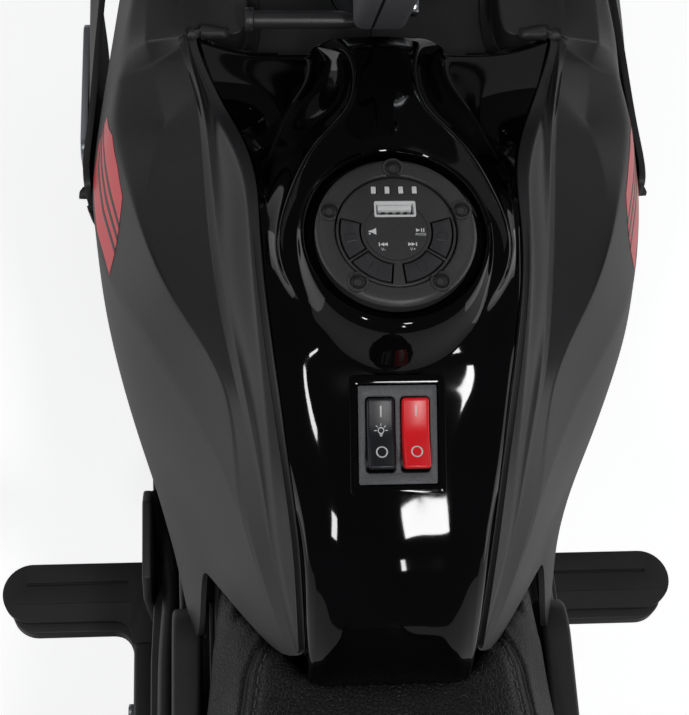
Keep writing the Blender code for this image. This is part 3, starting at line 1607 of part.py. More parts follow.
RAIL_INNER = ENGINE_FACE + 0.0128
RAIL_OUTER = RAIL_INNER + 0.0100
PEG_REACH = 0.0615
PEG_HALF = 0.0140
PEG_Y = 0.0765


def footrests():
    """Footrest: a rail along the engine, a ribbed peg and an upright ankle guard."""
    lug_x = ENGINE_FACE + 0.0004
    rail = box(
        "footrest_right", ((RAIL_INNER + RAIL_OUTER) / 2, -0.0200, 0.2240),
        (RAIL_OUTER - RAIL_INNER, 0.150, 0.020), "matte_black", bevel=0.002
    )
    root = RAIL_INNER + 0.001
    peg_plan = [(root, PEG_Y + PEG_HALF)]
    for k in range(9):
        angle = math.pi / 2 - math.pi * k / 8
        end = RAIL_OUTER + PEG_REACH - PEG_HALF
        peg_plan.append((end + PEG_HALF * math.cos(angle), PEG_Y + PEG_HALF * math.sin(angle)))
    peg_plan += [
        (RAIL_OUTER + 0.008, PEG_Y - PEG_HALF), (RAIL_OUTER + 0.001, PEG_Y - 0.019), (root, PEG_Y - 0.027)
    ]
    peg = prism("peg_plate", peg_plan, PEG_TOP - 0.004, PEG_TOP, axis="Z", cutter=True)
    skirt_out = RAIL_OUTER + 0.045
    skirt_plan = [(root, PEG_Y + 0.0095), (skirt_out - 0.003, PEG_Y + 0.0095), (skirt_out, PEG_Y + 0.0035)]
    skirt_plan += [
        (skirt_out, PEG_Y - 0.0165), (skirt_out - 0.003, PEG_Y - 0.019), (RAIL_OUTER + 0.010, PEG_Y - 0.019)
    ]
    skirt_plan += [(root, PEG_Y - 0.0305)]
    skirt = prism(
        "peg_skirt", rounded(skirt_plan, 0.002, 1), PEG_TOP - 0.013, PEG_TOP - 0.002, axis="Z", cutter=True
    )
    join(rail, peg, skirt)
    for k, y in enumerate((PEG_Y + 0.0046, PEG_Y - 0.0049)):
        cut(
            rail,
            box(f"peg_groove_{k}", (RAIL_OUTER + 0.030, y, PEG_TOP), (0.0500, 0.0024, 0.0030), cutter=True),
        )
    guard = [
        (0.022, 0.222), (0.050, 0.240), (0.056, 0.330), (0.070, 0.3715), (0.085, 0.3715), (0.092, 0.330),
        (0.092, 0.235), (0.085, 0.220),
    ]
    join(
        rail,
        prism("ankle_guard", rounded(guard, 0.006, 1), RAIL_INNER - 0.0010, RAIL_INNER + 0.0035, cutter=True),
    )
    for k, y in enumerate((0.075, -0.072)):
        join(
            rail,
            rod_between(
                f"footrest_lug_{k}", (lug_x, y, 0.222), (RAIL_INNER + 0.003, y, 0.222), 0.010, cutter=True
            ),
        )
    rail = settled(rail, "matte_black")
    mirrored(rail, "footrest_left", "matte_black")


SIDE_COVER_INNER = CHASSIS_HALF_WIDTH + 0.0160
SIDE_COVER_OUTER = SIDE_COVER_INNER + 0.0070


def side_covers():
    plan = [
        (0.012, 0.3700), (-0.020, 0.3835), (-0.274, 0.3835), (-0.262, 0.340), (-0.205, 0.300),
        (-0.060, 0.300), (0.006, 0.335),
    ]
    plan = rounded(plan, 0.010, 1)
    cover = prism("side_cover_right", plan, SIDE_COVER_INNER, SIDE_COVER_OUTER, "matte_black", bevel=0.002)
    for k, (y, z) in enumerate(((-0.030, 0.345), (-0.185, 0.350))):
        lug = rod_between(
            f"side_lug_{k}", (CHASSIS_HALF_WIDTH + 0.0004, y, z), (SIDE_COVER_INNER + 0.002, y, z), 0.008,
            cutter=True,
        )
        join(cover, lug)
    recess = prism(
        "side_recess",
        rounded([(-0.050, 0.368), (-0.235, 0.368), (-0.225, 0.340), (-0.080, 0.325)], 0.008),
        SIDE_COVER_OUTER - 0.002,
        SIDE_COVER_OUTER + 0.010,
        cutter=True,
    )
    cut(cover, recess)
    cover = settled(cover, "matte_black")
    mirrored(cover, "side_cover_left", "matte_black")


def exhaust():
    """Dummy exhaust on the right: pipe, silencer and a strap to the side cover."""
    out = SIDE_COVER_OUTER + 0.0300
    start = (out, -0.135, 0.228)
    end = (out + 0.0050, -0.330, 0.285)
    silencer = rod_between("exhaust", start, end, 0.0270, "silver", sides=20, end_radius=0.0250)
    bends = [
        (ENGINE_FACE + 0.0078, 0.100, 0.165), (ENGINE_FACE + 0.0148, 0.092, 0.163),
        (out - 0.0095, 0.060, 0.160),
    ]
    bends += [(out - 0.0080, -0.030, 0.168), (out - 0.0030, -0.100, 0.190), (out, -0.145, 0.226)]
    pipe = bar("exhaust_pipe", bends, 0.0105, cutter=True, resolution=1)
    flange_ends = (ENGINE_FACE + GAP, 0.100, 0.165), (ENGINE_FACE + 0.0098, 0.100, 0.165)
    flange = rod_between("exhaust_flange", *flange_ends, 0.0130, cutter=True)
    strap_in = SIDE_COVER_OUTER + 0.0005
    strap = box(
        "exhaust_strap", ((strap_in + out) / 2, -0.205, 0.2930), (out - strap_in, 0.018, 0.050), cutter=True
    )
    join(silencer, pipe, flange, strap)
    outlet_start = Vector(end)
    back = (Vector(end) - Vector(start)).normalized()
    outlet = rod_between(
        "exhaust_outlet", outlet_start - 0.030 * back, outlet_start + 0.010 * back, 0.0130, sides=20,
        cutter=True,
    )
    cut(silencer, outlet)
    return silencer


def tail():
    """Tail cover with its mudguard flap, and the lamp set into its end."""
    half_widths = [
        (-0.2854, 0.0600), (-0.330, 0.0590), (-0.390, 0.0530), (-0.450, 0.0430), (-0.500, 0.0320),
        (TAIL_TIP_Y, 0.0240),
    ]
    lows = [
        (-0.2854, MAIN_TOP + 0.0004), (-0.390, MAIN_TOP + 0.0004), (-0.450, 0.4000), (-0.500, 0.4230),
        (TAIL_TIP_Y, 0.4440),
    ]
    highs = [
        (-0.2854, 0.4460), (-0.330, 0.4580), (-0.390, 0.4660), (-0.450, 0.4700), (-0.500, 0.4710),
        (TAIL_TIP_Y, 0.4680),
    ]
    rings = []
    for y in (-0.2854, -0.310, -0.350, -0.390, -0.430, -0.470, -0.505, TAIL_TIP_Y):
        half = read_line(half_widths, y)
        low = read_line(lows, y)
        high = read_line(highs, y)
        upper = high - 0.35 * (high - low)
        right = [
            (0.62 * half, low), (half, low + 0.010), (half, upper), (0.80 * half, high - 0.004),
            (0.40 * half, high),
        ]
        rings.append([(x, y, z) for x, z in right] + [(-x, y, z) for x, z in reversed(right)])
    cover = loft("tail_cover", rings, "matte_black")
    flap = [(-0.440, 0.405), (-0.452, 0.405), (-0.512, 0.300), (-0.506, 0.297)]
    join(cover, prism("mudguard_flap", flap, -0.034, 0.034, cutter=True))
    lamp_middle = 0.4560
    cut(cover, box("lamp_pocket", (0, TAIL_TIP_Y, lamp_middle), (0.0364, 0.0240, 0.0144), cutter=True))
    box("tail_light", (0, TAIL_TIP_Y + 0.0058, lamp_middle), (0.0356, 0.0116, 0.0136), "red", bevel=0.001)


def charging_socket(wall):
    y = -0.140
    z = 0.272
    x = -CHASSIS_HALF_WIDTH
    hole = rod_between("charging_hole", (x - 0.0100, y, z), (x + 0.0100, y, z), 0.0093, sides=24, cutter=True)
    cut(wall, hole)
    socket = rod_between(
        "charging_socket", (x - 0.0025, y, z), (x - 0.0003, y, z), 0.0125, "case_grey", sides=20
    )
    join(
        socket,
        rod_between("charging_barrel", (x - 0.0020, y, z), (x + 0.0115, y, z), 0.0089, sides=20, cutter=True),
    )
    cut(
        socket,
        rod_between("charging_bore", (x - 0.0100, y, z), (x + 0.0080, y, z), 0.0045, sides=16, cutter=True),
    )


# Assembly
steering_frame = steering_empty()
panel_frame = tilted_frame("panel_axis", PANEL_Y, PANEL_Z, PANEL_TILT)
switch_frame = tilted_frame("switch_axis", SWITCH_Y, SWITCH_Z, SWITCH_TILT)
bpy.context.view_layer.update()

tank_sides()
tank_cover(panel_frame, switch_frame)
player_panel(panel_frame)
rocker_switch(switch_frame)
seat_cushion()
seat_base()
chassis(steering_frame)
charging_socket(bpy.data.objects["chassis_left"])
inner_parts()
drive()
rear_end()
steering_column(steering_frame)
bar_clamp(steering_frame)
fork(steering_frame)
front_wheel()
front_mudguard()
handlebar(steering_frame)
headlight(steering_frame)
shrouds()
engine_covers()
footrests()
side_covers()
exhaust()
tail()
bpy.context.view_layer.update()
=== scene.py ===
import json
import math

import bmesh
import bpy
from mathutils import Matrix, Vector
from mathutils.bvhtree import BVHTree


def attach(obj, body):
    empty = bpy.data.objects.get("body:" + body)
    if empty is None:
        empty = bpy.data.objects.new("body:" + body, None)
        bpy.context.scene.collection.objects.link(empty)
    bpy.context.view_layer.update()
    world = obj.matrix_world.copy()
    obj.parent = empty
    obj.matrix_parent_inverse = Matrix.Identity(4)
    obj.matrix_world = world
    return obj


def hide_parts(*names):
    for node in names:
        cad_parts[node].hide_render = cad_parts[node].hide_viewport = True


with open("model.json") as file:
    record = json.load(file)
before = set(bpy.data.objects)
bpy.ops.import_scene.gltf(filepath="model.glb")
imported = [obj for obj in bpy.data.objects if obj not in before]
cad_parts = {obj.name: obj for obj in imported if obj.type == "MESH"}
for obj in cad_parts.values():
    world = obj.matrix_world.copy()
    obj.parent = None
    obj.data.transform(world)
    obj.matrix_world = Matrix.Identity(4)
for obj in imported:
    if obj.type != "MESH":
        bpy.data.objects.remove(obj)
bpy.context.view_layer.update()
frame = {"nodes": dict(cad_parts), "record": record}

NODES = frame["nodes"]
TWO_PI = 2.0 * math.pi

# Sizes shared with the solids, in metres
SKIN = 0.0025
WHEEL_RADIUS = 0.13
REAR_AXLE_Y = -0.345
FRONT_AXLE_Y = 0.403059
TRAINER_RADIUS = 0.056
PANEL_Y = 0.103
PANEL_Z = 0.531
PANEL_TILT = math.radians(3.0)
RING_RADIUS = 0.0259
FACE_RADIUS = 0.0193
BUTTON_INNER_RADIUS = 0.0112
BUTTON_OUTER_RADIUS = 0.0184
SCREW_CIRCLE = 0.0222
DISH_RADIUS = 0.0292
DISH_DEPTH = 0.0052
DISH_RIM = -0.0018
TAIL_SPREAD = 0.04
COLLAR_SIDE = 0.003
COLLAR_BACK = 0.0125
USB_Y = 0.0079
LAMP_Y = 0.0148
LAMP_PITCH = 0.0044
MODE_MARK = (0.0076, 0.0003)
HORN_MARK = (-0.0072, 0.0)
NEXT_MARK = (0.005, -0.0046)
PREVIOUS_MARK = (-0.0044, -0.0046)
SWITCH_Y = 0.046
SWITCH_Z = 0.5
SWITCH_TILT = math.radians(24.0)
BEZEL_WIDTH = 0.0254
BEZEL_LENGTH = 0.0317
FRAME_BORDER = 0.0027
ROCKER_WIDTH = 0.0089
ROCKER_LENGTH = 0.0226
ROCKER_PITCH = 0.0112
ROCKER_THROW = math.radians(20.0)
SEAT_REAR_Y = -0.285
ENGINE_FACE = 0.0752
RAIL_INNER = 0.088
RAIL_OUTER = 0.098
PEG_TOP = 0.235
PEG_Y = 0.0765
PEG_HALF = 0.014
PEG_TIP = 0.1595
GUARD_SIDE = [
    (0.06, 0.226), (0.047, 0.3), (0.042, 0.335), (0.047, 0.35), (0.078, 0.354), (0.086, 0.345),
    (0.091, 0.3), (0.091, 0.235), (0.085, 0.222),
]
GUARD_FACE = 0.085
GUARD_THICKNESS = 0.0036
BAR_HEIGHT = 0.052
BAR_RISE = 0.105
BAR_RADIUS = 0.011
CLAMP_BOTTOM = 0.0175
CLAMP_TOP = 0.07
PANEL_PLACE = Matrix.Translation((0.0, PANEL_Y, PANEL_Z)) @ Matrix.Rotation(PANEL_TILT, 4, "X")
SWITCH_PLACE = Matrix.Translation((0.0, SWITCH_Y, SWITCH_Z)) @ Matrix.Rotation(SWITCH_TILT, 4, "X")
STEERING_PLACE = Matrix.Translation((0.0, 0.213, 0.52)) @ Matrix.Rotation(math.radians(24.0), 4, "X")


# Camera: solved from the photograph, above and behind the tank
SENSOR_WIDTH = 36.0
LENS = 80.56
CAMERA_PLACE = (-0.05664818, -0.14610562, 0.97215236)
CAMERA_TURNS = (("X", 24.94), ("Y", -4.485677), ("Z", -0.777296))


def place_camera():
    data = bpy.data.cameras.new("camera")
    data.sensor_width = SENSOR_WIDTH
    data.lens = LENS
    data.clip_start = 0.01
    camera = bpy.data.objects.new("camera", data)
    bpy.context.scene.collection.objects.link(camera)
    turn = Matrix.Identity(4)
    for axis, degrees in CAMERA_TURNS:
        turn = turn @ Matrix.Rotation(math.radians(degrees), 4, axis)
    camera.matrix_world = Matrix.Translation(CAMERA_PLACE) @ turn
    bpy.context.scene.camera = camera


# Finishes
FINISH = {}


def add_node(tree, kind, values=None, **settings):
    """A shader node with its settings and the values of its inputs."""
    node = tree.nodes.new(f"ShaderNode{kind}")
    for key, value in settings.items():
        setattr(node, key, value)
    for label, value in (values or {}).items():
        node.inputs[label].default_value = value
    return node


def wire(tree, *links):
    """Links nodes; each link names the source, its output, the target and its input."""
    for source, output, target, entry in links:
        tree.links.new(source.outputs[output], target.inputs[entry])


def new_group(name, inputs, outputs):
    """An empty node group with named sockets, and its two end nodes; four numbers make a colour."""
    group = bpy.data.node_groups.new(name, "ShaderNodeTree")
    for label, value in inputs.items():
        kind = "NodeSocketColor" if isinstance(value, tuple) else "NodeSocketFloat"
        socket = group.interface.new_socket(label, in_out="INPUT", socket_type=kind)
        socket.default_value = value
    for label, kind in outputs.items():
        group.interface.new_socket(label, in_out="OUTPUT", socket_type=kind)
    return group, group.nodes.new("NodeGroupInput"), group.nodes.new("NodeGroupOutput")


def build_moulded_grain():
    """Grain of a moulded surface: a fine bump, and a roughness that drifts from place to place."""
    inputs = {"Grain Scale": 1500.0, "Grain Depth": 0.00003, "Roughness": 0.5, "Drift": 0.05}
    outputs = {"Roughness": "NodeSocketFloat", "Normal": "NodeSocketVector"}
    group, ins, outs = new_group("moulded_grain", inputs, outputs)
    place = add_node(group, "TexCoord")
    grain = add_node(group, "TexNoise", {"Detail": 2.0})
    bump = add_node(group, "Bump")
    cloud = add_node(group, "TexNoise", {"Scale": 22.0, "Detail": 3.0})
    centred = add_node(group, "Math", {1: 0.5}, operation="SUBTRACT")
    scaled = add_node(group, "Math", operation="MULTIPLY_ADD")
    wire(
        group,
        (place, "Object", grain, "Vector"),
        (ins, "Grain Scale", grain, "Scale"),
        (grain, "Fac", bump, "Height"),
        (ins, "Grain Depth", bump, "Distance"),
        (bump, "Normal", outs, "Normal"),
        (place, "Object", cloud, "Vector"),
        (cloud, "Fac", centred, 0),
        (centred, "Value", scaled, 0),
        (ins, "Drift", scaled, 1),
        (ins, "Roughness", scaled, 2),
        (scaled, "Value", outs, "Roughness"),
    )
    return group


def build_tone_drift():
    """A colour that grows a little lighter in soft patches and in fine specks."""
    inputs = {
        "Tone": (0.02, 0.02, 0.02, 1.0),
        "Light Tone": (0.04, 0.04, 0.04, 1.0),
        "Patch Scale": 30.0,
        "Speck Scale": 1200.0,
        "Speck Share": 0.3,
    }
    group, ins, outs = new_group("tone_drift", inputs, {"Color": "NodeSocketColor"})
    place = add_node(group, "TexCoord")
    patch = add_node(group, "TexNoise")
    speck = add_node(group, "TexNoise")
    both = add_node(group, "Mix", data_type="FLOAT")
    span = add_node(group, "MapRange", {"From Min": 0.35, "From Max": 0.65})
    blend = add_node(group, "Mix", data_type="RGBA")
    wire(
        group,
        (place, "Object", patch, "Vector"),
        (place, "Object", speck, "Vector"),
        (ins, "Patch Scale", patch, "Scale"),
        (ins, "Speck Scale", speck, "Scale"),
        (ins, "Speck Share", both, "Factor"),
        (patch, "Fac", both, "A"),
        (speck, "Fac", both, "B"),
        (both, "Result", span, "Value"),
        (span, "Result", blend, "Factor"),
        (ins, "Tone", blend, "A"),
        (ins, "Light Tone", blend, "B"),
        (blend, "Result", outs, "Color"),
    )
    return group


MOULDED_GRAIN = build_moulded_grain()
TONE_DRIFT = build_tone_drift()


def new_finish(name):
    """A new finish: its node tree and its shader."""
    material = bpy.data.materials.new(name)
    material.use_nodes = True
    FINISH[name] = material
    return material.node_tree, material.node_tree.nodes["Principled BSDF"]


def tint(colour, lift=1.0):
    return tuple(min(1.0, c * lift) for c in colour) + (1.0,)


def moulded(
    name,
    colour,
    roughness,
    grain=1500.0,
    depth=0.00003,
    drift=0.06,
    lift=1.25,
    patch=30.0,
    speck=1200.0,
    share=0.3,
    metal=0.0,
    sheen=0.5,
):
    """A moulded or metal finish with its own grain and drift of tone."""
    tree, shader = new_finish(name)
    shader.inputs["Metallic"].default_value = metal
    shader.inputs["Specular IOR Level"].default_value = sheen
    tones = {"Tone": tint(colour), "Light Tone": tint(colour, lift)}
    tones.update({"Patch Scale": patch, "Speck Scale": speck, "Speck Share": share})
    tone = add_node(tree, "Group", tones, node_tree=TONE_DRIFT)
    grains = {"Grain Scale": grain, "Grain Depth": depth, "Roughness": roughness, "Drift": drift}
    surface = add_node(tree, "Group", grains, node_tree=MOULDED_GRAIN)
    wire(
        tree,
        (tone, "Color", shader, "Base Color"),
        (surface, "Roughness", shader, "Roughness"),
        (surface, "Normal", shader, "Normal"),
    )
    return shader


def leather(name):
    """Embossed leatherette: pebbles with fine creases between them, and painted shade that darkens the colour
    in the creases.
    """
    tree, shader = new_finish(name)
    shader.inputs["Specular IOR Level"].default_value = 0.3
    place = add_node(tree, "TexCoord")
    warp = add_node(tree, "TexNoise", {"Scale": 260.0})
    bend = add_node(tree, "Mix", {"Factor": 0.0022}, data_type="VECTOR")
    cells = add_node(tree, "TexVoronoi", {"Scale": 620.0}, feature="DISTANCE_TO_EDGE")
    pebble = add_node(tree, "MapRange", {"From Max": 0.16}, interpolation_type="SMOOTHSTEP")
    bump = add_node(tree, "Bump", {"Distance": 0.00016})
    # painted shade: the colour is darker in the creases between the pebbles and lighter on their tops
    tones = {"A": (0.0022, 0.0022, 0.0023, 1.0), "B": (0.0042, 0.0042, 0.0044, 1.0)}
    shade = add_node(tree, "Mix", tones, data_type="RGBA")
    worn = add_node(tree, "TexNoise", {"Scale": 35.0})
    rough = add_node(tree, "MapRange", {"From Min": 0.3, "From Max": 0.7, "To Min": 0.44, "To Max": 0.56})
    wire(
        tree,
        (place, "Object", warp, "Vector"),
        (place, "Object", bend, "A"),
        (warp, "Color", bend, "B"),
        (bend, "Result", cells, "Vector"),
        (cells, "Distance", pebble, "Value"),
        (pebble, "Result", bump, "Height"),
        (bump, "Normal", shader, "Normal"),
        (pebble, "Result", shade, "Factor"),
        (shade, "Result", shader, "Base Color"),
        (place, "Object", worn, "Vector"),
        (worn, "Fac", rough, "Value"),
        (rough, "Result", shader, "Roughness"),
    )


GLOSS_BLACK = (0.0011, 0.0011, 0.0013)
BODY_BLACK = (0.0115, 0.0115, 0.0125)
moulded("gloss_black", GLOSS_BLACK, 0.045, 120.0, 0.000012, drift=0.02, lift=1.6, share=0.1, sheen=0.22)
moulded("body_black", BODY_BLACK, 0.55, 1900.0, 0.00007, lift=1.5, share=0.6, sheen=0.6)
moulded("decal_pink", (0.8, 0.07, 0.085), 0.34, 500.0, 0.00001, drift=0.04, lift=1.1)
moulded("decal_dark", (0.01, 0.01, 0.011), 0.34, 500.0, 0.00001, drift=0.04, lift=1.3)
moulded("panel_black", (0.034, 0.034, 0.035), 0.4, 2600.0, 0.00004, lift=1.4, share=0.6)
moulded("button_black", (0.025, 0.025, 0.027), 0.42, 2600.0, 0.00003, lift=1.35, share=0.5)
moulded("bezel_grey", (0.058, 0.06, 0.064), 0.5, 2400.0, 0.0001, lift=2.2, speck=2600.0, share=0.85)
moulded("tyre_black", (0.012, 0.012, 0.0125), 0.78, 700.0, 0.0001, lift=1.6, patch=45.0)
moulded("rim_black", (0.022, 0.022, 0.024), 0.38, 900.0, 0.00004, lift=1.3)
moulded("case_grey", (0.075, 0.075, 0.082), 0.55, 1400.0, 0.00006, lift=1.3)
moulded("steel", (0.5, 0.51, 0.53), 0.24, 260.0, 0.00002, drift=0.1, lift=1.12, metal=1.0)
moulded("silver", (0.3, 0.31, 0.33), 0.32, 1500.0, 0.00003, lift=1.15, metal=0.6)
moulded("white_lens", (0.76, 0.76, 0.76), 0.25, 600.0, 0.00001, lift=1.1)
moulded("print_white", (0.72, 0.72, 0.72), 0.55, 3000.0, 0.00002, lift=1.2, speck=4000.0, share=0.7)
clear = moulded("clear_lens", (0.86, 0.9, 0.93), 0.05, 300.0, 0.00001, drift=0.02, lift=1.05)
clear.inputs["Transmission Weight"].default_value = 0.85
clear.inputs["IOR"].default_value = 1.49
moulded("red", (0.88, 0.012, 0.018), 0.28, 500.0, 0.00001, drift=0.04, lift=1.12)
leather("seat_black")
moulded("rocker_black", (0.009, 0.0095, 0.0125), 0.34, 2500.0, 0.00001, lift=1.3)
moulded("screw_black", (0.03, 0.03, 0.031), 0.26, 2500.0, 0.00001, lift=1.3, metal=0.6)
moulded("cord_black", (0.003, 0.003, 0.0032), 0.6, 4000.0, 0.00004, lift=1.5)
moulded("thread_black", (0.034, 0.034, 0.035), 0.6, 4000.0, 0.00005, lift=1.8, speck=3000.0)
moulded("lamp_reflector", (0.8, 0.8, 0.82), 0.12, 200.0, 0.00003, lift=1.08, metal=1.0)


# Making and placing pieces
def deselect():
    bpy.ops.object.select_all(action="DESELECT")


def activate(piece):
    deselect()
    piece.select_set(True)
    bpy.context.view_layer.objects.active = piece


def named(name):
    """Names the primitive just added."""
    piece = bpy.context.object
    piece.name = name
    piece.data.name = name
    return piece


def apply(piece, kind, **settings):
    """Adds a modifier with these settings and applies it."""
    activate(piece)
    modifier = piece.modifiers.new(kind.lower(), kind)
    for key, value in settings.items():
        setattr(modifier, key, value)
    bpy.ops.object.modifier_apply(modifier=modifier.name)


def round_edges(piece, width, segments=2, angle=30.0):
    apply(
        piece, "BEVEL", width=width, segments=segments, limit_method="ANGLE",
        angle_limit=math.radians(angle),
    )


def carve(piece, *tools, operation="DIFFERENCE"):
    """Cuts tools out of a piece, or joins them to it, and removes them."""
    for tool in tools:
        apply(piece, "BOOLEAN", object=tool, operation=operation, solver="EXACT")
        bpy.data.objects.remove(tool)


def rest(piece, place=None):
    """Puts a piece's place in its mesh, so that its object sits at the origin."""
    if place is not None:
        piece.matrix_world = place @ piece.matrix_world
    bpy.context.view_layer.update()
    piece.data.transform(piece.matrix_world)
    if piece.matrix_world.determinant() < 0:
        piece.data.flip_normals()
    piece.matrix_world = Matrix.Identity(4)


def settle(piece, body, finish, stands_for=(), angle=35.0, place=None):
    """Places a finished piece: smooth shading, finish, body and the nodes that it stands for."""
    rest(piece, place)
    activate(piece)
    bpy.ops.object.shade_smooth_by_angle(angle=math.radians(angle))
    deselect()
    piece.data.materials.clear()
    piece.data.materials.append(FINISH[finish])
    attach(piece, body)
    if stands_for:
        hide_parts(*stands_for)
    return piece


def settle_on_panel(piece, finish, nodes=(), angle=30.0):
    """Places a piece of the player that was made about the panel's own origin."""
    settle(piece, "chassis", finish, stands_for=nodes, angle=angle, place=PANEL_PLACE)


def mesh_piece(name, points, faces, edges=()):
    data = bpy.data.meshes.new(name)
    data.from_pydata([tuple(p) for p in points], list(edges), faces)
    data.update()
    piece = bpy.data.objects.new(name, data)
    bpy.context.scene.collection.objects.link(piece)
    return piece


def copied(piece, name):
    twin = piece.copy()
    twin.data = piece.data.copy()
    twin.name = name
    twin.data.name = name
    bpy.context.scene.collection.objects.link(twin)
    return twin


def merged(name, pieces):
    """Joins meshes into one piece at the origin."""
    for piece in pieces:
        rest(piece)
    deselect()
    for piece in pieces:
        piece.select_set(True)
    bpy.context.view_layer.objects.active = pieces[0]
    if len(pieces) > 1:
        bpy.ops.object.join()
    return named(name)


def edited(piece, *steps):
    """Runs edit mode steps, each on the whole piece, then points its faces outwards."""
    activate(piece)
    bpy.ops.object.mode_set(mode="EDIT")
    for step in steps:
        bpy.ops.mesh.select_all(action="SELECT")
        step()
    bpy.ops.mesh.select_all(action="SELECT")
    bpy.ops.mesh.normals_make_consistent(inside=False)
    bpy.ops.object.mode_set(mode="OBJECT")
    return piece


def merge_doubles():
    bpy.ops.mesh.remove_doubles(threshold=0.000002)


def face_towards(piece, direction, face=0):
    """Turns all faces over if the given one points away from a direction."""
    if piece.data.polygons[face].normal.dot(Vector(direction)) < 0:
        piece.data.flip_normals()


def lathe(name, profile, steps=96, closed=False):
    """Spins a profile of (radius, height) about Z."""

    def spin():
        bpy.ops.mesh.spin(steps=steps, angle=TWO_PI, center=(0.0, 0.0, 0.0), axis=(0.0, 0.0, 1.0))

    count = len(profile)
    edges = [(k, k + 1) for k in range(count - 1)]
    if closed:
        edges.append((count - 1, 0))
    return edited(mesh_piece(name, [(r, 0.0, h) for r, h in profile], [], edges), spin, merge_doubles)


def both_ways(side):
    """A profile and its mirror image below the middle, where its last point lies."""
    return side + [(r, -h) for r, h in reversed(side[:-1])]


def extruded(name, points, step, corner=0.0):
    """One face through the points, its corners rounded, extruded by a step."""

    def round_corners():
        bpy.ops.mesh.bevel(offset=corner, segments=5, affect="VERTICES", clamp_overlap=True)

    def extrude():
        bpy.ops.mesh.extrude_region_move(TRANSFORM_OT_translate={"value": step})

    piece = mesh_piece(name, points, [tuple(range(len(points)))])
    return edited(piece, round_corners, extrude) if corner else edited(piece, extrude)


def plate(name, outline, low, high):
    """A flat plate between two heights."""
    return extruded(name, [(x, y, low) for x, y in outline], (0.0, 0.0, high - low))


def moved(outline, x, y):
    return [(px + x, py + y) for px, py in outline]


def block(name, size, centre=(0.0, 0.0, 0.0), bevel=0.0, segments=2):
    """A cube primitive at its size and place, with rounded edges."""
    deselect()
    bpy.ops.mesh.primitive_cube_add(size=1.0, location=centre)
    piece = named(name)
    piece.scale = size
    bpy.ops.object.transform_apply(location=False, rotation=False, scale=True)
    if bevel:
        round_edges(piece, bevel, segments)
    return piece


def rod(name, radius, low, high, centre=(0.0, 0.0), sides=48, bevel=0.0, top_radius=None):
    """A cylinder primitive standing on Z, with rounded rims."""
    deselect()
    bpy.ops.mesh.primitive_cone_add(
        vertices=sides,
        radius1=radius,
        radius2=radius if top_radius is None else top_radius,
        depth=high - low,
        location=(centre[0], centre[1], (low + high) / 2),
    )
    piece = named(name)
    if bevel:
        round_edges(piece, bevel, 2)
    return piece


def grid_faces(tall, wide):
    """Faces of a sheet of points that runs row by row."""
    starts = [i * wide + j for i in range(tall - 1) for j in range(wide - 1)]
    return [(a, a + wide, a + wide + 1, a + 1) for a in starts]


def lofted(name, rings):
    """A closed form through rings of points, with a face over each end."""
    around = len(rings[0])
    faces = []
    for i in range(len(rings) - 1):
        for k in range(around):
            a = i * around + k
            b = i * around + (k + 1) % around
            faces.append((a, b, b + around, a + around))
    faces.append(tuple(range(around)))
    faces.append(tuple(range((len(rings) - 1) * around, len(rings) * around)))
    return edited(mesh_piece(name, [p for ring in rings for p in ring], faces))


CAGE_ROUNDS = 4
CAGE_PULL = 0.8


def skin_of(name, rows, folds, levels, cross_folds=None):
    """A smooth skin through rows of points: a cage whose subdivided surface is drawn back onto the points.

    folds gives the sharpness of whole columns, cross_folds that of single edges, by row and first column.
    """
    wide = len(rows[0])
    points = [Vector(p) for row in rows for p in row]
    piece = mesh_piece(name, points, grid_faces(len(rows), wide))
    sharpness = piece.data.attributes.new("crease_edge", "FLOAT", "EDGE")
    for edge in piece.data.edges:
        a, b = sorted(edge.vertices)
        if b - a == wide:
            sharpness.data[edge.index].value = folds.get(a % wide, 0.0)
        elif cross_folds:
            sharpness.data[edge.index].value = cross_folds.get((a // wide, a % wide), 0.0)
    modifier = piece.modifiers.new("smooth", "SUBSURF")
    modifier.levels = 2
    modifier.render_levels = 2
    for _ in range(CAGE_ROUNDS):
        bpy.context.view_layer.update()
        shaped = piece.evaluated_get(bpy.context.evaluated_depsgraph_get())
        for k, target in enumerate(points):
            vertex = piece.data.vertices[k]
            vertex.co = vertex.co + CAGE_PULL * (target - shaped.data.vertices[k].co)
        piece.data.update()
    modifier.levels = levels
    modifier.render_levels = levels
    activate(piece)
    bpy.ops.object.modifier_apply(modifier=modifier.name)
    return piece


def mirror_copy(piece, name):
    """The same piece on the other side of the mid plane."""
    twin = copied(piece, name)
    twin.data.transform(Matrix.Scale(-1.0, 4, (1.0, 0.0, 0.0)))
    twin.data.flip_normals()
    return twin


def tree_of(piece):
    shape = bmesh.new()
    shape.from_mesh(piece.data)
    tree = BVHTree.FromBMesh(shape)
    shape.free()
    return tree


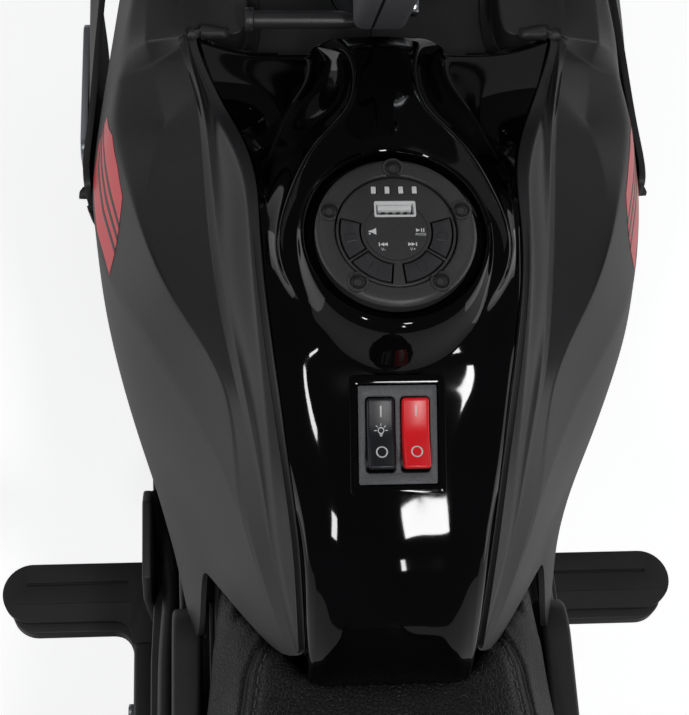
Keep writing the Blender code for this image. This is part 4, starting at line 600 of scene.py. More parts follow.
# Tank: character lines of the right side panel, as (x, y, z) from the steering well back to the seat
SEAM = [
    (0.046, 0.222, 0.513), (0.046, 0.1985, 0.5095), (0.0632, 0.1945, 0.508), (0.0558, 0.1715, 0.507),
    (0.0487, 0.153, 0.511), (0.0436, 0.13, 0.517), (0.0427, 0.1, 0.519),
    (0.0391, 0.068, 0.507), (0.035, 0.04, 0.4914), (0.0315, 0.015, 0.4755),
    (0.0292, -0.0085, 0.4445),
]
RIM = [
    (0.058, 0.222, 0.509), (0.058, 0.2, 0.5085), (0.0655, 0.193, 0.5078), (0.0592, 0.171, 0.506),
    (0.0536, 0.1525, 0.512), (0.0478, 0.13, 0.517), (0.0464, 0.1, 0.5165),
    (0.0433, 0.068, 0.5045), (0.0403, 0.04, 0.487), (0.037, 0.015, 0.467),
    (0.0303, -0.009, 0.44),
]
SHOULDER = [
    (0.068, 0.222, 0.5095), (0.069, 0.201, 0.5075), (0.068, 0.1905, 0.508), (0.0632, 0.1715, 0.5085),
    (0.0609, 0.154, 0.505), (0.059, 0.13, 0.499), (0.0558, 0.1, 0.4955),
    (0.0505, 0.0685, 0.4945), (0.0445, 0.04, 0.4815), (0.0395, 0.015, 0.4615),
    (0.0316, -0.0088, 0.4374),
]
SCOOP_EDGE = [
    (0.079, 0.222, 0.5165), (0.08, 0.202, 0.5125), (0.078, 0.188, 0.5055), (0.0735, 0.168, 0.503),
    (0.0778, 0.154, 0.4975), (0.0808, 0.131, 0.4895), (0.0708, 0.101, 0.4895),
    (0.0548, 0.069, 0.49), (0.05, 0.04, 0.474), (0.0435, 0.015, 0.4555),
    (0.0341, -0.0076, 0.4332),
]
HIP = [
    (0.0835, 0.223, 0.512), (0.088, 0.2025, 0.503), (0.0915, 0.19, 0.493), (0.0933, 0.173, 0.4885),
    (0.0915, 0.157, 0.4882), (0.084, 0.13, 0.4878), (0.0722, 0.1, 0.4885),
    (0.0562, 0.069, 0.4888), (0.0518, 0.04, 0.4718), (0.0446, 0.0155, 0.453),
    (0.0352, -0.0068, 0.4315),
]
FLANK = [
    (0.0915, 0.226, 0.488), (0.096, 0.206, 0.475), (0.099, 0.193, 0.466), (0.1015, 0.175, 0.461),
    (0.1018, 0.155, 0.459), (0.097, 0.129, 0.461), (0.0848, 0.099, 0.474),
    (0.0675, 0.07, 0.4725), (0.054, 0.041, 0.468), (0.0458, 0.0165, 0.4505),
    (0.0363, -0.006, 0.4298),
]
BELLY = [
    (0.092, 0.229, 0.456), (0.097, 0.208, 0.446), (0.0995, 0.193, 0.439), (0.1015, 0.174, 0.436),
    (0.1015, 0.153, 0.437), (0.0988, 0.127, 0.44), (0.091, 0.1, 0.448),
    (0.077, 0.073, 0.445), (0.064, 0.048, 0.44), (0.0535, 0.024, 0.432),
    (0.0436, 0.0032, 0.4212),
]
SILL = [
    (0.09, 0.23, 0.426), (0.0945, 0.209, 0.418), (0.097, 0.193, 0.413), (0.099, 0.172, 0.413),
    (0.099, 0.15, 0.414), (0.097, 0.124, 0.417), (0.0918, 0.098, 0.42),
    (0.0825, 0.0755, 0.419), (0.0715, 0.056, 0.415), (0.0625, 0.039, 0.413),
    (0.0568, 0.0232, 0.4086),
]
HEEL = [
    (0.088, 0.23, 0.404), (0.0915, 0.209, 0.4), (0.0935, 0.192, 0.397), (0.0945, 0.169, 0.397),
    (0.094, 0.146, 0.398), (0.0925, 0.119, 0.399), (0.0888, 0.093, 0.399),
    (0.0825, 0.073, 0.397), (0.0752, 0.057, 0.395), (0.069, 0.043, 0.398),
    (0.0637, 0.0312, 0.401),
]
HEM = [
    (0.082, 0.228, 0.386), (0.086, 0.207, 0.382), (0.088, 0.19, 0.379), (0.0895, 0.166, 0.3795),
    (0.089, 0.143, 0.38), (0.0875, 0.115, 0.38), (0.0845, 0.088, 0.379),
    (0.0795, 0.066, 0.378), (0.0745, 0.047, 0.377), (0.0705, 0.028, 0.379),
    (0.066, 0.013, 0.384),
]
WELL_WALL_BOTTOM = 0.4973
SEAM_FLANGE = 0.006
FLANGE = [(x, y, min(z - SEAM_FLANGE, WELL_WALL_BOTTOM if y > 0.196 else z)) for x, y, z in SEAM]


# Tank cover: half sections from the mid line out to the seam, front edge first
def cover_section(
    y, z, plateau, plateau_z, foot, foot_z, shoulder, shoulder_z, wing_x, wing_z, edge_x, edge_y, edge_z
):
    """Mid line, neck ridge, its foot, the shoulder line, the wing and the edge of one half section."""
    return [
        (0.0, y, z),
        (0.5 * plateau, y, 0.5 * (z + plateau_z)),
        (plateau, y, plateau_z),
        (foot, y, foot_z),
        (shoulder, 0.85 * y + 0.15 * edge_y, shoulder_z),
        (wing_x, 0.7 * y + 0.3 * edge_y, wing_z),
        (edge_x - 0.0002, edge_y, edge_z),
    ]


COVER_ROWS = [
    (0.1845, 0.5225, 0.015, 0.5215, 0.022, 0.5165, 0.029, 0.5105, 0.0455, 0.505, 0.0624, 0.1938, 0.5078),
    (0.176, 0.527, 0.0122, 0.5268, 0.017, 0.52, 0.025, 0.5132, 0.041, 0.5075, 0.0572, 0.1765, 0.5062),
    (0.165, 0.529, 0.0106, 0.529, 0.0155, 0.5205, 0.027, 0.5138, 0.04, 0.5085, 0.0527, 0.1655, 0.508),
    (0.151, 0.5298, 0.0133, 0.5292, 0.02, 0.521, 0.034, 0.5148, 0.0412, 0.5118, 0.0476, 0.1515, 0.511),
    (0.138, 0.5298, 0.0235, 0.529, 0.0295, 0.522, 0.0392, 0.5162, 0.0415, 0.5152, 0.044, 0.138, 0.5145),
    (0.12, 0.529, 0.0315, 0.5285, 0.0355, 0.524, 0.0405, 0.519, 0.0417, 0.5187, 0.0429, 0.12, 0.5186),
    (0.105, 0.528, 0.0355, 0.527, 0.0378, 0.5238, 0.0402, 0.5205, 0.0413, 0.52, 0.0423, 0.105, 0.5192),
    (0.09, 0.526, 0.033, 0.5235, 0.0358, 0.5205, 0.0385, 0.5182, 0.04, 0.5173, 0.0414, 0.09, 0.5163),
    (0.076, 0.5205, 0.0225, 0.5185, 0.029, 0.515, 0.0345, 0.5135, 0.0375, 0.5118, 0.0398, 0.076, 0.5102),
    (0.0665, 0.51, 0.023, 0.5105, 0.029, 0.5102, 0.0335, 0.509, 0.0362, 0.5077, 0.0385, 0.067, 0.5062),
    (0.046, 0.5, 0.019, 0.4996, 0.025, 0.4988, 0.03, 0.4976, 0.0332, 0.4962, 0.0354, 0.0455, 0.4944),
    (0.027, 0.4915, 0.018, 0.4909, 0.0235, 0.4899, 0.028, 0.4884, 0.0308, 0.4868, 0.0327, 0.0265, 0.4845),
    (0.01, 0.4825, 0.017, 0.4816, 0.0225, 0.4802, 0.0268, 0.478, 0.0292, 0.4755, 0.0305, 0.01, 0.4715),
    (-0.002, 0.471, 0.017, 0.4698, 0.0222, 0.4678, 0.0262, 0.4645, 0.0284, 0.4607, 0.0294, -0.0015, 0.4565),
    (-0.0125, 0.456, 0.0168, 0.455, 0.0218, 0.453, 0.0256, 0.4497, 0.0276, 0.4462, 0.0286, -0.0085, 0.4425),
    (-0.018, 0.44, 0.0165, 0.4395, 0.0213, 0.4385, 0.0248, 0.437, 0.0268, 0.436, 0.028, -0.0105, 0.435),
    (-0.0188, 0.427, 0.0165, 0.4272, 0.0213, 0.428, 0.0248, 0.429, 0.0268, 0.4298, 0.028, -0.0112, 0.4305),
]
COVER = [cover_section(*row) for row in COVER_ROWS]


def shifted(line, out=0.0, back=0.0, up=0.0):
    return [(x + out, y - back, z + up) for x, y, z in line]


def blended(first, second, share, up=0.0):
    """A line part of the way from one character line to another."""
    result = []
    for a, b in zip(first, second):
        x, y, z = Vector(a).lerp(Vector(b), share)
        result.append((x, y, z + up))
    return result


def fading(line, amounts, out, up):
    """Moves each point of a line by its own share of (out, up)."""
    return [(x + out * k, y, z + up * k) for (x, y, z), k in zip(line, amounts)]


STEP_POINTS = [
    # row and column of the panel's cage, then the point:
    # the flat pad in front, its step, and the plane that tilts outward
    (1, 5, (0.0672, 0.2012, 0.5092)),
    (1, 6, (0.07, 0.2014, 0.5094)),
    (1, 7, (0.0745, 0.2018, 0.5098)),
    (1, 8, (0.08, 0.202, 0.5104)),
    (2, 4, (0.0662, 0.1955, 0.5083)),
    (2, 5, (0.0676, 0.195, 0.5083)),
    (2, 6, (0.0698, 0.1945, 0.5082)),
    (2, 7, (0.0748, 0.1938, 0.508)),
    (2, 8, (0.0806, 0.1928, 0.5077)),
    (2, 9, (0.0893, 0.195, 0.4965)),
    (3, 5, (0.0668, 0.1918, 0.5072)),
    (3, 6, (0.069, 0.1912, 0.5054)),
    (3, 7, (0.0735, 0.1902, 0.5025)),
    (3, 8, (0.079, 0.1888, 0.4988)),
    (3, 9, (0.0915, 0.189, 0.49)),
    (4, 7, (0.069, 0.1692, 0.5035)),
    (4, 8, (0.0752, 0.1664, 0.4985)),
]


def tank_sides():
    """Both matt side panels: the leaf-shaped hollow, its bead, the flat scoop and the flank creases."""
    reach = [0.0, 0.0, 0.0, 0.15, 0.7, 1.0, 1.0, 0.7, 0.3, 0.2, 0.0]
    bead_foot = fading(SHOULDER, reach, 0.0012, -0.003)
    bead_top = fading(SHOULDER, [0.4, 0.4, 0.4, 0.6, 1.0, 1.0, 1.0, 0.8, 0.6, 0.5, 0.4], -0.0014, 0.0018)
    leaf = fading(blended(bead_top, RIM, 0.5), reach, 0.0, -0.003)
    scoop = blended(bead_foot, SCOOP_EDGE, 0.5)
    ledge = shifted(FLANGE, out=-0.0045, up=0.0012)
    lines = [
        ledge, FLANGE, SEAM, RIM, leaf, bead_top, bead_foot, scoop, SCOOP_EDGE, HIP, FLANK, BELLY, SILL,
        HEEL, HEM,
    ]
    rows = [list(row) for row in zip(*lines)]
    rows.insert(2, [tuple(Vector(a).lerp(Vector(b), 0.55)) for a, b in zip(rows[1], rows[2])])
    for row, column, point in STEP_POINTS:
        rows[row][column] = point
    folds = {1: 0.5, 2: 0.75, 3: 0.42, 5: 0.5, 6: 0.62, 8: 0.55, 9: 0.42, 10: 0.55, 13: 0.3}
    extra = {(4, 6): 0.65, (4, 7): 0.65}
    extra.update({(2, column): 0.62 for column in (5, 6, 7, 8)})
    extra.update({(3, column): 0.55 for column in (6, 7, 8)})
    right = skin_of("tank_panel_right", rows, folds, 4, extra)
    apply(right, "SOLIDIFY", thickness=SKIN - 0.0003, offset=-1.0, use_even_offset=False)
    both_sides(right, "chassis", "body_black", "tank_side", angle=60.0)
    return tree_of(right)


VALLEY = [
    # crease between the wing and the raised neck of the cover, front to back: x and z
    (0.024, 0.51), (0.0246, 0.5088), (0.0312, 0.5068), (0.0364, 0.5082), (0.0401, 0.5112),
]


def tank_cover():
    """The gloss cover with a rolled front edge and openings for the player's dish and the switch."""
    half = [list(row) for row in COVER]
    for row, (x, z) in zip(half, VALLEY):
        row[4] = (x, row[4][1], z)
    for row, flat in zip(half, (1.0, 1.0, 1.0, 1.0, 0.9, 0.7, 0.5)):
        shoulder = Vector(row[4])
        edge = Vector(row[6])
        wing = Vector(row[5])
        share = (wing.x - shoulder.x) / (edge.x - shoulder.x)
        level = shoulder.z + (edge.z - shoulder.z) * share
        row[5] = (wing.x, wing.y, wing.z + (level - wing.z) * flat)
    for row, share in zip(half[-4:], (0.25, 0.5, 0.75, 1.0)):
        row[:] = [(x * (1.0 + TAIL_SPREAD * share), y, z) for x, y, z in row]
    half.append([(x, y - 0.0026, z - 0.0085) for x, y, z in half[-1]])
    lip = [(x, y + 0.0016, z - 0.0075) for x, y, z in half[0]]
    half.insert(0, lip)
    rows = [[(-x, y, z) for x, y, z in reversed(row[1:])] + row for row in half]
    middle = len(COVER[0]) - 1
    folds = {middle - 2: 0.34, middle + 2: 0.34, middle - 4: 0.62, middle + 4: 0.62}
    front = {(1, column): 0.45 for column in range(2 * middle)}
    cover = skin_of("tank_top", rows, folds, 4, front)
    skin = tree_of(cover)
    apply(cover, "SOLIDIFY", thickness=SKIN - 0.0004, offset=-1.0, use_even_offset=False)
    hole = rod("dish_opening", DISH_RADIUS + 0.0012, -0.012, 0.02, sides=96)
    rest(hole, PANEL_PLACE)
    window = block("switch_opening", (BEZEL_WIDTH + 0.0018, BEZEL_LENGTH + 0.0018, 0.03))
    rest(window, SWITCH_PLACE)
    carve(cover, hole, window)
    settle(cover, "chassis", "gloss_black", stands_for=["tank_cover"], angle=50.0)
    return skin


def height_on(skin, place, x, y):
    """Height of the cover above a tilted frame's plane at (x, y) of that frame."""
    start = place @ Vector((x, y, 0.05))
    direction = place.to_3x3() @ Vector((0.0, 0.0, -1.0))
    point = skin.ray_cast(start, direction)[0]
    if point is None:
        return 0.0
    return (place.inverted() @ point).z


def dish_lip(skin):
    """Rounded lip of the dish: its rim lies in the cover's surface, its wall drops to the dish floor."""
    steps = 120
    collar = [1.0, 0.88, 0.76, 0.64, 0.52, 0.4, 0.28, 0.16, 0.06]
    wall = [(0.0004, -0.00018), (0.0, -0.0006), (-0.0002, -0.0012)]
    floor = [(-0.0003, -DISH_DEPTH + 0.0006), (-0.0009, -DISH_DEPTH), (-0.008, -DISH_DEPTH)]
    points = []
    for k in range(steps):
        angle = TWO_PI * k / steps
        c = math.cos(angle)
        s = math.sin(angle)
        width = COLLAR_SIDE + (COLLAR_BACK - COLLAR_SIDE) * max(0.0, -s) ** 2
        lip_radius = DISH_RADIUS + 0.001
        rim = max(height_on(skin, PANEL_PLACE, lip_radius * c, lip_radius * s), DISH_RIM)
        for out in collar:
            radius = DISH_RADIUS + width * out
            base = height_on(skin, PANEL_PLACE, radius * c, radius * s)
            share = (collar[0] - out) / (collar[0] - collar[-1])
            share = share * share * (3.0 - 2.0 * share)
            lift = 0.0003 * share - 0.00012 * (1.0 - share)
            points.append((radius * c, radius * s, base + (rim - base) * share + lift))
        for out, rise in wall:
            points.append(((DISH_RADIUS + out) * c, (DISH_RADIUS + out) * s, rim + 0.0003 + rise))
        for out, rise in floor:
            points.append(((DISH_RADIUS + out) * c, (DISH_RADIUS + out) * s, rise))
    count = len(collar) + len(wall) + len(floor)
    faces = []
    for k in range(steps):
        after = (k + 1) % steps
        for m in range(count - 1):
            faces.append((k * count + m, after * count + m, after * count + m + 1, k * count + m + 1))
    lip = edited(mesh_piece("player_dish", points, faces))
    face_towards(lip, (0.0, 0.0, 1.0), face=3)
    apply(lip, "SOLIDIFY", thickness=0.0008, offset=-1.0)
    settle_on_panel(lip, "gloss_black", angle=70.0)


def rounded_rectangle(width, length, radius, corner_steps=6):
    outline = []
    for k, (sx, sy) in enumerate(((1, 1), (-1, 1), (-1, -1), (1, -1))):
        for j in range(corner_steps + 1):
            angle = math.pi / 2 * (k + j / corner_steps)
            x = sx * (width / 2 - radius) + radius * math.cos(angle)
            y = sy * (length / 2 - radius) + radius * math.sin(angle)
            outline.append((x, y))
    return outline


def switch_frame():
    """Raised gloss border round the switch, with rounded inner and outer edges."""
    width = BEZEL_WIDTH + 2 * FRAME_BORDER
    length = BEZEL_LENGTH + 2 * FRAME_BORDER + 0.0012
    rim = plate("switch_border", rounded_rectangle(width, length, 0.0016), -0.0062, 0.0013)
    opening = rounded_rectangle(BEZEL_WIDTH + 0.0007, BEZEL_LENGTH + 0.0007, 0.0007)
    carve(rim, plate("border_window", opening, -0.01, 0.01))
    round_edges(rim, 0.00055, 3, angle=50.0)
    settle(rim, "chassis", "gloss_black", angle=40.0, place=SWITCH_PLACE)


# Player
SCREW_PLACES = [
    (SCREW_CIRCLE * math.cos(math.radians(degrees)), SCREW_CIRCLE * math.sin(math.radians(degrees)))
    for degrees in range(90, 450, 72)
]


def player_ring():
    """Clamping ring with five screw bosses, and its socket screws."""
    low = -DISH_DEPTH + 0.0005
    top = 0.0008
    bore = FACE_RADIUS + 0.0004
    profile = [
        (bore, low),
        (bore, top - 0.0004),
        (FACE_RADIUS + 0.0008, top),
        (FACE_RADIUS + 0.0048, top),
        (RING_RADIUS - 0.0006, top - 0.0007),
        (RING_RADIUS, top - 0.0016),
        (RING_RADIUS, low),
    ]
    ring = lathe("player_clamp_ring", profile, 120, closed=True)
    bosses = [rod("boss", 0.0034, -0.003, top + 0.0007, centre, 32, 0.0003) for centre in SCREW_PLACES]
    carve(ring, *bosses, operation="UNION")
    seats = [rod("screw_seat", 0.0027, top - 0.0004, 0.006, centre, 32) for centre in SCREW_PLACES]
    carve(ring, *seats, rod("ring_bore", bore, -0.01, 0.01, sides=120))
    settle_on_panel(ring, "panel_black", ["panel_ring"], angle=32.0)
    head = rod("screw_head", 0.0025, 0.0004, 0.0019, sides=32, bevel=0.0005)
    carve(head, rod("hex_socket", 0.0015, 0.0007, 0.004, sides=6))
    heads = []
    for x, y in SCREW_PLACES:
        twin = copied(head, "player_screw")
        twin.matrix_world = Matrix.Translation((x, y, 0.0))
        heads.append(twin)
    bpy.data.objects.remove(head)
    settle_on_panel(merged("player_screws", heads), "screw_black")


def sector_outline(inner, outer, start, end, edge=0.0, steps=14):
    outline = []
    for radius, back in ((outer - edge, False), (inner + edge, True)):
        first = math.radians(start) + edge / radius
        last = math.radians(end) - edge / radius
        for k in range(steps + 1):
            t = 1 - k / steps if back else k / steps
            angle = first + (last - first) * t
            outline.append((radius * math.cos(angle), radius * math.sin(angle)))
    return outline


BUTTON_SPANS = {
    "mode": (-33.0, 16.0),
    "next": (-84.0, -35.0),
    "previous": (-145.0, -96.0),
    "horn": (-196.0, -147.0),
}


def player_face():
    """Face disc with pockets for the buttons, the USB port and four lamp slots."""
    profile = [
        (0.0, 0.0), (FACE_RADIUS - 0.0006, 0.0), (FACE_RADIUS - 0.0002, -0.0002), (FACE_RADIUS, -0.0006)
    ]
    profile += [(FACE_RADIUS, -0.012), (0.0, -0.012)]
    face = lathe("player_face", profile, 120)
    pockets = []
    for name, (start, end) in BUTTON_SPANS.items():
        outline = sector_outline(BUTTON_INNER_RADIUS, BUTTON_OUTER_RADIUS, start, end)
        pockets.append(plate(f"pocket_{name}", outline, -0.0045, 0.003))
    pockets.append(block("port_cut", (0.0136, 0.0058, 0.012), (0.0, USB_Y, -0.0045)))
    for k in range(4):
        pockets.append(block(f"lamp_cut_{k}", (0.0021, 0.003, 0.006), (LAMP_PITCH * (k - 1.5), LAMP_Y, 0.0)))
    inner = BUTTON_INNER_RADIUS - 0.0012
    outer = BUTTON_INNER_RADIUS - 0.0009
    groove = [(inner, -0.0003), (inner, 0.002), (outer, 0.002), (outer, -0.0003)]
    carve(face, *pockets, lathe("rib_groove", groove, 96, closed=True))
    settle_on_panel(face, "panel_black", ["panel_face"])


MARK_LIFT = 0.00004
MARK_SIZE = 0.0013
MARK_BAR = 0.00035


def label(name, text, size, x, y):
    """Raised print on the player: a text made a mesh."""
    deselect()
    bpy.ops.object.text_add(location=(0.0, 0.0, 0.0))
    words = bpy.context.object
    words.data.body = text
    words.data.size = size
    words.data.align_x = "CENTER"
    words.data.align_y = "CENTER"
    words.data.extrude = 0.00002
    words.data.resolution_u = 3
    activate(words)
    bpy.ops.object.convert(target="MESH")
    piece = named(name)
    piece.matrix_world = Matrix.Translation((x, y, MARK_LIFT))
    settle_on_panel(piece, "print_white", angle=35.0)


def mark_from(name, outlines):
    """Raised print on the player from flat outlines."""
    shapes = [plate("mark", outline, MARK_LIFT - 0.00002, MARK_LIFT + 0.00003) for outline in outlines]
    settle_on_panel(merged(name, shapes), "print_white", angle=35.0)


def triangle_at(x, y, size, way):
    back = x - 0.5 * size * way
    return [(back, y + 0.5 * size), (back, y - 0.5 * size), (x + 0.5 * size * way, y)]


def bar_at(x, y, width, height):
    left = x - width / 2
    right = x + width / 2
    return [(left, y - height / 2), (right, y - height / 2), (right, y + height / 2), (left, y + height / 2)]


def player_buttons():
    """Four keys round the face."""
    reach = (BUTTON_INNER_RADIUS + BUTTON_OUTER_RADIUS) / 2
    for name, (start, end) in BUTTON_SPANS.items():
        outline = sector_outline(BUTTON_INNER_RADIUS, BUTTON_OUTER_RADIUS, start, end, 0.0006)
        key = plate(f"{name}_key", outline, -0.0029, 0.0003)
        round_edges(key, 0.0003, 2, angle=50.0)
        badge = block("key_square", (0.0036, 0.0028, 0.0006), bevel=0.0002, segments=1)
        turn = Matrix.Rotation(math.radians((start + end) / 2), 4, "Z")
        rest(badge, turn @ Matrix.Translation((reach, 0.0, 0.0002)))
        key = merged(f"{name}_key", [key, badge])
        settle(
            key, f"{name}_button", "button_black", stands_for=[f"button_{name}"], angle=30.0,
            place=PANEL_PLACE,
        )


def player_marks():
    """Generic player marks printed on the face beside the keys."""
    x, y = MODE_MARK
    bars = [bar_at(x + away, y, MARK_BAR, MARK_SIZE) for away in (0.0005, 0.0012)]
    mark_from("mode_mark", [triangle_at(x - 0.0006, y, MARK_SIZE, 1), *bars])
    label("mode_word", "MODE", 0.0012, x + 0.0002, y - 0.0015)
    for name, word, (x, y), way in (("next", "V+", NEXT_MARK, 1), ("previous", "V-", PREVIOUS_MARK, -1)):
        shapes = [triangle_at(x + away * way, y, MARK_SIZE, way) for away in (-0.0008, 0.0003)]
        shapes.append(bar_at(x + 0.0012 * way, y, MARK_BAR, MARK_SIZE))
        mark_from(f"{name}_mark", shapes)
        label(f"{name}_word", word, 0.0016, x, y - 0.0018)
    x, y = HORN_MARK
    horn = [(-0.0016, 0.0002), (-0.0006, 0.0004), (0.0008, 0.0012), (0.0008, -0.0012), (-0.0006, -0.0004)]
    horn.append((-0.0016, -0.0002))
    mark_from("horn_mark", [moved(horn, x, y), bar_at(x - 0.0013, y - 0.0008, 0.0005, 0.0006)])


def usb_port():
    """The port's shell with its rolled edge, the tongue inside and its four contacts."""
    shell = plate("usb_shell", moved(rounded_rectangle(0.0134, 0.0056, 0.0006), 0.0, USB_Y), -0.0098, 0.0003)
    mouth = moved(rounded_rectangle(0.012, 0.0042, 0.0003), 0.0, USB_Y)
    carve(shell, plate("usb_mouth_cut", mouth, -0.009, 0.003))
    round_edges(shell, 0.0002, 2, angle=60.0)
    settle_on_panel(shell, "white_lens", ["usb_socket"])
    tongue = block("usb_tongue", (0.0108, 0.0018, 0.0082), (0.0, USB_Y + 0.0009, -0.005), bevel=0.0002)
    settle_on_panel(tongue, "white_lens")
    places = [(0.0024 * (k - 1.5), USB_Y - 0.0001, -0.0052) for k in range(4)]
    pins = [block("pin", (0.0012, 0.0003, 0.006), place) for place in places]
    settle_on_panel(merged("usb_contacts", pins), "case_grey")


def lamp_bars():
    places = [(LAMP_PITCH * (k - 1.5), LAMP_Y, -0.0015) for k in range(4)]
    bars = [block("bar", (0.0016, 0.0025, 0.0032), place, 0.0002) for place in places]
    settle_on_panel(merged("charge_lamps", bars), "white_lens", ["led_bars"])


# Switch
def rocker_top(y):
    """Height of the rocker's top above its pivot: two straight slopes with a rounded valley."""
    share = abs(y) / (ROCKER_LENGTH / 2)
    return 0.0028 + 0.0024 * max(0.0, share - 0.06) ** 1.25


def rocker_side(steps=8):
    """Side view of a rocker: a shallow valley on top and a round belly."""
    half = ROCKER_LENGTH / 2
    stations = [half * (k / steps - 1) for k in range(2 * steps + 1)]
    belly = [(half, 0.0022), (0.55 * half, -0.003), (0.0, -0.0048), (-0.55 * half, -0.003), (-half, 0.0022)]
    return [(y, rocker_top(y)) for y in stations] + belly


def rocker(kind, x, finish, marks):
    """One rocker tilted to its rest, with its raised marks laid on the slopes of its top."""
    name = f"{kind}_rocker_key"
    body = f"{kind}_rocker"
    piece = extruded(name, [(-ROCKER_WIDTH / 2, y, z) for y, z in rocker_side()], (ROCKER_WIDTH, 0.0, 0.0))
    round_edges(piece, 0.0011, 4, angle=45.0)
    place = SWITCH_PLACE @ Matrix.Translation((x, 0.0, 0.0002)) @ Matrix.Rotation(-ROCKER_THROW / 2, 4, "X")
    settle(piece, body, finish, stands_for=[f"rocker_{kind}"], angle=25.0, place=place)
    for word, shapes in marks.items():
        flats = []
        for outer, hole in shapes:
            flat = plate("flat", outer, 0.0, 0.00006)
            if hole:
                carve(flat, plate("mark_hole", hole, -0.001, 0.001))
            flats.append(flat)
        mark = merged(f"{name}_{word}", flats)
        apply(mark, "TRIANGULATE")
        for vertex in mark.data.vertices:
            vertex.co.z += rocker_top(vertex.co.y) + 0.00001
        settle(mark, body, "print_white", angle=80.0, place=place)


def circle_outline(x, y, radius, steps=32):
    angles = [TWO_PI * k / steps for k in range(steps)]
    return [(x + radius * math.cos(angle), y + radius * math.sin(angle)) for angle in angles]


def ray_at(x, y, angle, near, far, width):
    c = math.cos(angle)
    s = math.sin(angle)
    corners = [(near, -width / 2), (far, -width / 2), (far, width / 2), (near, width / 2)]
    return [(x + c * u - s * v, y + s * u + c * v) for u, v in corners]


def lamp_symbol(y):
    """A small lamp with its cap and rays."""
    shapes = [(circle_outline(0.0, y, 0.00105, 28), circle_outline(0.0, y, 0.00078, 28))]
    shapes.append((bar_at(0.0, y - 0.0012, 0.0011, 0.00028), None))
    shapes.append((bar_at(0.0, y - 0.0017, 0.0008, 0.00028), None))
    for degrees in (0, 45, 90, 135, 180):
        shapes.append((ray_at(0.0, y, math.radians(degrees), 0.0014, 0.0022, 0.00025), None))
    return shapes


def switches():
    """Speckled bezel with two bays, and the rockers with their marks."""
    bezel = plate("switch_face", rounded_rectangle(BEZEL_WIDTH, BEZEL_LENGTH, 0.0006), -0.0004, 0.0011)
    case = block("switch_body", (BEZEL_WIDTH - 0.002, BEZEL_LENGTH - 0.003, 0.015), (0.0, 0.0, -0.0075))
    carve(bezel, case, operation="UNION")
    bay = rounded_rectangle(ROCKER_WIDTH + 0.0007, ROCKER_LENGTH + 0.0018, 0.0014)
    carve(bezel, *[plate("bay", moved(bay, side * ROCKER_PITCH / 2, 0.0), -0.008, 0.01) for side in (-1, 1)])
    round_edges(bezel, 0.00035, 2, angle=55.0)
    settle(bezel, "chassis", "bezel_grey", stands_for=["switch_bezel"], place=SWITCH_PLACE)
    stroke = (bar_at(0.0, 0.007, 0.0005, 0.0036), None)
    ring = (circle_outline(0.0, -0.006, 0.0019), circle_outline(0.0, -0.006, 0.00145))
    marks = {"on": [stroke], "off": [ring]}
    rocker("light", -ROCKER_PITCH / 2, "rocker_black", {**marks, "lamp": lamp_symbol(0.001)})
    rocker("power", ROCKER_PITCH / 2, "red", marks)


# Seat: its half width and its crown along the machine, as (y, size)
SEAT_BOTTOM = 0.3967
SEAT_HALF_WIDTHS = [
    (0.03, 0.062), (0.0, 0.0655), (-0.018, 0.0675), (-0.06, 0.076), (-0.12, 0.086), (-0.19, 0.085),
    (-0.25, 0.074), (SEAT_REAR_Y, 0.06),
]
SEAT_CROWN = [
    (0.03, 0.436), (-0.02, 0.4325), (-0.06, 0.428), (-0.12, 0.425), (-0.18, 0.427),
    (-0.23, 0.437), (SEAT_REAR_Y, 0.452),
]
SEAT_DROP = 0.034


def read_line(pairs, at):
    """Straight interpolation in a list of (place, value) pairs, whichever way it runs."""
    pairs = sorted(pairs)
    if at <= pairs[0][0]:
        return pairs[0][1]
    for (a, low), (b, high) in zip(pairs, pairs[1:]):
        if at <= b:
            return low + (high - low) * (at - a) / (b - a)
    return pairs[-1][1]


PAD_FRONT = [
    # front edge of the cushion, tucked under the tank's tail: distance from the middle, and y
    (0.0, -0.014), (0.024, -0.013), (0.0295, -0.0095), (0.0372, -0.004), (0.0442, 0.004),
    (0.056, 0.023), (0.0626, 0.0325),
]
PAD_BOTTOM = 0.387


def seat_point(share, t, shrink=0.0):
    """A point of the seat's top: share runs across from -1 to 1, t back from 0 to 1."""
    reach = PAD_FRONT[-1][0]
    front_y = read_line(PAD_FRONT, abs(share) * reach)
    y = front_y + (SEAT_REAR_Y - front_y) * t
    width = reach + (read_line(SEAT_HALF_WIDTHS, y) - reach) * min(1.0, t / 0.06)
    from_edge = min(t, 1.0 - t) * abs(SEAT_REAR_Y)
    drop = SEAT_DROP * abs(share) ** 3.6
    roll = 0.003 * max(0.0, 1.0 - from_edge / 0.006) ** 2
    z = max(read_line(SEAT_CROWN, y) - drop - roll, SEAT_BOTTOM + 0.002)
    return Vector((share * (width - shrink), y, z - shrink))


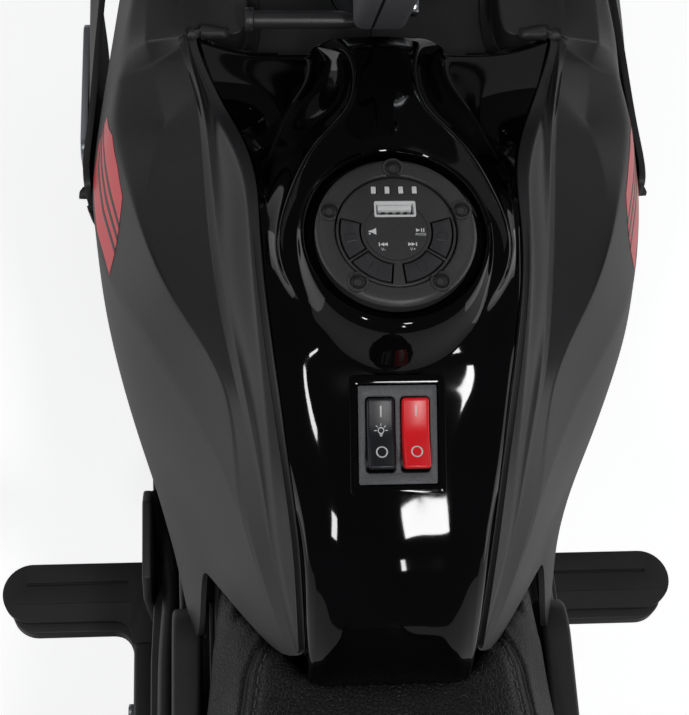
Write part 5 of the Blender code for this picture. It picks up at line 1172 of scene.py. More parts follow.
def seat_shell():
    """The cushion's start: a closed form a little smaller than the seat."""
    across = 36
    along = 60
    shrink = 0.0016
    top = []
    for i in range(along + 1):
        t = i / along
        t = t * t * (3 - 2 * t) * 0.5 + t * 0.5
        row = []
        for j in range(across + 1):
            share = 2.0 * j / across - 1.0
            share = math.copysign(abs(share) ** 0.85, share)
            row.append(seat_point(share, t, shrink))
        top.append(row)
    points = [p for row in top for p in row]
    points += [Vector((0.985 * p.x, p.y, PAD_BOTTOM)) for p in points]
    wide = across + 1
    under = wide * (along + 1)
    faces = []
    for a, b, c, d in grid_faces(along + 1, wide):
        faces.append((a, b, c, d))
        faces.append((under + a, under + d, under + c, under + b))
    border = [(0, j) for j in range(wide)]
    border += [(i, across) for i in range(1, along + 1)]
    border += [(along, j) for j in range(across - 1, -1, -1)]
    border += [(i, 0) for i in range(along - 1, 0, -1)]
    for k, (i, j) in enumerate(border):
        m, n = border[(k + 1) % len(border)]
        a = i * wide + j
        b = m * wide + n
        faces.append((a, b, under + b, under + a))
    return edited(mesh_piece("seat_pad", points, faces))


PRESSURE = 4.0
STIFFNESS = 25.0
PUFF_FRAMES = 20
PUFF_CAP = 0.0028
PAD_VOXEL = 0.0042


def puff(piece, cap):
    """Lets the cushion swell as cloth under pressure, then holds each point within the cap."""
    before = [v.co.copy() for v in piece.data.vertices]
    scene = bpy.context.scene
    activate(piece)
    cloth = piece.modifiers.new("cloth", "CLOTH")
    cloth.settings.use_pressure = True
    cloth.settings.uniform_pressure_force = PRESSURE
    cloth.settings.effector_weights.gravity = 0.0
    cloth.settings.quality = 5
    cloth.settings.tension_stiffness = STIFFNESS
    cloth.settings.compression_stiffness = STIFFNESS
    cloth.point_cache.frame_start = 1
    cloth.point_cache.frame_end = PUFF_FRAMES
    for number in range(1, PUFF_FRAMES + 1):
        scene.frame_set(number)
    shaped = piece.evaluated_get(bpy.context.evaluated_depsgraph_get())
    after = [v.co.copy() for v in shaped.data.vertices]
    piece.modifiers.remove(cloth)
    scene.frame_set(1)
    for vertex, old, new in zip(piece.data.vertices, before, after):
        step = new - old
        if step.length > cap:
            step *= cap / step.length
        place = old + step
        if old.z < PAD_BOTTOM + 0.004:
            place.z = old.z
        vertex.co = place
    piece.data.update()


SEAM_SHARES = [
    (0.002, 0.636), (-0.0022, 0.676), (-0.0105, 0.722), (-0.0233, 0.732), (-0.08, 0.735), (-0.285, 0.74)
]
STITCH_INSET = 0.058
SEAM_WIDTH = 0.0015
SEAM_DEPTH = 0.0017


def seam_at(y, inset=0.0):
    """Distance of the sewn line from the middle of the seat."""
    return (read_line(SEAM_SHARES, y) - inset) * read_line(SEAT_HALF_WIDTHS, y)


def sew(pad):
    """Draws the outer seam and the stitched line into the swollen pad."""
    for vertex in pad.data.vertices:
        x, y, z = vertex.co
        if z < SEAT_BOTTOM + 0.012:
            continue
        for inset, depth in ((0.0, SEAM_DEPTH), (STITCH_INSET, 0.5 * SEAM_DEPTH)):
            away = (abs(x) - seam_at(y, inset)) / SEAM_WIDTH
            vertex.co.z -= depth * math.exp(-away * away)
    pad.data.update()


def seam_line(skin, inset, start, side):
    """Points and normals on the seat's top along a sewn line, 1 mm apart from front to back."""
    points = []
    y = start
    while y > SEAT_REAR_Y + 0.008:
        above = Vector((side * seam_at(y, inset), y, 0.6))
        point, normal, _, _ = skin.ray_cast(above, Vector((0.0, 0.0, -1.0)))
        if point is not None:
            points.append((point, normal))
        y -= 0.001
    return points


def seat_stitching(pad):
    """Piping cord in the outer seam, and a row of single stitches beside it."""
    skin = tree_of(pad)
    cords = []
    stitches = []
    for side in (-1, 1):
        line = seam_line(skin, 0.0, 0.006, side)
        cords.append(tube("seam_cord", [tuple(p - 0.0002 * n) for p, n in line[::4]], 0.0007))
        line = seam_line(skin, STITCH_INSET, 0.003, side)
        for k in range(0, len(line) - 4, 4):
            first, normal = line[k]
            second = line[k + 3][0]
            size = (0.00062, (second - first).length * 0.95, 0.00046)
            stitch = block("stitch", size, bevel=0.0002, segments=1)
            turn = (second - first).to_track_quat("Y", "Z").to_matrix().to_4x4()
            rest(stitch, Matrix.Translation((first + second) / 2 + 0.00012 * normal) @ turn)
            stitches.append(stitch)
    settle(merged("seat_seam_cords", cords), "chassis", "cord_black", angle=60.0)
    settle(merged("seat_stitches", stitches), "chassis", "thread_black", angle=30.0)


def seat():
    pad = seat_shell()
    apply(pad, "REMESH", mode="VOXEL", voxel_size=PAD_VOXEL)
    puff(pad, PUFF_CAP)
    apply(pad, "SUBSURF", levels=1, render_levels=1)
    apply(pad, "SUBSURF", levels=1, render_levels=1)
    sew(pad)
    settle(pad, "chassis", "seat_black", stands_for=["seat_cushion"], angle=80.0)
    seat_stitching(pad)


# Footrests
def pill_outline(root, y, half, reach, foot):
    """Plan of a peg: straight from the rail, with a round outer end and a fillet back into the rail."""
    outline = [(root, y + half)]
    for k in range(25):
        angle = math.pi / 2 - math.pi * k / 24
        outline.append((reach - half + half * math.cos(angle), y + half * math.sin(angle)))
    for k in range(9):
        t = k / 8
        bend = (1 - t) ** 2, 2 * t * (1 - t), t * t
        x = bend[0] * (foot + 0.01) + bend[1] * (foot + 0.001) + bend[2] * foot
        place = bend[0] * (y - half) + bend[1] * (y - half) + bend[2] * (y - half - 0.011)
        outline.append((x, place))
    outline.append((root, y - half - 0.011))
    return outline


def footrests():
    """Ribbed pegs with their skirts, rails and bolts, and the upright ankle guard of the left one."""
    root = RAIL_INNER + 0.0006
    centre = ((RAIL_INNER + RAIL_OUTER) / 2, -0.02, 0.224)
    rail = block("footrest_rail", (0.01, 0.15, 0.02), centre, 0.0022, 3)
    top = plate(
        "peg_top", pill_outline(root, PEG_Y, PEG_HALF, PEG_TIP, RAIL_OUTER), PEG_TOP - 0.0042, PEG_TOP
    )
    step = block("peg_step", (0.058, 0.012, 0.004), (RAIL_OUTER + 0.0305, PEG_Y - 0.0112, PEG_TOP + 0.0013))
    groove = block(
        "peg_line", (0.047, 0.0015, 0.004), (RAIL_OUTER + 0.0265, PEG_Y + 0.0042, PEG_TOP + 0.0006)
    )
    carve(top, step, groove)
    round_edges(top, 0.0007, 3, angle=40.0)
    skirt_plan = pill_outline(root, PEG_Y - 0.0058, PEG_HALF - 0.0012, PEG_TIP - 0.004, RAIL_OUTER)
    skirt = plate("peg_skirt", skirt_plan, PEG_TOP - 0.013, PEG_TOP - 0.0038)
    round_edges(skirt, 0.0011, 3, angle=30.0)
    pieces = [rail, top, skirt]
    for y in (0.075, -0.072):
        lug = rod("rail_lug", 0.0098, 0.0, 0.016, sides=40, bevel=0.0008)
        pieces.append(on_x(lug, (ENGINE_FACE + 0.0004, y, 0.222)))
    bolts = []
    for y in (0.02, -0.06):
        bolt = rod("rail_bolt", 0.0052, 0.0, 0.003, sides=36, bevel=0.0006)
        carve(bolt, rod("bolt_socket", 0.0026, 0.0012, 0.005, sides=6))
        bolts.append(on_x(bolt, (RAIL_OUTER - 0.0004, y, 0.224)))
    both_sides(merged("footrest_arm_right", pieces), "chassis", "body_black", "footrest", angle=40.0)
    both_sides(merged("footrest_bolts_right", bolts), "chassis", "steel")
    side = [(GUARD_FACE, y, z) for y, z in GUARD_SIDE]
    guard = extruded("ankle_guard", side, (GUARD_THICKNESS, 0.0, 0.0))
    round_edges(guard, 0.0009, 2, angle=50.0)
    settle(mirror_copy(guard, "ankle_guard_left"), "chassis", "body_black", angle=40.0)
    bpy.data.objects.remove(guard)


TRIM_LINE = [
    (0.085, 0.09, 0.334), (0.0835, 0.0784, 0.33), (0.0789, 0.0607, 0.33), (0.0777, 0.0456, 0.33),
    (0.0797, 0.0226, 0.33), (0.08, -0.0037, 0.33), (0.08, -0.06, 0.327), (0.079, -0.095, 0.318),
]
STAY_LINE = [(0.0728, 0.056, 0.364), (0.0728, 0.044, 0.354), (0.0727, 0.03, 0.34), (0.0727, 0.02, 0.324)]
LEDGE_PLAN = [
    (0.056, 0.118), (0.08, 0.118), (0.0858, 0.1), (0.0845, 0.06), (0.0862, 0.02),
    (0.0862, -0.09), (0.08, -0.104), (0.056, -0.104),
]


def frame_trim():
    """The frame rail above the engine on each side, the ledge that closes the gap to it, and its stay."""
    ledge = plate("frame_ledge", LEDGE_PLAN, 0.315, 0.3215)
    round_edges(ledge, 0.0014, 2, angle=40.0)
    rail = tube("frame_rail", TRIM_LINE, 0.0031)
    both_sides(merged("frame_ledge_right", [ledge, rail]), "chassis", "body_black", angle=40.0)
    both_sides(tube("frame_stay_right", STAY_LINE, 0.0009), "chassis", "case_grey", angle=40.0)


# Clamp and what lies in the steering well
def clamp_and_stop_rod():
    """Pinch clamp of the bar, and the slim stop rod that lies across the left of the well."""
    low = -0.0097
    high = 0.0086
    middle = ((low + high) / 2, -0.001, (CLAMP_TOP + CLAMP_BOTTOM) / 2)
    clamp = block("pinch_clamp", (high - low, 0.046, CLAMP_TOP - CLAMP_BOTTOM), middle)
    round_edges(clamp, 0.0034, 5)
    slit = block("clamp_slit", (0.0011, 0.024, 0.08), (-0.0033, -0.014, 0.04))
    bore = on_x(rod("clamp_bore", 0.0114, -0.03, 0.03, sides=64), (0.0, 0.0, BAR_HEIGHT))
    post = rod("clamp_post_bore", 0.0066, 0.0, BAR_HEIGHT - 0.0136, sides=48)
    carve(clamp, slit, bore, post)
    settle(clamp, "steering", "case_grey", stands_for=["bar_clamp"], angle=32.0, place=STEERING_PLACE)
    bolts = []
    for z in (0.027, 0.064):
        bolt = rod("clamp_bolt", 0.0036, 0.0, 0.0032, sides=40, bevel=0.0005)
        carve(bolt, rod("clamp_bolt_socket", 0.0018, 0.0012, 0.006, sides=6))
        bolts.append(on_x(bolt, (high - 0.0002, -0.0175, z)))
    settle(merged("clamp_bolts", bolts), "steering", "steel", place=STEERING_PLACE)
    shaft = rod("stop_rod", 0.0031, 0.0, 0.033, sides=40)
    tip = rod("stop_rod_tip", 0.0031, 0.033, 0.042, sides=40, top_radius=0.0019)
    collar = rod("stop_rod_collar", 0.0042, -0.001, 0.0022, sides=40, bevel=0.0006)
    whole = on_x(merged("well_stop_rod", [shaft, tip, collar]), (-0.0452, 0.1948, 0.518))
    settle(whole, "chassis", "rim_black", angle=40.0)


# Helpers for the running gear and bodywork
SIDE_VIEW = Matrix(((0.0, 0.0, 1.0, 0.0), (1.0, 0.0, 0.0, 0.0), (0.0, 1.0, 0.0, 0.0), (0.0, 0.0, 0.0, 1.0)))


def side_plate(name, outline, low, high, corner=0.0, edge=0.0):
    """A plate drawn in the side view: its outline in (y, z), its thickness along X."""
    piece = extruded(name, [(y, z, low) for y, z in outline], (0.0, 0.0, high - low), corner)
    if edge:
        round_edges(piece, edge, 3, angle=40.0)
    rest(piece, SIDE_VIEW)
    return piece


def on_x(piece, centre=(0.0, 0.0, 0.0)):
    """Turns a piece made about Z onto the X axis through a centre."""
    rest(piece, Matrix.Translation(centre) @ Matrix.Rotation(math.pi / 2, 4, "Y"))
    return piece


def ring_of(piece, name, count):
    """Copies of a piece around Z, joined; the piece itself is the first."""
    rest(piece)
    twins = [piece]
    for k in range(1, count):
        twin = copied(piece, f"{name}_{k}")
        twin.data.transform(Matrix.Rotation(TWO_PI * k / count, 4, "Z"))
        twins.append(twin)
    return merged(name, twins)


def tube(name, points, radius):
    """A round tube along a smooth line, closed at its ends."""
    data = bpy.data.curves.new(name, "CURVE")
    data.dimensions = "3D"
    data.resolution_u = 8
    data.bevel_depth = radius
    data.bevel_resolution = 8
    data.use_fill_caps = True
    line = data.splines.new("NURBS")
    line.points.add(len(points) - 1)
    for point, (x, y, z) in zip(line.points, points):
        point.co = (x, y, z, 1.0)
    line.order_u = 3
    line.use_endpoint_u = True
    curve = bpy.data.objects.new(name, data)
    bpy.context.scene.collection.objects.link(curve)
    activate(curve)
    bpy.ops.object.convert(target="MESH")
    return edited(named(name), merge_doubles)


def both_sides(right, body, finish, node=None, angle=35.0):
    """Settles a right-hand piece, whose name ends in _right, and its mirror image."""
    rest(right)
    left = mirror_copy(right, right.name.replace("_right", "_left"))
    for piece, side in ((right, "right"), (left, "left")):
        settle(piece, body, finish, stands_for=[f"{node}_{side}"] if node else (), angle=angle)


def cap_screw(name, place, radius=0.0042, height=0.0026):
    """A round screw head with a hex socket: its underside at the place, its head along the place's Z."""
    head = rod(name, radius, 0.0, height, sides=28, bevel=0.0005)
    carve(head, rod("socket", 0.5 * radius, 0.4 * height, 2.0 * height, sides=6))
    rest(head, place)
    return head


def facing_out(x, y, z):
    """A place on a right-hand side surface, its Z pointing outwards."""
    return Matrix.Translation((x, y, z)) @ Matrix.Rotation(math.pi / 2, 4, "Y")


def pointing(direction):
    """The turn that takes Z to a direction."""
    return Vector((0.0, 0.0, 1.0)).rotation_difference(direction).to_matrix().to_4x4()


# Wheels
FRONT_TYRE_WIDTH = 0.062
REAR_TYRE_WIDTH = 0.068
RIM_RADIUS = 0.0906
TREAD_DEPTH = 0.0036
TREAD_COUNT = 34
SPOKE_COUNT = 5
AXLE_RADIUS = 0.005


def tyre(name, body, width, centre):
    """Carcass with side ribs, three rows of tread blocks and shoulder lugs."""
    half = width / 2
    seat = RIM_RADIUS + 0.0004
    crown = WHEEL_RADIUS - TREAD_DEPTH
    side = [
        (seat, 0.78 * half), (seat + 0.0012, 0.87 * half), (seat + 0.005, 0.94 * half),
        (seat + 0.008, 0.965 * half),
    ]
    side += [(seat + 0.0086, 0.995 * half), (seat + 0.0098, 0.995 * half), (seat + 0.0104, 0.975 * half)]
    side += [(crown - 0.017, 0.99 * half), (crown - 0.0125, 0.985 * half)]
    for k in range(1, 9):
        angle = math.pi / 2 * k / 8
        side.append((crown - 0.0125 + 0.0125 * math.sin(angle), (0.42 + 0.565 * math.cos(angle)) * half))
    side.append((crown + 0.0003, 0.0))
    rows = [lathe(f"{name}_carcass", both_ways(side), 128, closed=True)]
    for row, (place, yaw, size, drop) in enumerate(
        (
            (0.0, 0.0, (0.006, 0.0135, 0.01), 0.0),
            (0.47, 28.0, (0.006, 0.015, 0.0088), 0.0003),
            (-0.47, -28.0, (0.006, 0.015, 0.0088), 0.0003),
            (0.84, 0.0, (0.0075, 0.0095, 0.009), 0.003),
            (-0.84, 0.0, (0.0075, 0.0095, 0.009), 0.003),
        )
    ):
        lug = block(f"{name}_block_{row}", size, bevel=0.0009, segments=1)
        lean = math.radians(-34.0) * math.copysign(1.0, place) if abs(place) > 0.6 else 0.0
        reach = WHEEL_RADIUS - drop - size[0] / 2 - 0.0003
        turn = Matrix.Rotation(math.radians(yaw), 4, "X") @ Matrix.Rotation(lean, 4, "Y")
        shift = math.pi / TREAD_COUNT if place > 0 else 0.0
        rest(lug, Matrix.Rotation(shift, 4, "Z") @ Matrix.Translation((reach, 0.0, place * half)) @ turn)
        rows.append(ring_of(lug, f"{name}_row_{row}", TREAD_COUNT))
    whole = merged(f"{name}_dressed", rows)
    on_x(whole, centre)
    settle(whole, body, "tyre_black", stands_for=[name])


def rim(name, body, width, centre, hub_half):
    """Channel with rolled lips, five tapered spokes with a hollow each side, and a flanged hub."""
    half = 0.4 * width
    outer = RIM_RADIUS - 0.0002
    side = [(outer, 0.0), (outer, half), (outer - 0.0022, half + 0.0004), (outer - 0.0044, half - 0.0004)]
    side += [(outer - 0.0056, half - 0.004), (outer - 0.009, 0.55 * half), (outer - 0.0104, 0.0)]
    profile = side + [(r, -h) for r, h in reversed(side[1:-1])]
    ring = lathe(f"{name}_channel", profile, 128, closed=True)
    hub_side = [
        (AXLE_RADIUS + 0.0004, hub_half), (0.012, hub_half), (0.0132, hub_half - 0.0012),
        (0.014, 0.4 * width),
    ]
    hub_side += [(0.0205, 0.36 * width), (0.0218, 0.34 * width), (0.0218, 0.0)]
    hub = lathe(f"{name}_hub", both_ways(hub_side), 96, closed=True)
    reach = outer - 0.006
    wide = 0.0125
    plan = [
        (0.017, -wide), (0.017, wide), (0.045, 0.0084), (reach, 0.0115), (reach, -0.0115), (0.045, -0.0084)
    ]
    spoke = plate("spoke", plan, -0.2 * width, 0.2 * width)
    hollow_plan = [(0.03, -0.0046), (0.03, 0.0046), (reach - 0.009, 0.0058), (reach - 0.009, -0.0058)]
    for side_of in (-1, 1):
        low, high = sorted((side_of * 0.13 * width, side_of * 0.3 * width))
        carve(spoke, plate("spoke_hollow", hollow_plan, low, high))
    round_edges(spoke, 0.0016, 2, angle=40.0)
    spokes = ring_of(spoke, "spokes", SPOKE_COUNT)
    heads = []
    for side_of in (-1, 1):
        head = rod("hub_bolt", 0.0026, 0.34 * width, 0.34 * width + 0.0038, (0.0172, 0.0), 6, 0.0004)
        rest(head, Matrix.Rotation(math.radians(36.0), 4, "Z"))
        heads.append(ring_of(head, "hub_bolts", SPOKE_COUNT))
        if side_of < 0:
            heads[-1].data.transform(Matrix.Rotation(math.pi, 4, "X"))
    whole = on_x(merged(f"{name}_dressed", [ring, hub, spokes, *heads]), centre)
    settle(whole, body, "rim_black", stands_for=[name])


def axle(name, body, centre, half, nut, spacers):
    """Threaded axle with washers, nuts and spacers."""
    pitch = 0.0012
    thread = [(0.0, half), (0.0036, half), (0.0045, half - 0.0008)]
    for k in range(9):
        thread += [(0.0049, half - 0.0012 - pitch * k), (0.0043, half - 0.0018 - pitch * k)]
    thread.append((0.0049, half - 0.0016 - pitch * 9))
    shaft = lathe(f"{name}_shaft", thread + [(r, -h) for r, h in reversed(thread)], 40)
    low, high = nut
    pieces = [shaft]
    for side_of in (-1, 1):
        washer = rod("washer", 0.0098, low, low + 0.0012, sides=40, bevel=0.0003)
        hexagon = rod("nut", 0.0085, low + 0.0012, high, sides=6, bevel=0.0006)
        for part in (washer, hexagon):
            rest(part)
            if side_of < 0:
                part.data.transform(Matrix.Rotation(math.pi, 4, "X"))
            pieces.append(part)
    for start, end, radius in spacers:
        pieces.append(rod("spacer", radius, start, end, sides=40, bevel=0.0006))
    whole = on_x(merged(f"{name}_dressed", pieces), centre)
    settle(whole, body, "steel", stands_for=[name])


def wheels():
    front = (0.0, FRONT_AXLE_Y, WHEEL_RADIUS)
    rear = (0.0, REAR_AXLE_Y, WHEEL_RADIUS)
    tyre("front_tyre", "front_wheel", FRONT_TYRE_WIDTH, front)
    rim("front_rim", "front_wheel", FRONT_TYRE_WIDTH, front, 0.0331)
    axle(
        "front_axle", "steering", front, 0.08, (0.0701, 0.0765),
        [(0.0335, 0.0399, 0.009), (-0.0399, -0.0335, 0.009)],
    )
    tyre("rear_tyre", "rear_wheel", REAR_TYRE_WIDTH, rear)
    rim("rear_rim", "rear_wheel", REAR_TYRE_WIDTH, rear, 0.0365)
    axle("rear_axle", "chassis", rear, 0.084, (0.0744, 0.081), [(-0.0616, -0.037, 0.01)])


# Training wheels
TRAINER_X = 0.205
TRAINER_HALF = 0.014
PLATE_IN = 0.0705
PLATE_OUT = 0.074


def trainers():
    stub_y = REAR_AXLE_Y - 0.016
    side = [
        (0.0047, TRAINER_HALF), (0.014, TRAINER_HALF), (0.0158, 0.0128), (0.017, 0.007), (0.0385, 0.0062),
        (0.0405, 0.0112),
    ]
    side += [
        (0.0425, 0.013), (0.0465, 0.0136), (0.0515, 0.0134), (0.0545, 0.0118), (0.0558, 0.0096),
        (0.0558, 0.0056),
    ]
    side += [(0.0546, 0.005), (0.0546, 0.0042), (0.0558, 0.0036), (0.0558, 0.0)]
    body = lathe("trainer_body", both_ways(side), 80, closed=True)
    rib = block("trainer_rib", (0.024, 0.003, 0.019), (0.028, 0.0, 0.0), bevel=0.0007)
    right = on_x(merged("trainer_dressed_right", [body, ring_of(rib, "trainer_ribs", 8)]))
    left = copied(right, "trainer_dressed_left")
    for wheel, sign, name in ((right, 1, "right"), (left, -1, "left")):
        rest(wheel, Matrix.Translation((sign * TRAINER_X, stub_y, TRAINER_RADIUS)))
        settle(wheel, f"trainer_{name}", "tyre_black", stands_for=[f"trainer_wheel_{name}"])
    top = WHEEL_RADIUS + 0.016
    outline = [
        (REAR_AXLE_Y + 0.016, top), (REAR_AXLE_Y - 0.016, top), (REAR_AXLE_Y - 0.03, TRAINER_RADIUS + 0.02)
    ]
    outline += [(REAR_AXLE_Y - 0.004, TRAINER_RADIUS + 0.016)]
    arm = side_plate("trainer_plate", outline, PLATE_IN, PLATE_OUT, corner=0.007, edge=0.0006)
    carve(
        arm,
        on_x(
            rod("plate_hole", 0.0054, PLATE_IN - 0.01, PLATE_OUT + 0.01, sides=32),
            (0.0, REAR_AXLE_Y, WHEEL_RADIUS),
        ),
    )
    wheel_in = TRAINER_X - TRAINER_HALF
    wheel_out = TRAINER_X + TRAINER_HALF
    route = [
        (PLATE_OUT - 0.002, stub_y, TRAINER_RADIUS + 0.036),
        (PLATE_OUT + 0.018, stub_y, TRAINER_RADIUS + 0.036),
        (PLATE_OUT + 0.03, stub_y, TRAINER_RADIUS + 0.032),
        (wheel_in - 0.043, stub_y, TRAINER_RADIUS + 0.008),
        (wheel_in - 0.03, stub_y, TRAINER_RADIUS),
        (wheel_in - 0.002, stub_y, TRAINER_RADIUS),
    ]
    pieces = [arm, tube("trainer_tube", route, 0.0074)]
    collar = rod("trainer_collar", 0.0085, wheel_in - 0.018, wheel_in - 0.0006, sides=40, bevel=0.0008)
    stub = rod("trainer_stub", 0.0041, wheel_in - 0.004, wheel_out + 0.004, sides=32)
    cap = lathe(
        "trainer_cap",
        [(0.0, 0.0055), (0.005, 0.0052), (0.0085, 0.0036), (0.0095, 0.0016), (0.0095, 0.0), (0.0, 0.0)], 40,
    )
    rest(cap, Matrix.Translation((0.0, 0.0, wheel_out + 0.0005)))
    for part in (collar, stub, cap):
        pieces.append(on_x(part, (0.0, stub_y, TRAINER_RADIUS)))
    weld = lathe(
        "trainer_weld", [(0.0072, 0.0035), (0.009, 0.001), (0.01, 0.0), (0.0072, -0.0005)], 40, closed=True
    )
    pieces.append(on_x(weld, (PLATE_OUT - 0.0002, stub_y, TRAINER_RADIUS + 0.036)))
    both_sides(merged("trainer_bracket_right", pieces), "chassis", "steel", "trainer_arm")


# Steering gear
FORK_SPREAD = 0.056
FORK_OFFSET = 0.015
AXLE_DROP = 0.433585
LEG_TOP = -0.1854
CROWN_TOP = -0.165
SLIDER_TOP = -0.28
GRIP_START = Vector((0.128, -0.006, BAR_RISE))
GRIP_END = Vector((0.236, -0.024, BAR_RISE))
GRIP_LENGTH = 0.092


def fork():
    foot = -AXLE_DROP
    profile = [(0.0, foot + 0.01), (0.0175, foot + 0.01), (0.0192, foot + 0.013), (0.0192, SLIDER_TOP - 0.04)]
    profile += [
        (0.018, SLIDER_TOP - 0.036), (0.018, SLIDER_TOP - 0.016), (0.0193, SLIDER_TOP - 0.013),
        (0.0193, SLIDER_TOP - 0.002),
    ]
    profile += [(0.0183, SLIDER_TOP), (0.0, SLIDER_TOP)]
    slider = lathe("fork_slider", profile, 64)
    rest(slider, Matrix.Translation((FORK_SPREAD, FORK_OFFSET, 0.0)))
    knuckle = rod("fork_knuckle", 0.0183, 0.0404, 0.0696, sides=56, bevel=0.0015)
    on_x(knuckle, (0.0, FORK_OFFSET, foot))
    lug = block(
        "fork_lug", (0.0165, 0.0235, 0.0215), (0.045, FORK_OFFSET, foot + WHEEL_RADIUS - 0.0144), 0.0022, 3
    )
    rest(lug)
    carve(slider, knuckle, lug, operation="UNION")
    carve(slider, on_x(rod("axle_bore", 0.0054, 0.02, 0.09, sides=40), (0.0, FORK_OFFSET, foot)))
    pinch = cap_screw(
        "pinch_screw",
        Matrix.Translation((0.0555, FORK_OFFSET - 0.0175, foot)) @ Matrix.Rotation(math.pi / 2, 4, "X"),
    )
    slider = merged("fork_slider_right", [slider, pinch])
    rest(slider, STEERING_PLACE)
    both_sides(slider, "steering", "rim_black", "fork", angle=38.0)
    sleeve = [
        (0.0, SLIDER_TOP - 0.008), (0.015, SLIDER_TOP - 0.008), (0.015, LEG_TOP - 0.03),
        (0.0162, LEG_TOP - 0.028),
    ]
    sleeve += [
        (0.0164, LEG_TOP - 0.001), (0.0155, LEG_TOP), (0.0117, LEG_TOP), (0.0117, CROWN_TOP + 0.0004),
        (0.0105, CROWN_TOP + 0.001),
    ]
    sleeve += [(0.0, CROWN_TOP + 0.001)]
    inner = lathe("fork_tube_right", sleeve, 64)
    rest(inner, STEERING_PLACE @ Matrix.Translation((FORK_SPREAD, FORK_OFFSET, 0.0)))
    both_sides(inner, "steering", "steel", angle=38.0)
    wiper = lathe(
        "fork_seal_right",
        [(0.0151, -0.001), (0.0186, 0.0), (0.018, 0.0045), (0.016, 0.006), (0.0151, 0.006)], 56,
        closed=True,
    )
    rest(wiper, STEERING_PLACE @ Matrix.Translation((FORK_SPREAD, FORK_OFFSET, SLIDER_TOP + 0.0006)))
    both_sides(wiper, "steering", "tyre_black", angle=38.0)


def mudguard():
    """The front mudguard: a curved arch with a rolled edge, its tabs and their screws."""
    half = 0.035
    arch = WHEEL_RADIUS + 0.0088
    rows = []
    for k in range(15):
        angle = math.radians(12.0 + 132.0 * k / 14)
        row = []
        for j in range(9):
            x = half * (1 - j / 4)
            fall = 0.0118 * abs(x / half) ** 3
            taper = 1.0 - 0.1 * abs(2.0 * k / 14 - 1.0) ** 4
            reach = arch - fall
            y = FORK_OFFSET + reach * math.cos(angle)
            row.append((x * taper, y, -AXLE_DROP + reach * math.sin(angle)))
        rows.append(row)
    guard = skin_of("front_guard", rows, {4: 0.25}, 2)
    face_towards(guard, (0.0, 0.0, 1.0))
    apply(guard, "SOLIDIFY", thickness=0.0023, offset=-1.0)
    round_edges(guard, 0.0007, 2, angle=50.0)
    pieces = [guard]
    tab_z = WHEEL_RADIUS - AXLE_DROP - 0.0109
    for side_of in (-1, 1):
        centre = (side_of * 0.0349, FORK_OFFSET, tab_z)
        pieces.append(block("guard_tab", (0.002, 0.029, 0.032), centre, 0.0007))
        at = Matrix.Translation((side_of * 0.034, FORK_OFFSET, tab_z - 0.003))
        turn = Matrix.Rotation(math.pi / 2 * side_of, 4, "Y")
        pieces.append(cap_screw("guard_screw", at @ turn @ Matrix.Rotation(math.pi, 4, "X"), 0.004, 0.0022))
    whole = merged("front_guard_dressed", pieces)
    settle(whole, "steering", "body_black", stands_for=["front_mudguard"], angle=40.0, place=STEERING_PLACE)


def column_and_crown():
    column = rod("column_tube", 0.014, LEG_TOP, 0.0118, sides=64, bevel=0.001)
    post = rod("column_post", 0.0061, 0.0, BAR_HEIGHT - 0.0142, sides=40, bevel=0.0006)
    half_plan = [(0.024, -0.018), (0.072, 0.002), (0.077, 0.02), (0.05, 0.036)]
    plan = [(-x, y) for x, y in half_plan] + [(x, y) for x, y in reversed(half_plan)]
    height = 0.0199
    face = [(x, y, CROWN_TOP - height) for x, y in plan]
    crown = extruded("fork_crown", face, (0.0, 0.0, height), corner=0.008)
    round_edges(crown, 0.0016, 3, angle=40.0)
    for side_of in (-1, 1):
        carve(
            crown,
            rod(
                "leg_bore", 0.0121, CROWN_TOP - 0.03, CROWN_TOP + 0.01,
                (side_of * FORK_SPREAD, FORK_OFFSET), 56,
            ),
        )
        place = (side_of * FORK_SPREAD, FORK_OFFSET - 0.02, CROWN_TOP - 0.01)
        carve(crown, block("pinch_slot", (0.002, 0.024, 0.04), place))
    bracket = block("lamp_bracket", (0.0215, 0.034, 0.0056), (0.0, 0.0275, 0.006), 0.001)
    flange = block("lamp_flange", (0.0396, 0.0038, 0.0396), (0.0, 0.0446, 0.006), 0.0009)
    nut = rod("column_nut", 0.02, CROWN_TOP + 0.0002, CROWN_TOP + 0.007, sides=6, bevel=0.001)
    whole = merged("column_dressed", [column, post, crown, bracket, flange, nut])
    settle(whole, "steering", "steel", stands_for=["steering_column"], place=STEERING_PLACE)


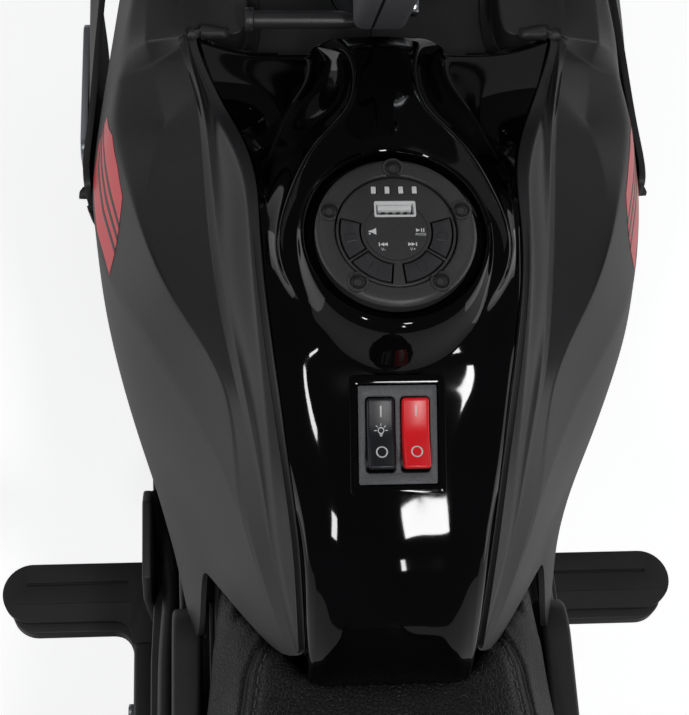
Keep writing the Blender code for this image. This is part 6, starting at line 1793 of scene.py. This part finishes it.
def bars_and_grips():
    half = [
        (0.0, 0.0, BAR_HEIGHT), (0.022, 0.0, BAR_HEIGHT), (0.042, 0.0, BAR_HEIGHT),
        (0.062, 0.0, BAR_HEIGHT + 0.012),
    ]
    half += [(0.092, -0.001, BAR_RISE - 0.01), (0.112, -0.0035, BAR_RISE), tuple(GRIP_START)]
    half += [tuple(GRIP_START.lerp(GRIP_END, 0.45)), tuple(GRIP_START.lerp(GRIP_END, 0.95))]
    route = [(-x, y, z) for x, y, z in reversed(half[1:])] + half
    bar = tube("handlebar_tube", route, BAR_RADIUS - 0.0001)
    settle(bar, "steering", "steel", stands_for=["handlebar"], angle=40.0, place=STEERING_PLACE)
    length = (GRIP_END - GRIP_START).length
    low = length - GRIP_LENGTH
    bore = BAR_RADIUS + 0.0005
    profile = [
        (0.0, length), (0.014, length), (0.018, length - 0.001), (0.0194, length - 0.003),
        (0.0194, length - 0.005),
    ]
    profile += [(0.018, length - 0.0068), (0.0166, length - 0.0076)]
    ridges = 19
    pitch = (length - 0.009 - low - 0.0095) / ridges
    for k in range(ridges):
        top = length - 0.009 - pitch * k
        profile += [
            (0.0153, top - 0.15 * pitch), (0.0153, top - 0.4 * pitch), (0.0165, top - 0.55 * pitch),
            (0.0165, top - pitch),
        ]
    profile += [
        (0.0176, low + 0.0085), (0.0194, low + 0.0065), (0.0194, low + 0.0012), (0.0186, low), (bore, low)
    ]
    profile += [(bore, length - 0.005), (0.0, length - 0.005)]
    direction = GRIP_END - GRIP_START
    for side_of, name, body in ((-1, "grip_left", "steering"), (1, "throttle_grip", "throttle")):
        grip = lathe(f"{name}_sleeve", profile, 64)
        way = Vector((side_of * direction.x, direction.y, direction.z))
        turn = pointing(way)
        start = Matrix.Translation((side_of * GRIP_START.x, GRIP_START.y, GRIP_START.z))
        settle(grip, body, "tyre_black", stands_for=[name], angle=32.0, place=STEERING_PLACE @ start @ turn)
    place = STEERING_PLACE @ Matrix.Translation(GRIP_START) @ pointing(direction)
    case = [
        (bore, low - 0.0006), (0.0178, low - 0.0006), (0.0203, low - 0.0022), (0.0203, low - 0.0066),
        (0.0197, low - 0.007),
    ]
    case += [
        (0.0197, low - 0.0076), (0.0203, low - 0.008), (0.0203, low - 0.0122), (0.018, low - 0.014),
        (bore, low - 0.014),
    ]
    housing = lathe("throttle_case", case, 72, closed=True)
    heads = []
    for k in (0.6, 2.5):
        at = Matrix.Rotation(k * math.pi / 2, 4, "Z") @ facing_out(0.0196, 0.0, low - 0.0045)
        heads.append(cap_screw("case_screw", at, 0.002, 0.0013))
    whole = merged("throttle_case_dressed", [housing, *heads])
    settle(whole, "steering", "case_grey", stands_for=["throttle_housing"], angle=32.0, place=place)


def headlight():
    """Cowl with a rolled mouth, a domed lens, the reflector bowl behind it and its lamp."""
    stations = [
        (0.0472, 0.046, -0.036, 0.04), (0.056, 0.0578, -0.0458, 0.0498), (0.076, 0.0636, -0.0497, 0.0557)
    ]
    stations += [(0.0955, 0.0578, -0.0458, 0.0498), (0.1035, 0.049, -0.039, 0.043)]
    rings = []
    around = 24
    for y, half, low, high in stations:
        middle = (low + high) / 2
        reach = (high - low) / 2
        ring = []
        for k in range(around):
            angle = TWO_PI * k / around
            c = math.cos(angle)
            s = math.sin(angle)
            ahead = 0.0098 * (s if y > 0.07 else 0.0)
            x = half * math.copysign(abs(c) ** 0.75, c)
            ring.append((x, y + ahead, middle + reach * math.copysign(abs(s) ** 0.75, s)))
        rings.append(ring)
    cowl = lofted("lamp_cowl", rings)
    round_edges(cowl, 0.0022, 2, angle=50.0)
    apply(cowl, "SUBSURF", levels=1, render_levels=1)
    ahead = Matrix.Rotation(-math.pi / 2, 4, "X")
    mouth = rod("lamp_mouth", 0.0386, 0.0, 0.06, sides=96)
    rest(mouth, Matrix.Translation((0.0, 0.07, 0.002)) @ ahead)
    well = rod("lamp_well", 0.03, 0.0, 0.022, sides=96)
    rest(well, Matrix.Translation((0.0, 0.05, 0.002)) @ ahead)
    carve(cowl, mouth, well)
    settle(cowl, "steering", "gloss_black", stands_for=["headlight_cowl"], place=STEERING_PLACE)
    dome = [
        (0.0, 0.037), (0.007, 0.0368), (0.014, 0.036), (0.02, 0.0345), (0.026, 0.0325), (0.031, 0.0298),
        (0.035, 0.0265),
    ]
    dome += [
        (0.0372, 0.024), (0.038, 0.022), (0.038, 0.0004), (0.0356, 0.0004), (0.0352, 0.0205),
        (0.033, 0.024), (0.026, 0.0292),
    ]
    dome += [(0.014, 0.033), (0.0, 0.034)]
    lens = lathe("lamp_lens", dome, 96)
    place = STEERING_PLACE @ Matrix.Translation((0.0, 0.07, 0.002)) @ ahead
    settle(lens, "steering", "clear_lens", stands_for=["headlight_lens"], place=place)
    bowl_profile = [
        (0.0345, 0.0015), (0.0345, 0.003), (0.0292, 0.003), (0.027, -0.005), (0.022, -0.012),
        (0.013, -0.017), (0.005, -0.0185),
    ]
    bowl_profile += [
        (0.0, -0.0185), (0.0, -0.0196), (0.006, -0.0196), (0.014, -0.0184), (0.0235, -0.013),
        (0.0284, -0.006), (0.0296, 0.0015),
    ]
    bowl = lathe("lamp_bowl", bowl_profile, 96)
    settle(bowl, "steering", "lamp_reflector", place=place)
    bead = [
        (0.0, -0.008), (0.003, -0.0086), (0.0046, -0.0102), (0.005, -0.0125), (0.005, -0.0186),
        (0.0, -0.0186),
    ]
    settle(lathe("lamp_bulb", bead, 40), "steering", "white_lens", angle=40.0, place=place)


# Bodywork
SHROUD_STATIONS = [
    # y, then outer x and z of the top edge, outer x below it, bottom z
    (0.262, 0.099, 0.474, 0.1045, 0.376),
    (0.237, 0.1005, 0.4715, 0.1046, 0.364),
    (0.213, 0.1025, 0.467, 0.1046, 0.366),
    (0.19, 0.1044, 0.4625, 0.1048, 0.382),
    (0.174, 0.106, 0.46, 0.1056, 0.408),
    (0.164, 0.1054, 0.459, 0.1056, 0.438),
]


def shrouds():
    rows = []
    for y, top_x, top_z, x, bottom_z in SHROUD_STATIONS:
        span = top_z - bottom_z
        heights = [top_z, top_z - 0.01, top_z - 0.36 * span, top_z - 0.68 * span, bottom_z + 0.006, bottom_z]
        places = [top_x, x, x - 0.0002, x - 0.0006, x, x - 0.001]
        rows.append([(px, y, pz) for px, pz in zip(places, heights)])
    shell = skin_of("shroud_panel_right", rows, {1: 0.5, 3: 0.35, 4: 0.5}, 3)
    face_towards(shell, (1.0, 0.0, 0.0))
    apply(shell, "SOLIDIFY", thickness=0.0024, offset=-1.0)
    round_edges(shell, 0.0006, 2, angle=50.0)
    tab = block("shroud_tab", (0.0036, 0.012, 0.012), (0.1005, 0.22, 0.42), 0.0006)
    both_sides(merged("shroud_panel_right", [shell, tab]), "chassis", "body_black", "shroud", angle=45.0)
    outline = [(0.26, 0.432), (0.26, 0.386), (0.24, 0.37), (0.212, 0.372), (0.196, 0.392), (0.196, 0.432)]
    core = side_plate("grille_core", outline, 0.1053, 0.1078, corner=0.007, edge=0.0005)
    border = side_plate("grille_border", outline, 0.106, 0.11, corner=0.007, edge=0.0007)
    middle = (0.2285, 0.403)
    inner = [(middle[0] + (y - middle[0]) * 0.9, middle[1] + (z - middle[1]) * 0.88) for y, z in outline]
    carve(border, side_plate("grille_window", inner, 0.105, 0.112, corner=0.006))
    slats = []
    for k in range(11):
        z = 0.378 + 0.0048 * k
        first = 0.1975 + (0.012 if z < 0.389 else 0.0)
        last = 0.2585 - (0.012 if z < 0.385 else 0.0)
        size = (0.0026, last - first, 0.0013)
        slats.append(block("grille_slat", size, (0.1086, (first + last) / 2, z), 0.0004, 1))
    both_sides(merged("radiator_grille_right", [core, border, *slats]), "chassis", "silver", "radiator")


COVER_FACE = 0.06
PANEL_FACE = 0.0757


def crank_drum(name, centre, radius, face):
    """A round engine cover: a stepped drum with a dished middle and a ring of screws."""
    y, z = centre
    tall = face - COVER_FACE
    profile = [
        (0.0, tall - 0.0022), (0.42 * radius, tall - 0.0022), (0.5 * radius, tall - 0.0004),
        (0.55 * radius, tall),
    ]
    profile += [
        (radius - 0.006, tall), (radius - 0.0044, tall - 0.0012), (radius - 0.0032, tall - 0.004),
        (radius, tall - 0.005),
    ]
    profile += [(radius, -0.004), (0.0, -0.004)]
    at = Matrix.Translation((0.76 * radius, 0.0, tall - 0.0004))
    head = cap_screw(f"{name}_screw", at, 0.0028, 0.0018)
    pieces = [lathe(name, profile, 72), ring_of(head, f"{name}_screws", 5)]
    return on_x(merged(name, pieces), (COVER_FACE, y, z))


def engine_sides():
    plan = [
        (0.16, 0.16), (0.165, 0.25), (0.15, 0.335), (0.01, 0.335), (-0.06, 0.27), (-0.095, 0.245),
        (-0.095, 0.165),
    ]
    plan += [(-0.06, 0.14), (0.12, 0.14)]
    back = side_plate("engine_back", plan, 0.0504, COVER_FACE, corner=0.016, edge=0.002)
    rim_step = [(0.0325 + (y - 0.0325) * 0.93, 0.2375 + (z - 0.2375) * 0.91) for y, z in plan]
    step = side_plate(
        "engine_step", rim_step, COVER_FACE - 0.001, COVER_FACE + 0.0022, corner=0.014, edge=0.0012
    )
    pieces = [back, step]
    pieces.append(crank_drum("crank_drum_a", (-0.016, 0.196), 0.042, COVER_FACE + 0.02))
    pieces.append(crank_drum("crank_drum_b", (0.062, 0.196), 0.04, COVER_FACE + 0.014))
    for k, (y, z, radius) in enumerate(((0.075, 0.222, 0.022), (-0.072, 0.222, 0.018), (0.1, 0.165, 0.018))):
        boss = rod(f"engine_boss_{k}", radius, 0.0, 0.0151, sides=56, bevel=0.0012)
        pieces.append(on_x(boss, (COVER_FACE, y, z)))
    for k in range(5):
        size = (0.0158, 0.1 - 0.004 * k, 0.0058)
        fin = block(f"engine_fin_{k}", size, (COVER_FACE + 0.006, 0.09, 0.262 + 0.0135 * k), 0.001, 2)
        pieces.append(fin)
    head = block("cylinder_head", (0.008, 0.09, 0.01), (COVER_FACE + 0.004, 0.088, 0.327), 0.0015, 2)
    pieces.append(head)
    for y, z in ((0.145, 0.175), (0.148, 0.24), (0.135, 0.322), (-0.08, 0.18), (-0.04, 0.272), (0.03, 0.318)):
        pieces.append(cap_screw("engine_screw", facing_out(COVER_FACE + 0.002, y, z), 0.0036, 0.0024))
    both_sides(merged("engine_side_right", pieces), "chassis", "rim_black", "engine_cover")


def side_panels():
    plan = [
        (0.03, 0.352), (0.027, 0.377), (0.016, 0.3835), (-0.274, 0.3835), (-0.262, 0.34), (-0.205, 0.3),
        (-0.06, 0.3),
    ]
    plan += [(0.02, 0.336)]
    panel = side_plate("side_panel", plan, 0.0648, PANEL_FACE, corner=0.006, edge=0.002)
    recess = [(-0.05, 0.368), (-0.235, 0.368), (-0.225, 0.34), (-0.08, 0.325)]
    carve(panel, side_plate("panel_recess", recess, PANEL_FACE - 0.0022, 0.083, corner=0.007))
    pieces = [panel]
    for k in range(5):
        y = -0.1 - 0.024 * k
        foot = 0.33 + 0.0022 * k
        outline = [(y, foot), (y - 0.008, foot), (y - 0.02, 0.364), (y - 0.012, 0.364)]
        pieces.append(side_plate("louvre", outline, PANEL_FACE - 0.003, PANEL_FACE - 0.0008, edge=0.0007))
    for y, z in ((-0.03, 0.345), (-0.185, 0.35)):
        pieces.append(on_x(rod("panel_lug", 0.0079, 0.0505, 0.068, sides=40), (0.0, y, z)))
    for y, z in ((-0.028, 0.35), (-0.245, 0.374), (-0.075, 0.309)):
        pieces.append(cap_screw("panel_screw", facing_out(PANEL_FACE - 0.0003, y, z), 0.0036, 0.002))
    both_sides(merged("side_panel_right", pieces), "chassis", "body_black", "side_cover")


def silencer():
    out = 0.103
    start = Vector((out, -0.135, 0.228))
    end = Vector((out + 0.005, -0.33, 0.285))
    length = (end - start).length
    profile = [
        (0.0, 0.0), (0.014, 0.0), (0.0155, 0.003), (0.025, 0.02), (0.0266, 0.022), (0.0266, 0.026),
        (0.0258, 0.0272),
    ]
    profile += [
        (0.0258, length - 0.04), (0.0266, length - 0.0388), (0.0264, length - 0.03),
        (0.0252, length - 0.029), (0.0246, length - 0.002),
    ]
    profile += [
        (0.0238, length), (0.015, length), (0.0134, length + 0.0004), (0.0134, length - 0.03),
        (0.0, length - 0.03),
    ]
    can = lathe("silencer_can", profile, 88)
    turn = pointing(end - start)
    rest(can, Matrix.Translation(start) @ turn)
    route = [
        (0.083, 0.1, 0.165), (0.09, 0.098, 0.1648), (0.0938, 0.078, 0.161), (0.095, 0.03, 0.16),
        (0.095, -0.03, 0.168),
    ]
    route += [(0.099, -0.1, 0.192), (0.102, -0.125, 0.214), (out, -0.14, 0.227)]
    pipe = tube("exhaust_pipe", route, 0.0104)
    flange = rod("exhaust_flange", 0.013, 0.0756, 0.085, sides=48, bevel=0.001)
    on_x(flange, (0.0, 0.1, 0.165))
    strap = block("silencer_strap", (0.0285, 0.018, 0.006), (0.088, -0.205, 0.31), 0.001)
    hoop = lathe(
        "strap_hoop", [(0.0262, -0.0088), (0.0284, -0.0084), (0.0284, 0.0084), (0.0262, 0.0088)], 88,
        closed=True,
    )
    rest(hoop, Matrix.Translation(start.lerp(end, 0.36)) @ turn)
    hanger = block("silencer_hanger", (0.003, 0.018, 0.034), (0.0768, -0.205, 0.299), 0.0009)
    whole = merged("silencer_dressed", [can, pipe, flange, strap, hoop, hanger])
    settle(whole, "chassis", "silver", stands_for=["exhaust"])


def tail():
    rings = []
    half_widths = [
        (-0.2856, 0.0598), (-0.33, 0.0588), (-0.39, 0.0528), (-0.45, 0.0428), (-0.5, 0.0318),
        (-0.533, 0.024),
    ]
    lows = [(-0.2856, 0.3866), (-0.39, 0.3866), (-0.45, 0.4), (-0.5, 0.423), (-0.533, 0.444)]
    highs = [(-0.2856, 0.446), (-0.33, 0.458), (-0.39, 0.466), (-0.45, 0.47), (-0.5, 0.471), (-0.533, 0.468)]
    for y in (-0.2856, -0.3, -0.33, -0.36, -0.39, -0.42, -0.45, -0.48, -0.505, -0.52, -0.533):
        half = read_line(half_widths, y)
        low = read_line(lows, y)
        high = read_line(highs, y)
        upper = high - 0.35 * (high - low)
        right = [
            (0.0, low), (0.62 * half, low), (half, low + 0.01), (half, upper), (0.8 * half, high - 0.004)
        ]
        right += [(0.4 * half, high), (0.0, high + 0.0002)]
        left = [(-x, z) for x, z in reversed(right[1:-1])]
        rings.append([Vector((x, y, z)) for x, z in right + left])
    cover = lofted("tail_shell", rings)
    round_edges(cover, 0.004, 3, angle=24.0)
    pocket = block("lamp_pocket", (0.0364, 0.024, 0.0144), (0.0, -0.533, 0.456))
    carve(cover, pocket)
    flap = side_plate(
        "rear_flap", [(-0.44, 0.405), (-0.452, 0.405), (-0.512, 0.3), (-0.506, 0.297)], -0.034, 0.034,
        edge=0.0012,
    )
    settle(merged("tail_dressed", [cover, flap]), "chassis", "body_black", stands_for=["tail_cover"])
    lamp = block("rear_lamp", (0.0355, 0.0114, 0.0135), (0.0, -0.5272, 0.456), 0.0014, 3)
    ridges = []
    for k in range(9):
        place = (0.0036 * (k - 4), -0.5329, 0.456)
        ridges.append(block("lamp_ridge", (0.0016, 0.0012, 0.0108), place, 0.0005, 1))
    settle(merged("rear_lamp_dressed", [lamp, *ridges]), "chassis", "red", stands_for=["tail_light"])


def swingarm_and_drive():
    outline = [(-0.105, 0.205), (-0.15, 0.24), (-0.23, 0.19), (REAR_AXLE_Y - 0.02, WHEEL_RADIUS + 0.018)]
    outline += [
        (REAR_AXLE_Y - 0.02, WHEEL_RADIUS - 0.018), (REAR_AXLE_Y + 0.045, WHEEL_RADIUS - 0.022),
        (-0.2, 0.13), (-0.11, 0.165),
    ]
    arm = side_plate("swingarm_plate", outline, 0.062, 0.07, corner=0.013, edge=0.0014)
    recess = [
        (-0.215, 0.183), (REAR_AXLE_Y + 0.026, WHEEL_RADIUS + 0.011),
        (REAR_AXLE_Y + 0.026, WHEEL_RADIUS - 0.01), (-0.205, 0.142),
    ]
    carve(arm, side_plate("swingarm_recess", recess, 0.068, 0.08, corner=0.008))
    carve(arm, on_x(rod("swingarm_bore", 0.0054, 0.055, 0.08, sides=40), (0.0, REAR_AXLE_Y, WHEEL_RADIUS)))
    pad = side_plate(
        "swingarm_pad", [(-0.112, 0.2), (-0.15, 0.228), (-0.158, 0.18), (-0.118, 0.17)], 0.0505, 0.063,
        corner=0.006,
    )
    pieces = [arm, pad]
    rib = side_plate(
        "swingarm_rib",
        [(-0.222, 0.16), (-0.222, 0.166), (REAR_AXLE_Y + 0.03, 0.133), (REAR_AXLE_Y + 0.03, 0.127)], 0.067,
        0.0695, edge=0.0006,
    )
    pieces.append(rib)
    pieces.append(cap_screw("swingarm_pivot", facing_out(0.0698, -0.137, 0.197), 0.0078, 0.0034))
    both_sides(merged("swingarm_plate_right", pieces), "chassis", "body_black", "swingarm")


# Finishes of the nodes that keep their shape
def dress_nodes():
    record_slots = {part["node"]: part["material_slot"] for part in frame["record"]["subparts"]}
    for name, node in NODES.items():
        finish = FINISH[record_slots[name]]
        if node.material_slots:
            for holder in node.material_slots:
                holder.material = finish
        else:
            node.data.materials.append(finish)


# Coloured films on the tank's flanks
DECAL_TOP = [(0.179, 0.482), (0.1667, 0.4883), (0.1547, 0.4876), (0.1436, 0.4851)]
DECAL_BOTTOM = [(0.1757, 0.47), (0.165, 0.462), (0.1442, 0.46), (0.124, 0.464)]
DECAL_STRIPES = [(0.34, 0.4), (0.5, 0.56), (0.66, 0.72)]


def film(name, skin, start, end, lift):
    """A strip of film pressed on the right flank, from share start to share end across the decal."""
    along = 24
    across = 8
    points = []
    for i in range(along + 1):
        at = 3.0 * i / along
        k = min(2, int(at))
        t = at - k
        high = [a + (b - a) * t for a, b in zip(DECAL_TOP[k], DECAL_TOP[k + 1])]
        low = [a + (b - a) * t for a, b in zip(DECAL_BOTTOM[k], DECAL_BOTTOM[k + 1])]
        for j in range(across + 1):
            share = start + (end - start) * j / across
            y = high[0] + (low[0] - high[0]) * share
            z = high[1] + (low[1] - high[1]) * share
            point, normal, _, _ = skin.ray_cast(Vector((0.2, y, z)), Vector((-1.0, 0.0, 0.0)))
            points.append(point + lift * normal)
    faces = [(a, d, c, b) for a, b, c, d in grid_faces(along + 1, across + 1)]
    piece = mesh_piece(name, points, faces)
    face_towards(piece, (1.0, 0.0, 0.0))
    apply(piece, "SOLIDIFY", thickness=0.0001, offset=1.0)
    return piece


def decals(skin):
    both_sides(film("flank_film_right", skin, 0.0, 1.0, 0.00006), "chassis", "decal_pink", angle=60.0)
    for k, (start, end) in enumerate(DECAL_STRIPES):
        both_sides(
            film(f"film_stripe_{k}_right", skin, start, end, 0.00014), "chassis", "decal_dark", angle=60.0
        )


# Studio
def area_light(name, location, target, size, power):
    data = bpy.data.lights.new(name, "AREA")
    data.energy = power
    data.shape = "RECTANGLE"
    data.size = size[0]
    data.size_y = size[1]
    light = bpy.data.objects.new(name, data)
    bpy.context.scene.collection.objects.link(light)
    light.location = location
    direction = Vector(target) - Vector(location)
    light.rotation_euler = direction.to_track_quat("-Z", "Y").to_euler()


WORLD_COLOUR = (0.9, 0.93, 1.0, 1.0)
WORLD_LEVEL = 0.11
WORLD_SEEN = 0.8
FLOOR_COLOUR = (0.86, 0.86, 0.86, 1.0)
FLOOR_MIRRORED = (0.05, 0.05, 0.05, 1.0)
FLOOR_SEEN = 0.7
FLOOR_BESIDE = 0.9
LIGHTS = [
    # name, place, the point that it faces, its two sizes in metres and its power in watts
    ("left_bank", (-1.5, 0.15, 0.32), (0.0, 0.05, 0.45), (1.5, 0.6), 4.8),
    ("right_bank", (1.5, 0.15, 0.32), (0.0, 0.05, 0.45), (1.5, 0.6), 4.6),
    ("left_card", (-0.68, 0.65, 1.6), (0.0, 0.15, 0.51), (0.8, 0.8), 1.1),
    ("right_card", (0.68, 0.65, 1.6), (0.0, 0.15, 0.51), (0.8, 0.8), 1.1),
    ("rear_softbox_right", (0.25, -0.72, 1.56), (0.01, 0.03, 0.49), (0.11, 0.22), 4.2),
    ("rear_softbox_left", (-0.4, -0.72, 1.42), (-0.028, 0.05, 0.5), (0.08, 0.2), 2.2),
    ("rear_softbox_low", (0.19, -1.02, 1.15), (0.01, 0.07, 0.512), (0.05, 0.2), 1.4),
]


def set_world():
    """A dim sky on the object, and a bright one behind it for the camera."""
    world = bpy.data.worlds.new("studio")
    world.use_nodes = True
    bpy.context.scene.world = world
    tree = world.node_tree
    sky = tree.nodes["Background"]
    sky.inputs["Color"].default_value = WORLD_COLOUR
    ray = add_node(tree, "LightPath")
    level = add_node(tree, "Math", {1: WORLD_SEEN, 2: WORLD_LEVEL}, operation="MULTIPLY_ADD")
    wire(tree, (ray, "Is Camera Ray", level, 0), (level, "Value", sky, "Strength"))


def lay_floor():
    """A pale floor; mirrored in the gloss cover, it's bright beside the machine only, and dark behind it."""
    bpy.ops.mesh.primitive_plane_add(size=16.0, location=(0.0, 0.0, -0.0002))
    floor = named("floor")
    tree, shader = new_finish("studio_floor")
    shader.inputs["Roughness"].default_value = 0.9
    shader.inputs["Emission Color"].default_value = (1.0, 1.0, 1.0, 1.0)
    path = add_node(tree, "LightPath")
    place = add_node(tree, "TexCoord")
    split = add_node(tree, "SeparateXYZ")
    away = add_node(tree, "Math", operation="ABSOLUTE")
    beside = add_node(tree, "MapRange", {"From Min": 0.1, "From Max": 0.34}, interpolation_type="SMOOTHSTEP")
    glossy = add_node(tree, "Math", operation="MULTIPLY")
    dim = add_node(tree, "Math", {1: FLOOR_BESIDE}, operation="MULTIPLY")
    seen = add_node(tree, "Math", operation="MAXIMUM")
    through = add_node(tree, "Math", operation="MAXIMUM", use_clamp=True)
    strength = add_node(tree, "Math", {1: FLOOR_SEEN}, operation="MULTIPLY")
    mirrored = add_node(tree, "Mix", {"A": FLOOR_COLOUR, "B": FLOOR_MIRRORED}, data_type="RGBA")
    wire(
        tree,
        (place, "Object", split, "Vector"),
        (split, "X", away, 0),
        (away, "Value", beside, "Value"),
        (path, "Is Glossy Ray", glossy, 0),
        (beside, "Result", glossy, 1),
        (glossy, "Value", dim, 0),
        (path, "Is Camera Ray", seen, 0),
        (dim, "Value", seen, 1),
        (seen, "Value", through, 0),
        (path, "Is Transmission Ray", through, 1),
        (through, "Value", strength, 0),
        (strength, "Value", shader, "Emission Strength"),
        (path, "Is Glossy Ray", mirrored, "Factor"),
        (mirrored, "Result", shader, "Base Color"),
    )
    floor.data.materials.append(FINISH["studio_floor"])


def studio():
    bpy.context.scene.view_settings.view_transform = "Standard"
    set_world()
    lay_floor()
    for name, location, target, size, power in LIGHTS:
        area_light(name, location, target, size, power)


place_camera()
dress_nodes()
decals(tank_sides())
cover_skin = tank_cover()
dish_lip(cover_skin)
switch_frame()
player_ring()
player_face()
player_buttons()
player_marks()
usb_port()
lamp_bars()
switches()
seat()
footrests()
frame_trim()
clamp_and_stop_rod()
wheels()
trainers()
fork()
mudguard()
column_and_crown()
bars_and_grips()
headlight()
shrouds()
engine_sides()
side_panels()
silencer()
tail()
swingarm_and_drive()
studio()
